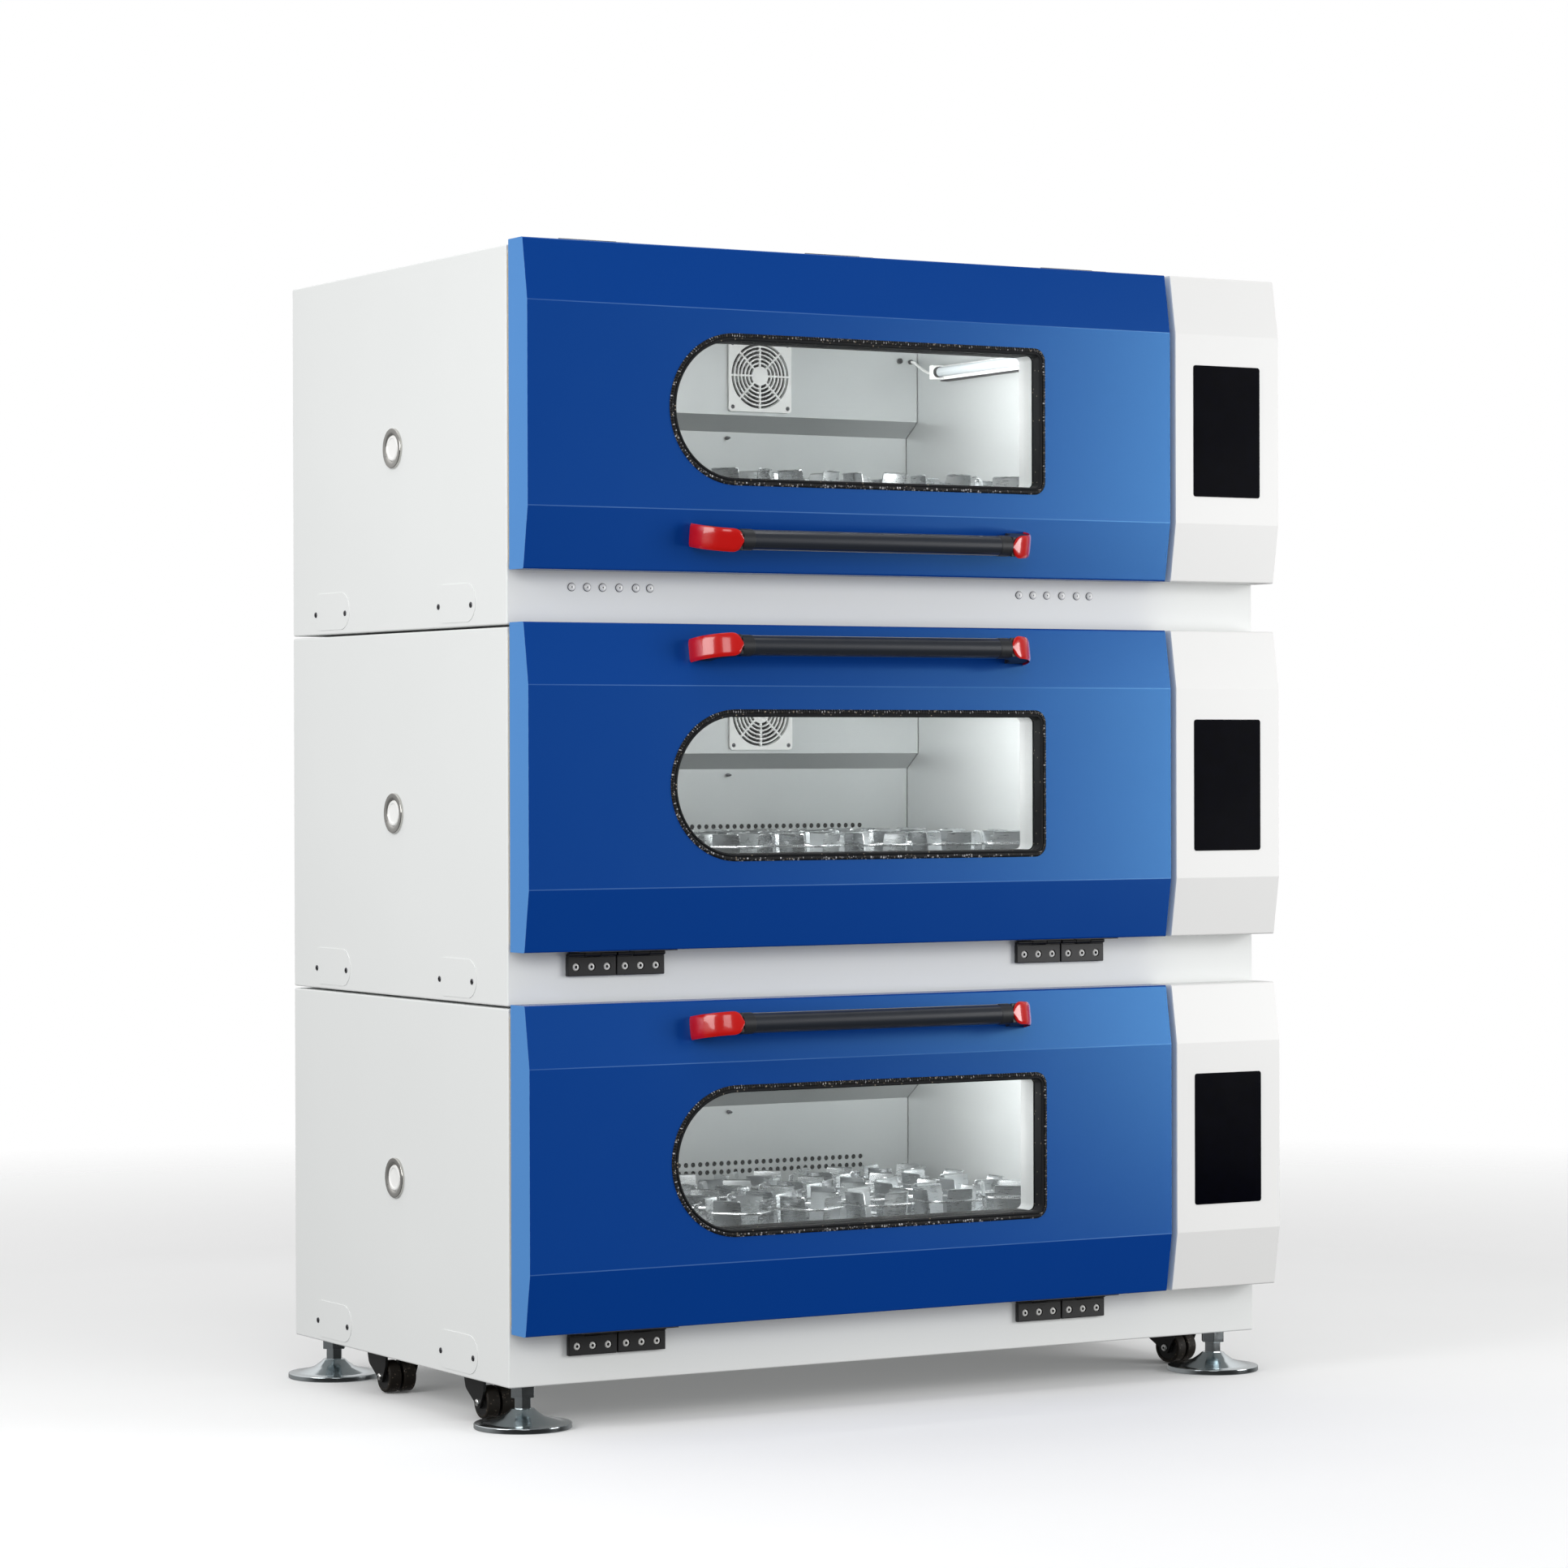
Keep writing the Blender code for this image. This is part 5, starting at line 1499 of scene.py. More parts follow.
    def build(self, shop: Workshop, unit: Unit) -> None:
        """Liner, lamp, lead and sensor of one unit.

        Args:
            shop: Makes the pieces.
            unit: Unit that they belong to.
        """
        shop.fit(unit, "liner", self.liner, LINER_STEEL, HOLE_SHADE, replaces="chamber")
        shop.fit(unit, "lamp_channel", self.lamp_channel, WHITE_PLASTIC, BLACK_PLASTIC)
        shop.fit(unit, "lamp_tube", self.lamp_tube, LAMP_TUBE)
        shop.fit(unit, "lamp_lead", self.lead, BLACK_PLASTIC, WHITE_PLASTIC)
        shop.fit(unit, "sensor", self.sensor, BLUED_STEEL)


@dataclass(frozen=True)
class Fan:
    """Slotted guard on the duct with the fan's frame behind it."""

    x: float = 0.775
    z: float = 0.437
    seat: float = 0.604
    half: float = 0.06
    sheet: float = 0.004
    corner: float = 0.006
    hub: float = 0.0158
    reach: float = 0.0545
    rows: int = 6
    spokes: int = 8
    bar: float = 0.0023
    spoke: float = 0.003
    screw_spread: float = 0.0525
    screw: Numbers = (0.0034, 0.0016, 0.0017)
    ring: float = 0.053
    wall: float = 0.0025
    depth: float = 0.0245
    motor: float = 0.019

    def slots(self) -> list[list[Point]]:
        """Curved slots in rows between the spokes.

        Returns:
            Outline of each slot.
        """
        loops = []
        step = (self.reach + self.bar - self.hub) / self.rows
        for row in range(self.rows):
            inner = self.hub + row * step
            outer = inner + step - self.bar
            for index in range(self.spokes):
                middle = 360 * (index + 0.5) / self.spokes
                near = 180 / self.spokes - math.degrees(self.spoke / 2 / inner)
                far = 180 / self.spokes - math.degrees(self.spoke / 2 / outer)
                steps = 3 + row
                loop = arc((0, 0), inner, middle - near, middle + near, steps)
                loops.append(loop + arc((0, 0), outer, middle + far, middle - far, steps))
        return loops

    def guard(self) -> Solid:
        """White guard plate with its slots.

        Returns:
            The guard.
        """
        outline = rounded_rectangle((-self.half, -self.half), (self.half, self.half), self.corner)
        place = Matrix.Translation((self.x, self.seat - CLEAR, self.z)) @ ONTO_XZ
        return sheet([outline, *self.slots()], self.sheet, place)

    def screws(self) -> Solid:
        """Screw in each corner of the guard.

        Returns:
            The screws.
        """
        ends, y = (-self.screw_spread, self.screw_spread), self.seat - self.sheet - CLEAR
        places = [(self.x + dx, y, self.z + dz) for dx in ends for dz in ends]
        return screws_at(places, FACING_FRONT, *self.screw)

    def frame(self) -> Solid:
        """Ring, struts and motor disc that carry the rotor.

        Returns:
            The frame.
        """
        x, z, low, high = self.x, self.z, self.seat, self.seat + self.depth
        outer, inner = self.ring, self.ring - self.wall
        length = high - low
        shell = lathe([(inner, 0), (outer, 0), (outer, length), (inner, length)], 48, True)
        shapes = [moved(shell, Matrix.Translation((x, high, z)) @ FACING_FRONT)]
        for angle in (40.0, 130.0):
            bar = block((-inner - 0.001, high - 0.003, -0.003), (inner + 0.001, high - CLEAR, 0.003))
            shapes.append(moved(turned(bar, angle, "Y"), Matrix.Translation((x, 0, z))))
        shapes.append(rod((x, high - 0.0045, z), (x, high, z), self.motor, 0.0008))
        shapes.append(rod((x, low + 0.003, z), (x, high - 0.003, z), 0.0025))
        return merged(*shapes)

    def build(self, shop: Workshop, unit: Unit) -> None:
        """Guard, screws and frame of one unit, and the rotor's finish.

        Args:
            shop: Makes the pieces.
            unit: Unit that they belong to.
        """
        shop.fit(unit, "fan_guard", self.guard, WHITE_PLASTIC, replaces="fan_housing")
        shop.fit(unit, "guard_screws", self.screws, BLUED_STEEL, HOLE_SHADE)
        shop.fit(unit, "fan_frame", self.frame, FAN_BLACK)
        shop.dress(f"{unit.name}_fan_rotor", FAN_BLACK)


@dataclass(frozen=True)
class SidePort:
    """Chrome access port in the left side, shut by a white plug."""

    y: float = 0.382
    z: float = 0.28
    bore: float = 0.02
    wall: float = 0.0018
    flange: float = 0.031
    flange_sheet: float = 0.0037
    roll: float = 0.0012
    length: float = 0.0527
    screw_ring: float = 0.0258
    screw: Numbers = (0.003, 0.0009, 0.0014)

    def seat(self, out: float) -> Matrix:
        """Place of a shape drawn about Z, standing out of the left side."""
        return Matrix.Translation((-out, self.y, self.z)) @ FACING_LEFT

    def ring(self) -> Solid:
        """Flange with a rolled rim, and the sleeve through the wall.

        Returns:
            The ring.
        """
        sleeve = self.bore + self.wall
        rim = arc((self.flange - self.roll, self.flange_sheet - self.roll), self.roll, 0, 90, 4)
        profile = [
            (self.bore, -self.length), (sleeve, -self.length), (sleeve, 0.0), (self.flange, 0.0), *rim,
            (self.bore + 0.0045, self.flange_sheet), (self.bore + 0.0015, self.flange_sheet - 0.0008),
            (self.bore, self.flange_sheet - 0.002),
        ]
        return moved(lathe(profile, 56, True), self.seat(CLEAR))

    def plug(self) -> Solid:
        """Soft white plug with a shallow rim and a dished face.

        Returns:
            The plug.
        """
        radius = self.bore - CLEAR
        profile = [
            (0.0, -0.036), (radius - 0.002, -0.036), (radius, -0.032), (radius, 0.0012),
            (radius - 0.0012, 0.0028), (radius - 0.004, 0.0028), (radius - 0.0055, 0.0016), (0.0, 0.001),
        ]
        return moved(lathe(profile, 48), self.seat(0.0005))

    def screws(self) -> Solid:
        """Three screws in the flange."""
        spots = arc((self.y, self.z), self.screw_ring, 90, -150, 2)
        return screws_at([(0.0006 - self.flange_sheet, y, z) for y, z in spots], FACING_LEFT, *self.screw)

    def build(self, shop: Workshop, unit: Unit) -> None:
        """Ring, plug and screws of one unit.

        Args:
            shop: Makes the pieces.
            unit: Unit that they belong to.
        """
        shop.fit(unit, "port_flange", self.ring, CHROME, replaces="port_ring")
        shop.fit(unit, "port_plug", self.plug, WHITE_PLASTIC)
        shop.fit(unit, "port_screws", self.screws, BLUED_STEEL, HOLE_SHADE)


@dataclass(frozen=True)
class Facets:
    """Side outline that the door and the control column share."""

    bottom: float = 0.08
    top: float = 0.563
    edge_proud: float = 0.051
    face_proud: float = 0.066
    band: float = 0.092
    crease: float = 0.005
    corner: float = 0.003

    @property
    def tilt(self) -> float:
        """Slant of the bands, in radians."""
        return math.atan2(self.face_proud - self.edge_proud, self.band)

    def body(self, left: float, width: float, back: float) -> Solid:
        """Solid with this outline along X, its creases and edges rounded.

        Args:
            left: Left end along X.
            width: Length along X.
            back: Depth of its back plane.

        Returns:
            The solid.
        """
        edge, face = -self.edge_proud, -self.face_proud
        points = [
            (back, self.bottom), (edge, self.bottom), (face, self.bottom + self.band),
            (face, self.top - self.band), (edge, self.top), (back, self.top),
        ]
        radii = (0.001, self.corner, self.crease, self.crease, self.corner, 0.001)
        return softened(sideways([filleted(points, radii)], width, left), 0.0022, 3, 60.0)


@dataclass(frozen=True)
class Window:
    """D-shaped window: half circle at the left, round corners at the right."""

    left: float = 0.237
    bottom: float = 0.2095
    width: float = 0.664
    height: float = 0.2265
    corner: float = 0.02
    face: float = -0.066
    pane_near: float = -0.049
    pane_far: float = -0.043
    section: tuple[Point, ...] = (
        (-0.0063, -0.007), (-0.0063, -0.0661), (0.0, -0.0662), (0.0, -0.0672), (-0.0008, -0.0684),
        (-0.0024, -0.069), (-0.0042, -0.0688), (-0.0054, -0.068), (-0.0059, -0.0668), (-0.0066, -0.0668),
        (-0.0071, -0.068), (-0.0082, -0.0687), (-0.0095, -0.0686), (-0.0106, -0.0677), (-0.011, -0.066),
        (-0.011, -0.0493), (-0.0078, -0.0493), (-0.0078, -0.0427), (-0.011, -0.0427), (-0.011, -0.007),
    )
    bead_first: int = 2
    bead_last: int = 7
    reveal: int = 18
    panel_back: float = -0.0058
    panel_sheet: float = 0.0007
    edge_pitch: float = 0.005
    rib_pitch: float = 0.0022
    rib_depth: float = 0.001

    def outline(self, grow: float, pitch: float) -> list[Point]:
        """Window's edge moved outwards, with as many points whatever the move.

        Args:
            grow: How far outwards the edge moves.
            pitch: Distance between points on the edge itself.

        Returns:
            Points in order.
        """
        right, high = self.left + self.width, self.bottom + self.height
        radius, corner = self.height / 2, self.corner
        turns = max(4, round(corner * math.pi / 2 / pitch))
        half = round(radius * math.pi / pitch)
        runs = [
            arc((right - corner, self.bottom + corner), corner + grow, -90, 0, turns),
            arc((right - corner, high - corner), corner + grow, 0, 90, turns),
            arc((self.left + radius, self.bottom + radius), radius + grow, 90, 270, half),
        ]
        lengths = (self.height - 2 * corner, self.width - radius - corner, self.width - radius - corner)
        points = []
        for index, run in enumerate(runs):
            start, end = Vector(run[-1]), Vector(runs[(index + 1) % 3][0])
            steps = round(lengths[index] / pitch)
            points += run
            points += [tuple(start.lerp(end, i / steps)) for i in range(1, steps)]
        return points

    def slab(self, grow: float, near: float, far: float) -> Solid:
        """The window's outline as a solid between two depths."""
        return upright([self.outline(grow, self.edge_pitch)], far - near, far)

    def gasket(self) -> Solid:
        """Rubber frame with a ribbed outer bead, a groove and a smooth inner lip; every other rib takes
        painted glints, and the reveal at the right end is painted pale as lit.

        Returns:
            The frame.
        """
        lines = {grow: self.outline(grow, self.rib_pitch) for grow, _ in self.section}
        ribbed = {grow: self.outline(grow - self.rib_depth, self.rib_pitch) for grow, _ in self.section}
        rings = []
        for k in range(len(lines[0.0])):
            ring = []
            for index, (grow, depth) in enumerate(self.section):
                sunk = bool(k % 2) and self.bead_first < index < self.bead_last
                x, z = (ribbed if sunk else lines)[grow][k]
                ring.append(Vector((x, depth + (self.rib_depth if sunk else 0.0), z)))
            rings.append(ring)
        shape = loft(rings, True)
        count = len(self.section)
        for index, face in enumerate(shape.faces):
            ring, spot = divmod(index, count)
            on_bead = self.bead_first <= spot < self.bead_last
            # Pale finish on the reveal at the right end only: painted light.
            lit_right_end = face.calc_center_median().x > self.left + self.width - self.corner
            # Every other ring of the bead takes the lighter finish of painted glints.
            face.material_index = 3 if lit_right_end and spot == self.reveal else on_bead * (1 + ring % 2)
        return shape

    def pane(self) -> Solid:
        """Glass pane with ground edges."""
        return softened(self.slab(-0.008, self.pane_near, self.pane_far), 0.0006, 2, 60.0)


@dataclass(frozen=True)
class Handle:
    """Tubular grip on two brackets under red caps, drawn about its middle, out towards +Z."""

    x: float = 0.569
    grip: float = 0.434
    radius: float = 0.0155
    step: float = 0.0006
    reach: float = 0.062
    socket: float = 0.02
    spread: float = 0.059
    leg_depth: float = 0.036
    leg_width: float = 0.03
    cap_wall: float = 0.003
    cap_width: float = 0.035
    crown: float = 0.0012
    rim: float = 0.0008
    rise_on_top_hinged: float = 0.0545
    drop_on_sill_hinged: float = 0.0405

    def seat(self, facets: Facets, swing: Swing) -> Matrix:
        """Place and tilt of the handle on its slanted band.

        Args:
            facets: Side outline of the door.
            swing: Which way the door opens.

        Returns:
            Its placement in the unit.
        """
        if swing is Swing.UP:
            up, turn = self.rise_on_top_hinged, math.radians(90) + facets.tilt
            z = facets.bottom + up
        else:
            up, turn = self.drop_on_sill_hinged, math.radians(90) - facets.tilt
            z = facets.top - up
        y = -facets.edge_proud - math.tan(facets.tilt) * up
        lift = Matrix.Translation((0, 0, CLEAR))
        return Matrix.Translation((self.x, y, z)) @ Matrix.Rotation(turn, 4, "X") @ lift

    @property
    def leg_start(self) -> float:
        """Distance from the grip's middle to the end of its sockets."""
        return self.grip / 2 + self.socket

    def curve(self, spread: float, rise: float, steps: int) -> list[Point]:
        """Quarter ellipse from the grip's height down to the door, in (along, out)."""
        angles = [math.radians(90 * i / steps) for i in range(steps + 1)]
        return [(self.leg_start + spread * math.sin(a), rise * math.cos(a)) for a in angles]

    def tube(self) -> Solid:
        """Grip tube between the two sockets."""
        axis, half = self.reach - self.radius, self.grip / 2
        return rod((-half, 0, axis), (half, 0, axis), self.radius, 0.0004, 56)

    def bracket(self) -> Solid:
        """Right-hand socket and leg.

        Returns:
            The bracket.
        """
        clear = self.cap_wall + CLEAR
        outer = self.curve(self.spread - clear, self.reach - clear, 14)
        inner = self.curve(self.spread - self.leg_depth, self.reach - 2 * self.radius + self.cap_wall, 14)
        leg = softened(upright([outer + inner[::-1]], self.leg_width, self.leg_width / 2), 0.003, 3, 50.0)
        axis, start, end = self.reach - self.radius, self.grip / 2, self.leg_start
        socket = rod((start, 0, axis), (end, 0, axis), self.radius + self.step, 0.0008, 56)
        plug = rod((start + 0.002, 0, axis), (end + 0.012, 0, axis), self.radius - 0.004, 0.002, 32)
        return merged(leg, socket, plug)

    def brackets(self) -> Solid:
        """Both brackets."""
        return merged(mirrored(self.bracket()), self.bracket())

    def cap(self, side: Side) -> Solid:
        """Crowned cap with a half-round tip, over the leg at one side.

        Args:
            side: End of the handle.

        Returns:
            The cap.
        """
        half = self.cap_width / 2
        rings = []
        for i in range(41):
            angle = math.radians(90 * (i / 40) ** 0.8) if i else math.radians(0.25)
            sine, cosine = math.sin(angle), math.cos(angle)
            along, out = self.spread * sine, self.reach * cosine
            normal = Vector((sine / self.spread, cosine / self.reach)).normalized()
            reach = math.sqrt(max(half**2 - (half - along) ** 2, 0.0)) if along < half else half
            along += self.leg_start
            top, under = [], []
            for share in [-1 + k / 6 for k in range(13)]:
                drop = self.crown * share**4 + self.rim * max(0.0, abs(share) - 0.9) / 0.1
                inner = share * (reach - self.rim)
                top.append(self.cap_point(along, out, share * reach, normal, -drop))
                under.append(self.cap_point(along, out, inner, normal, 0.0005 - self.cap_wall))
            rings.append(top + under[::-1])
        shape = loft(rings)
        return shape if side is Side.RIGHT else mirrored(shape)

    @staticmethod
    def cap_point(along: float, out: float, across: float, normal: Vector, lift: float) -> Vector:
        """Point of the cap, lifted along the local normal of its curve."""
        return Vector((along + normal.x * lift, across, max(out + normal.y * lift, 0.0)))

    def build(self, shop: Workshop, unit: Unit, facets: Facets) -> None:
        """Grip, brackets and caps of one unit.

        Args:
            shop: Makes the pieces.
            unit: Unit that they belong to.
            facets: Side outline of the door.
        """
        swing, seat = unit.swing.value, self.seat(facets, unit.swing)

        def fit(tag: str, draw: Draw, finish: Finish, node: str, angle: float = 35.0) -> None:
            """Put one piece of the handle on the door."""
            seated, kind = lambda: moved(draw(), seat), f"{tag}_{swing}"
            shop.fit(unit, tag, seated, finish, replaces=node, part="door", kind=kind, angle=angle)

        fit("grip_tube", self.tube, GRIP_BLACK, "handle_bar")
        fit("grip_brackets", self.brackets, BRACKET_BLACK, "")
        for side in Side:
            end = side.name.lower()
            fit(f"red_cap_{end}", lambda: self.cap(side), CAP_RED, f"handle_cap_{end}", 50.0)


@dataclass(frozen=True)
class SillHinges:
    """Black hinge blocks on the sill and their leaves under the door."""

    starts: Numbers = (0.095, 0.885)
    length: float = 0.163
    low: float = 0.042
    high: float = 0.0705
    thickness: float = 0.0077
    gap: float = 0.0016
    axis: Point = (-0.008, 0.0745)
    barrel: float = 0.0035
    leaf: float = 0.036
    leaf_back: float = -0.0125
    door_bottom: float = 0.08
    screw_shifts: Numbers = (-0.026, 0.0, 0.026)
    screw_up: float = 0.0555
    screw: Numbers = (0.0057, 0.0038, 0.0024)

    def halves(self) -> list[tuple[float, float]]:
        """Left and right end of each block, two to a hinge.

        Returns:
            Left and right end of each.
        """
        spans = []
        for start in self.starts:
            middle = start + self.length / 2
            spans += [(start, middle - self.gap / 2), (middle + self.gap / 2, start + self.length)]
        return spans

    def screw_places(self, left: float, right: float) -> list[float]:
        """X of the three screws in a block."""
        return [(left + right) / 2 + shift for shift in self.screw_shifts]

    def fixed(self) -> Solid:
        """Blocks with screw wells, and the outer knuckles of each.

        Returns:
            Blocks and knuckles.
        """
        shapes = []
        face, up, inset = self.thickness, self.screw_up, KNUCKLE_CLEAR
        for left, right in self.halves():
            body = block((left, -face, self.low), (right, -0.0001, self.high), 0.0014, 3)
            places = self.screw_places(left, right)
            wells = [rod((x, -face - 0.001, up), (x, -0.0035, up), 0.0062) for x in places]
            shapes.append(carved(body, *wells))
            third = (right - left) / 3
            for low in (left, right - third):
                near, far = low + inset, low + third - inset
                shapes.append(rod((near, *self.axis), (far, *self.axis), self.barrel, 0.0004, 24))
                web = block((near, self.axis[0] + 0.001, self.high - 0.002), (far, -0.001, self.axis[1]))
                shapes.append(web)
        return merged(*shapes)

    def screws(self) -> Solid:
        """Bright socket screws in the wells."""
        places = [(x, -0.0036, self.screw_up) for half in self.halves() for x in self.screw_places(*half)]
        return screws_at(places, FACING_FRONT, *self.screw)

    def moving(self) -> Solid:
        """Leaves under the door with their middle knuckles.

        Returns:
            Leaves and knuckles.
        """
        shapes = []
        back, under, (y, z) = self.leaf_back, self.door_bottom, self.axis
        for left, right in self.halves():
            third = (right - left) / 3
            low, high = left + third + CLEAR, right - third - CLEAR
            shapes += [
                block((left, back - self.leaf, under - 0.0014), (right, back, under - 0.0001), 0.0004),
                rod((low, y, z), (high, y, z), self.barrel, 0.0004, 24),
                block((low, back - 0.001, z + 0.002), (high, y, under - CLEAR)),
            ]
        return merged(*shapes)

    def build(self, shop: Workshop, unit: Unit) -> None:
        """Fixed and moving parts of one unit's hinges.

        Args:
            shop: Makes the pieces.
            unit: Unit that they belong to.
        """
        shop.fit(unit, "hinge_blocks", self.fixed, HINGE_BLACK, kind="sill_hinge_blocks")
        shop.fit(unit, "hinge_screws", self.screws, SCREW_BRIGHT, HOLE_SHADE, kind="sill_hinge_screws")
        shop.fit(unit, "hinge_leaves", self.moving, HINGE_BLACK, part="door", kind="sill_hinge_leaves")


@dataclass(frozen=True)
class TopHinges:
    """Slim hinges between the cabinet's top and the upper edge of the door."""

    starts: Numbers = (0.086, 0.5075, 0.936)
    length: float = 0.097
    axis: Point = (-0.0015, 0.5665)
    barrel: float = 0.0034
    plate: float = 0.028
    leaf: float = 0.036
    leaf_back: float = -0.006
    cabinet_top: float = 0.5565
    door_top: float = 0.563
    screw: tuple[Point, ...] = ((0, 0), (0.0036, 0), (0.003, 0.0008), (0, 0.0009))

    def spans(self, start: float) -> tuple[tuple[float, float], ...]:
        """Three knuckle spans: fixed, moving, fixed."""
        third, gap = self.length / 3, KNUCKLE_CLEAR
        return tuple((start + i * third + gap, start + (i + 1) * third - gap) for i in range(3))

    def plate_on(self, start: float, near: float, far: float, top: float) -> Solid:
        """Flat leaf of one hinge, lying on a top edge."""
        return block((start, near, top - 0.0004), (start + self.length, far, top + 0.0012), 0.0004)

    def knuckle(self, span: tuple[float, float]) -> Solid:
        """Knuckle over one span."""
        return rod((span[0], *self.axis), (span[1], *self.axis), self.barrel, 0.0004, 24)

    def plate_screws(self, start: float, y: float, top: float) -> list[Solid]:
        """Three flat screws in a leaf."""
        places = [(start + self.length * share, y, top + 0.0011) for share in (0.2, 0.5, 0.8)]
        return [painted(moved(lathe(self.screw, 20), Matrix.Translation(place)), 1) for place in places]

    def fixed(self) -> Solid:
        """Leaves on the cabinet with their outer knuckles and screws.

        Returns:
            Leaves, knuckles and screws.
        """
        shapes = []
        top, (y, z) = self.cabinet_top, self.axis
        for start in self.starts:
            shapes.append(self.plate_on(start, 0.0006, self.plate, top))
            for low, high in self.spans(start)[::2]:
                shapes.append(self.knuckle((low, high)))
                shapes.append(block((low, 0.0007, top + 0.0005), (high, y + 0.0032, z)))
            shapes += self.plate_screws(start, 0.016, top)
        return merged(*shapes)

    def moving(self) -> Solid:
        """Leaves on the door with their middle knuckles and screws.

        Returns:
            Leaves, knuckles and screws.
        """
        shapes = []
        top, back, (y, z) = self.door_top, self.leaf_back, self.axis
        for start in self.starts:
            low, high = self.spans(start)[1]
            shapes.append(self.plate_on(start, back - self.leaf, back, top))
            shapes.append(self.knuckle((low, high)))
            shapes.append(block((low, back - 0.001, top + CLEAR), (high, y, z - 0.0015)))
            shapes += self.plate_screws(start, -0.024, top)
        return merged(*shapes)

    def build(self, shop: Workshop, unit: Unit) -> None:
        """Fixed and moving parts of one unit's hinges.

        Args:
            shop: Makes the pieces.
            unit: Unit that they belong to.
        """
        finishes = (HINGE_BLACK, SCREW_ZINC)
        shop.fit(unit, "hinge_plates", self.fixed, *finishes, kind="top_hinge_plates")
        shop.fit(unit, "hinge_leaves", self.moving, *finishes, part="door", kind="top_hinge_leaves")


@dataclass(frozen=True)
class Door:
    """Blue door with slanted bands and its glazed window."""

    left: float = 0.0013
    width: float = 1.1357
    back: float = -0.006
    facets: Facets = Facets()
    window: Window = Window()
    handle: Handle = Handle()

    def skin(self) -> Solid:
        """Painted shell with the window cut through it; its end faces take a lighter blue of painted light.

        Returns:
            The shell.
        """
        shape = self.facets.body(self.left, self.width, self.back)
        shape = carved(shape, self.window.slab(-0.006, self.window.face - 0.01, self.back + 0.01))
        middle = self.left + self.width / 2
        for face in shape.faces:
            out = abs(face.calc_center_median().x - middle) - self.width / 2
            # End faces take the lighter blue of painted light.
            face.material_index = int(abs(face.normal.x) > 0.98 and out > -0.001)
        return shape

    def panel(self) -> Solid:
        """Stainless panel over the door's back, open at the window.

        Returns:
            The panel.
        """
        low = (self.left + 0.006, self.facets.bottom + 0.006)
        high = (self.left + self.width - 0.006, self.facets.top - 0.006)
        loops = [rounded_rectangle(low, high, 0.004), self.window.outline(-0.005, self.window.edge_pitch)]
        return upright(loops, self.window.panel_sheet, self.window.panel_back)

    def build(self, shop: Workshop, unit: Unit) -> None:
        """Skin, inner panel, gasket, pane, handle and hinges of one unit.

        Args:
            shop: Makes the pieces.
            unit: Unit that they belong to.
        """
        rubbers = (GASKET_RUBBER, BEAD_RUBBER, BEAD_RIB_GLINT_RUBBER, PAINTED_LIGHT_REVEAL)
        pieces = (
            ("door_skin", self.skin, (DOOR_PAINT, DOOR_END_PAINTED_LIGHT), "door_shell", 35.0),
            ("door_panel", self.panel, (LINER_STEEL,), "", 35.0),
            ("window_frame", self.window.gasket, rubbers, "window_gasket", 60.0),
            ("window_pane", self.window.pane, (PANE,), "window_glass", 35.0),
        )
        for tag, draw, finishes, node, angle in pieces:
            shop.fit(unit, tag, draw, *finishes, replaces=node, part="door", angle=angle)
        self.handle.build(shop, unit, self.facets)
        (TopHinges() if unit.swing is Swing.UP else SillHinges()).build(shop, unit)


@dataclass(frozen=True)
class ControlColumn:
    """White column cover with the touch screen in its face."""

    left: float = 1.148
    width: float = 0.199
    back: float = -0.0003
    screen_low: Point = (1.182, 0.215)
    screen_high: Point = (1.31, 0.422)
    corner: float = 0.004
    proud: float = 0.001
    depth: float = 0.012
    facets: Facets = Facets()

    def screen_slab(self, grow: float, near: float, far: float) -> Solid:
        """The screen's outline as a solid between two depths.

        Args:
            grow: How far the outline moves outwards.
            near: Depth of the front.
            far: Depth of the back.

        Returns:
            The solid.
        """
        low = (self.screen_low[0] - grow, self.screen_low[1] - grow)
        high = (self.screen_high[0] + grow, self.screen_high[1] + grow)
        return upright([rounded_rectangle(low, high, self.corner + grow)], far - near, far)

    def cover(self) -> Solid:
        """Column cover with the screen's pocket.

        Returns:
            The cover.
        """
        face = -self.facets.face_proud
        body = self.facets.body(self.left, self.width, self.back)
        return carved(body, self.screen_slab(0.0004, face - 0.01, face + self.depth + 0.001))

    def panel(self) -> Solid:
        """Screen panel with a softened rim."""
        near = -self.facets.face_proud - self.proud
        return softened(self.screen_slab(0.0, near, near + self.depth), 0.0006, 3, 60.0)

    def build(self, shop: Workshop, unit: Unit) -> None:
        """Cover and screen of one unit."""
        shop.fit(unit, "column_cover", self.cover, COLUMN_PAINT, replaces="control_housing")
        shop.fit(unit, "screen_panel", self.panel, SCREEN_GLASS, replaces="touch_screen")


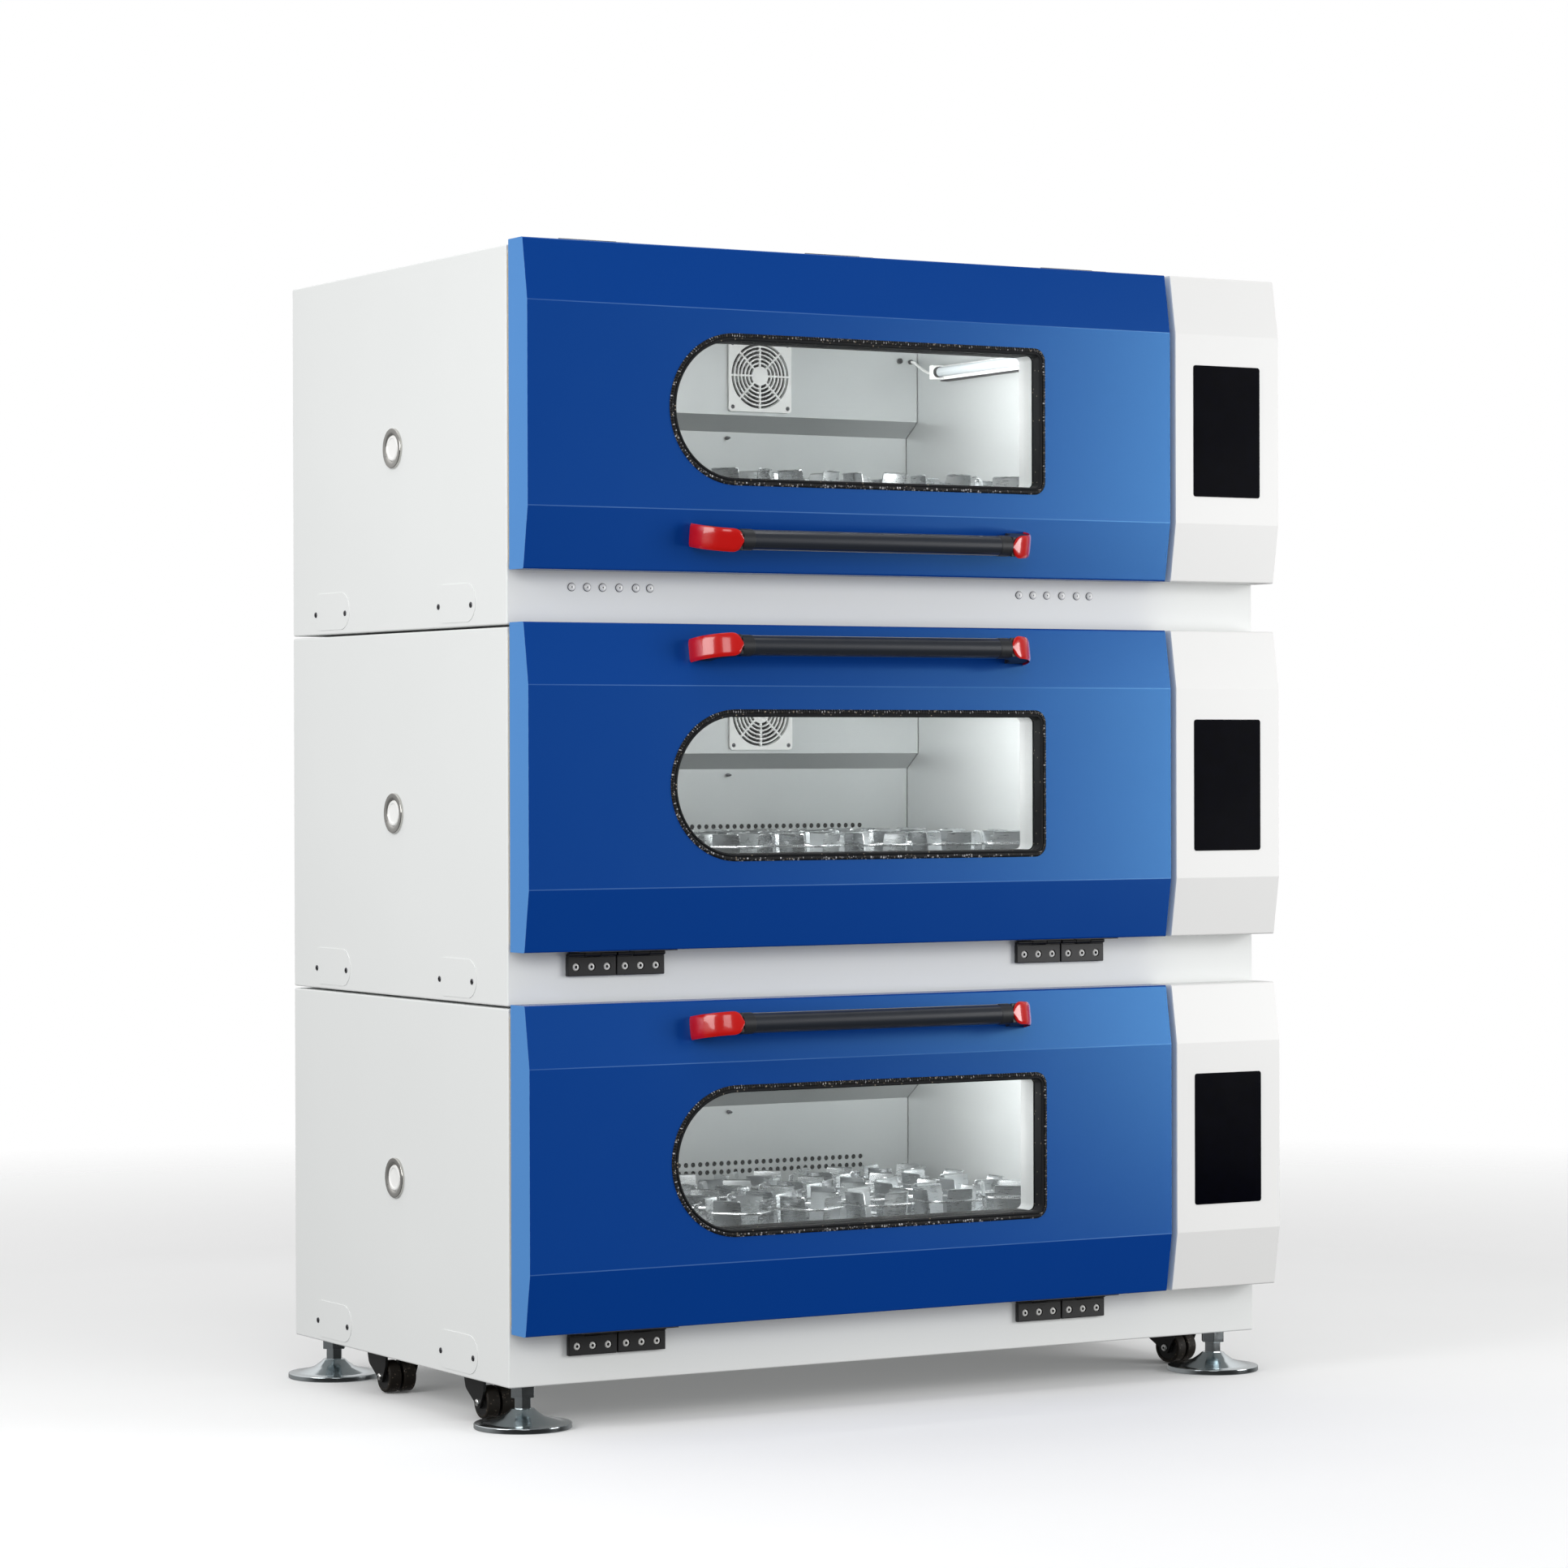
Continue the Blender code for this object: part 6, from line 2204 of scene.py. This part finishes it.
@dataclass(frozen=True)
class FlaskClamps:
    """Spring clamps for flasks, in a grid on the shaking platform."""

    columns: int = 7
    rows: int = 4
    pitch_x: float = 0.125
    pitch_y: float = 0.118
    sheet: float = 0.0012
    leaf_rows: tuple[tuple[float, float, float], ...] = (
        (0.012, 0.0032, 0.01), (0.033, 0.0032, 0.013), (0.038, 0.0046, 0.018), (0.0402, 0.009, 0.0215),
        (0.0425, 0.024, 0.0228), (0.045, 0.044, 0.023), (0.0462, 0.056, 0.023), (0.0474, 0.067, 0.0224),
        (0.0479, 0.0698, 0.022), (0.0498, 0.0712, 0.021), (0.0532, 0.0704, 0.02),
    )
    turns: Numbers = (0.0, 27.0, 52.0, 9.0, 38.0)
    spring_half: float = 0.049
    spring_corner: float = 0.026
    spring_radius: float = 0.002
    spring_up: float = 0.052

    def leaf(self) -> Solid:
        """Bent sheet leaf that leans outwards, towards +X.

        Returns:
            The leaf.
        """
        rings = []
        rows = self.leaf_rows
        for i, (radius, height, half) in enumerate(rows):
            ahead, back = rows[min(i + 1, len(rows) - 1)], rows[max(i - 1, 0)]
            along = Vector((ahead[0] - back[0], 0, ahead[1] - back[1])).normalized()
            normal = Vector((-along.z, 0, along.x)) * (self.sheet / 2)
            hollow = 0.002 * min(1.0, height / 0.02)
            line = [Vector((radius - hollow * s * s, half * s, height)) for s in (-1, -0.5, 0, 0.5, 1)]
            rings.append([p + normal for p in line] + [p - normal for p in reversed(line)])
        return loft(rings)

    def spring(self) -> Solid:
        """Coil spring stretched round the four leaves, every other ring of it drawn in.

        Returns:
            The spring.
        """
        corner = rounded_rectangle((-self.spring_half,) * 2, (self.spring_half,) * 2, self.spring_corner, 8)
        points = []
        for i, here in enumerate(corner):
            ahead = Vector(corner[(i + 1) % len(corner)])
            steps = max(1, round((ahead - Vector(here)).length / 0.004))
            points += [Vector((*Vector(here).lerp(ahead, k / steps), self.spring_up)) for k in range(steps)]
        shape = tube(points, self.spring_radius, 6, True)
        shape.verts.ensure_lookup_table()
        for k in range(1, len(points), 2):
            for vert in shape.verts[k * 6 : k * 6 + 6]:
                vert.co += (points[k] - vert.co) * 0.22
        return shape

    def clamp(self) -> Solid:
        """One clamp standing on z = 0.

        Returns:
            The clamp.
        """
        base = sheet([rounded_rectangle((-0.03, -0.03), (0.03, 0.03), 0.008, 3)], 0.0022)
        leaves = [turned(self.leaf(), 90 * i, "Z") for i in range(4)]
        bolt = moved(socket_screw(0.006, 0.004, 0.0026), Matrix.Translation((0, 0, 0.0036)))
        return merged(base, *leaves, painted(self.spring(), 1), painted(bolt, 1))

    def grid(self) -> Solid:
        """All clamps about the platform's middle.

        Returns:
            All clamps in one shape.
        """
        one = self.clamp()
        mesh = bpy.data.meshes.new("one_clamp")
        one.to_mesh(mesh)
        one.free()
        together = bmesh.new()
        for i in range(self.columns):
            for j in range(self.rows):
                before = len(together.verts)
                together.from_mesh(mesh)
                together.verts.ensure_lookup_table()
                x = (i - (self.columns - 1) / 2) * self.pitch_x
                y = (j - (self.rows - 1) / 2) * self.pitch_y
                angle = math.radians(self.turns[(2 * i + 3 * j) % len(self.turns)])
                place = Matrix.Translation((x, y, 0)) @ Matrix.Rotation(angle, 4, "Z")
                bmesh.ops.transform(together, matrix=place, verts=together.verts[before:])
        bpy.data.meshes.remove(mesh)
        return together

    def build(self, shop: Workshop, unit: Unit) -> None:
        """Clamps of one unit, and its platform's finish.

        Args:
            shop: Makes the pieces.
            unit: Unit that they belong to.
        """
        name = unit.name
        low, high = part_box(f"{name}_platform")
        at = stood_on(low, high, high.z + 0.0002)
        finishes = (CLAMP_STEEL, SPRING_STEEL, HOLE_SHADE)
        shop.place(f"{name}_flask_clamps", self.grid, finishes, f"{name}_table", at, "flask_clamps")
        finishes = {"platform": DECK_STEEL, "drive_motor": MOTOR_ENAMEL, "eccentric": CAST_IRON}
        for node, finish in finishes.items():
            shop.dress(f"{name}_{node}", finish)


@dataclass(frozen=True)
class LevellingFoot:
    """Foot with its disc, cone, hexagon, lock nut and threaded stem, about the stem."""

    drop: float = 0.066
    radius: float = 0.073
    rim: float = 0.008
    cone_radius: float = 0.06
    hexagon: float = 0.0135
    hexagon_top: float = -0.0205
    nut: float = 0.0195
    stem: float = 0.0079
    stem_top: float = 0.04
    pitch: float = 0.0016

    def hexed(self, radius: float, low: float, high: float) -> Solid:
        """Hexagon with its corners chamfered at both ends."""
        return softened(rod((0, 0, low), (0, 0, high), radius, segments=6), 0.0006)

    def thread(self) -> Solid:
        """Stem with the ridges of its thread.

        Returns:
            The stem.
        """
        low, high = self.hexagon_top - 0.002, self.stem_top
        starts = [low + i * self.pitch for i in range(int((high - low) / self.pitch))]
        ridges = [p for z in starts for p in ((self.stem - 0.0008, z), (self.stem, z + self.pitch / 2))]
        return lathe([(0.0, low), *ridges, (self.stem - 0.002, high), (0.0, high)], 24)

    def draw(self) -> Solid:
        """The whole foot.

        Returns:
            The foot.
        """
        floor = -self.drop
        top = floor + self.rim
        rim = arc((self.radius - 0.0015, top - 0.0015), 0.0015, 0, 90, 4)
        profile = [
            (0.0, floor), (self.radius - 0.001, floor), (self.radius, floor + 0.001), *rim,
            (self.cone_radius + 0.001, top), (self.cone_radius - 0.004, top + 0.0015), (0.033, top + 0.0085),
            (0.0215, top + 0.0165), (0.0175, top + 0.0205), (0.016, top + 0.0212), (0.0, top + 0.0212),
        ]
        disc = lathe(profile, 72)
        hexagon = self.hexed(self.hexagon, top + 0.021, self.hexagon_top + 0.0005)
        return merged(disc, hexagon, self.hexed(self.nut, self.hexagon_top, -0.0004), self.thread())

    def build(self, shop: Workshop, corner: str) -> None:
        """Foot of one corner.

        Args:
            shop: Makes the piece.
            corner: Name of the corner.
        """
        node = f"{corner}_levelling_foot"
        low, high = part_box(node)
        at = stood_on(low, high, low.z + self.drop)
        shop.place(f"{corner}_foot_assembly", self.draw, [ZINC], f"{corner}_foot", at, "foot", [node])


@dataclass(frozen=True)
class Castor:
    """Twin-wheel castor about its swivel's axis."""

    insets: tuple[float, float] = (0.052, 1.29)
    backs: tuple[float, float] = (0.175, 0.515)
    drop: float = 0.066
    trail: float = 0.025
    lift: float = 0.0015
    wheel: float = 0.025
    wheel_width: float = 0.021
    gap: float = 0.004
    side_gap: float = 0.0015
    cheek: float = 0.004
    head: float = 0.019
    bridge: float = 0.006
    nose: float = 0.021
    tail: float = 0.021
    eye: float = 0.009
    bolt: float = 0.0055
    bolt_height: float = 0.004

    @property
    def axle_up(self) -> float:
        """Height of the axle under the cabinet."""
        return -self.drop + self.lift + self.wheel

    def fork(self) -> Solid:
        """Swivel head, bridge, rounded cheeks and bright bolts.

        Returns:
            The fork.
        """
        half = self.gap / 2 + self.wheel_width + self.side_gap
        z, back, under, eye = self.axle_up, -self.trail, -self.bridge, self.eye
        width, tail, nose = half + self.cheek, back - self.tail, self.nose
        head = rod((0, 0, under + 0.0006), (0, 0, -0.0004), self.head, 0.0006)
        top = block((-width, tail, under), (width, nose, under / 2), 0.001)
        outline = [
            (nose, under + 0.001), (tail, under + 0.001), (tail + 0.002, z * 0.55), (back - eye, z - 0.002),
            (back - eye * 0.6, z - eye), (back + eye * 0.6, z - eye), (back + eye + 0.003, z),
            (nose * 0.75, z * 0.55),
        ]
        rounded = filleted(outline, (0.001, 0.001, 0.01, 0.006, 0.004, 0.004, 0.008, 0.012))
        shapes = [head, top]
        for left in (-width, half):
            shapes.append(softened(sideways([rounded], self.cheek, left), 0.0009, 2, 60.0))
        shapes.append(painted(rod((-width, back, z), (width, back, z), 0.0038), 1))
        for sign, facing in ((-1, FACING_LEFT), (1, FACING_RIGHT)):
            place = (sign * (width - CLEAR), back, z)
            shapes.append(painted(screws_at([place], facing, self.bolt, self.bolt_height, 0.002), 1))
        return merged(*shapes)

    def wheels(self) -> Solid:
        """Two treads on one hub, about the axle along X.

        Returns:
            Both wheels.
        """
        inner, outer, r = self.gap / 2, self.gap / 2 + self.wheel_width, self.wheel
        round_off = 0.003
        tread = arc((r - round_off, outer - round_off), round_off, 90, 0, 4)
        tread += arc((r - round_off, inner + round_off), round_off, 0, -90, 4)
        dish = outer - 0.0015
        face = [(0.0043, outer), (0.009, outer), (0.01, dish), (0.019, dish), (0.02, outer)]
        shapes = []
        for sign in (1, -1):
            half = lathe([*face, *tread, (0.012, inner), (0.012, 0.0), (0.0043, 0.0)], 48, True)
            for part in half.faces:
                part.material_index = int(part.calc_center_median().to_2d().length < 0.0205)
            shapes.append(turned(half, 90 * sign, "Y"))
        return merged(*shapes)

    def build(self, shop: Workshop, corner: str, origin: Vector) -> None:
        """Fork and wheels of one corner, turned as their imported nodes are.

        Args:
            shop: Makes the pieces.
            corner: Name of the corner.
            origin: The lowest unit's origin.
        """
        x, y = self.insets["right" in corner], self.backs["rear" in corner]
        joint = next(j for j in frame["joints"] if j["name"] == f"{corner}_axle")
        turn = Matrix.Rotation(math.atan2(joint["axis"][1], joint["axis"][0]), 4, "Z")
        swivel = Matrix.Translation(origin + Vector((x, y, 0))) @ turn
        axle = swivel @ Matrix.Translation((0, -self.trail, self.axle_up))
        fork_finishes = (CASTOR_BLACK, SCREW_ZINC, HOLE_SHADE)
        for tag, draw, finishes, body, at, node in (
            ("castor_frame", self.fork, fork_finishes, "castor", swivel, "castor_fork"),
            ("castor_treads", self.wheels, (TREAD_RUBBER, CASTOR_BLACK), "wheels", axle, "castor_wheels"),
        ):
            shop.place(f"{corner}_{tag}", draw, finishes, f"{corner}_{body}", at, tag, [f"{corner}_{node}"])


@dataclass(frozen=True)
class Studio:
    """Camera, lamps, pale floor and white surroundings."""

    camera_at: tuple[float, float, float] = (-3.7476, -6.3999, 0.99007)
    yaw: float = 0.528783
    pitch: float = -0.005717
    roll: float = -0.002706
    lens: float = 106.503
    surround: float = 0.64
    ground: float = 0.28
    floor_colour: Colour = (0.93, 0.93, 0.93)
    floor_roughness: float = 0.85
    floor_radius: float = 5.0
    chamber_lamps: tuple[tuple, ...] = (
        ("chamber_light", (0.58, 0.1, 0.5), (0, 0.8, -0.65), (0.9, 0.12), 2.2, 180.0),
        ("wall_light", (0.7, 0.24, 0.36), (1, 0.05, 0.15), (0.24, 0.16), 1.5, 110.0),
    )

    def camera(self) -> None:
        """Camera at the photograph's angle."""
        data = bpy.data.cameras.new("camera")
        data.lens = self.lens
        data.sensor_width = 36.0
        data.clip_end = 100.0
        camera = bpy.data.objects.new("camera", data)
        bpy.context.scene.collection.objects.link(camera)
        level = math.cos(self.pitch)
        forward = Vector((math.sin(self.yaw) * level, math.cos(self.yaw) * level, math.sin(self.pitch)))
        right = forward.cross(Vector((0, 0, 1))).normalized()
        up = right.cross(forward)
        side = right * math.cos(self.roll) + up * math.sin(self.roll)
        top = up * math.cos(self.roll) - right * math.sin(self.roll)
        turn = Matrix((side, top, -forward)).transposed().to_4x4()
        camera.matrix_world = Matrix.Translation(self.camera_at) @ turn
        bpy.context.scene.camera = camera

    @staticmethod
    def lamp(
        name: str, at: Sequence[float], towards: Sequence[float], size: Point, power: float,
        spread: float = 180.0,
    ) -> None:
        """Rectangular soft lamp.

        Args:
            name: Name of the lamp.
            at: Its place.
            towards: Point that it faces.
            size: Width and height.
            power: Power in watts.
            spread: Full angle of its beam in degrees.
        """
        data = bpy.data.lights.new(name, "AREA")
        data.spread = math.radians(spread)
        data.shape = "RECTANGLE"
        data.size, data.size_y = size
        data.energy = power
        lamp = bpy.data.objects.new(name, data)
        bpy.context.scene.collection.objects.link(lamp)
        lamp.location = at
        lamp.rotation_euler = (Vector(towards) - Vector(at)).to_track_quat("-Z", "Y").to_euler()

    def lamps(self, units: Sequence[Unit]) -> None:
        """Studio lamps, and the light inside each chamber.

        Args:
            units: The stack's units.
        """
        self.lamp("left_key", (-4.2, -1.0, 2.2), (-0.5, 0.0, 0.9), (2.4, 2.4), 88.0)
        self.lamp("front_right", (4.45, -4.0, 1.35), (0.3, -0.3, 1.0), (2.5, 2.9), 165.0)
        self.lamp("front_left", (-2.6, -5.2, 2.6), (0.0, -0.3, 0.9), (2.2, 1.8), 40.0)
        self.lamp("overhead", (0.0, -0.4, 4.6), (0.0, 0.0, 0.0), (3.4, 3.0), 30.0)
        for unit in units:
            for tag, spot, aim, size, power, spread in self.chamber_lamps:
                at = unit.origin + Vector(spot)
                self.lamp(f"{unit.name}_{tag}", at, at + Vector(aim), size, power, spread)

    def world(self) -> None:
        """Even surroundings that the camera, metal and glass see as white."""
        world = bpy.data.worlds.new("surroundings")
        bpy.context.scene.world = world
        world.use_nodes = True
        graph = Graph(world.node_tree)
        path = graph.add("LightPath").outputs
        seen = graph.maths("MAXIMUM", path["Is Camera Ray"], path["Is Transmission Ray"])
        direction = graph.add("TexCoord").outputs["Generated"]
        depth = graph.add("SeparateXYZ", {0: direction}).outputs["Y"]
        level = graph.add("SeparateXYZ", {0: direction}).outputs["Z"]
        far, high = graph.span(depth, -0.3, 0.4, 0.1, 1.0), graph.span(level, -0.2, 0.6, 0.2, 1.0)
        glossy = graph.product(path["Is Glossy Ray"], graph.product(far, high))
        soft = graph.span(level, -0.25, 0.15, self.ground, self.surround)
        plain = graph.product(graph.maths("SUBTRACT", 1.0, path["Is Glossy Ray"]), soft)
        strength = graph.maths("MAXIMUM", graph.maths("ADD", glossy, plain), seen)
        light = graph.add("Background", {"Color": (1.0, 1.0, 1.0, 1.0), "Strength": strength})
        graph.add("OutputWorld", {"Surface": light.outputs[0]})

    def floor(self) -> None:
        """Pale floor that fades into the surroundings."""
        material = bpy.data.materials.new("studio_floor")
        material.use_nodes = True
        graph = Graph(material.node_tree)
        place = graph.add("TexCoord").outputs["Object"]
        far = graph.add("VectorMath", {0: place}, operation="LENGTH").outputs["Value"]
        fade = graph.span(far, 2.2, self.floor_radius * 0.95)
        grain = graph.effect(PaintGrain, Place=place, Grain=300.0, Drift=0.02)
        tone = graph.shade(self.floor_colour, grain["Tint"])
        inputs = {"Base Color": tone, "Roughness": self.floor_roughness, "Specular IOR Level": 0.1}
        surface = graph.add("BsdfPrincipled", inputs)
        clear = graph.add("BsdfTransparent")
        mixed = graph.add("MixShader", {0: fade, 1: surface.outputs[0], 2: clear.outputs[0]})
        graph.add("OutputMaterial", {"Surface": mixed.outputs[0]})
        mesh = bpy.data.meshes.new("studio_floor")
        shape = lathe([(0.0, 0.0), (self.floor_radius, 0.0)], 96)
        shape.to_mesh(mesh)
        shape.free()
        mesh.materials.append(material)
        floor = bpy.data.objects.new("studio_floor", mesh)
        floor.location = (0, 0, CAD_BOUNDS[0].z - 0.0002)
        bpy.context.scene.collection.objects.link(floor)
        floor.visible_diffuse = False
        floor.visible_glossy = False
        floor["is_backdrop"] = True

    def build(self, units: Sequence[Unit]) -> None:
        """The whole studio.

        Args:
            units: The stack's units.
        """
        bpy.context.scene.view_settings.view_transform = "Standard"
        self.camera()
        self.lamps(units)
        self.world()
        self.floor()


def stack_units(casing: Casing) -> list[Unit]:
    """The three units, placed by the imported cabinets.

    Args:
        casing: Casing of every unit.

    Returns:
        Units from the lowest up.
    """
    low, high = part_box("lower_cabinet")
    base = Vector((low.x, high.y - casing.depth, high.z - casing.height))
    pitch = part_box("middle_chamber")[0].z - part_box("lower_chamber")[0].z
    swings = {"lower": Swing.DOWN, "middle": Swing.DOWN, "upper": Swing.UP}
    return [
        Unit(name, level, base + Vector((0, 0, pitch * level)), swing)
        for level, (name, swing) in enumerate(swings.items())
    ]


def main() -> None:
    """Dress the whole stack."""
    logging.basicConfig(level=logging.INFO, format="%(name)s: %(message)s")
    shop = Workshop()
    casing = Casing()
    units = stack_units(casing)
    for unit in units:
        for assembly in (casing, Chamber(), Fan(), SidePort(), Door(), ControlColumn(), FlaskClamps()):
            assembly.build(shop, unit)
    for corner in ("front_left", "front_right", "rear_left", "rear_right"):
        LevellingFoot().build(shop, corner)
        Castor().build(shop, corner, units[0].origin)
    Studio().build(units)
    LOG.info("%d pieces placed", shop.count)


if __name__ == "__main__":
    main()
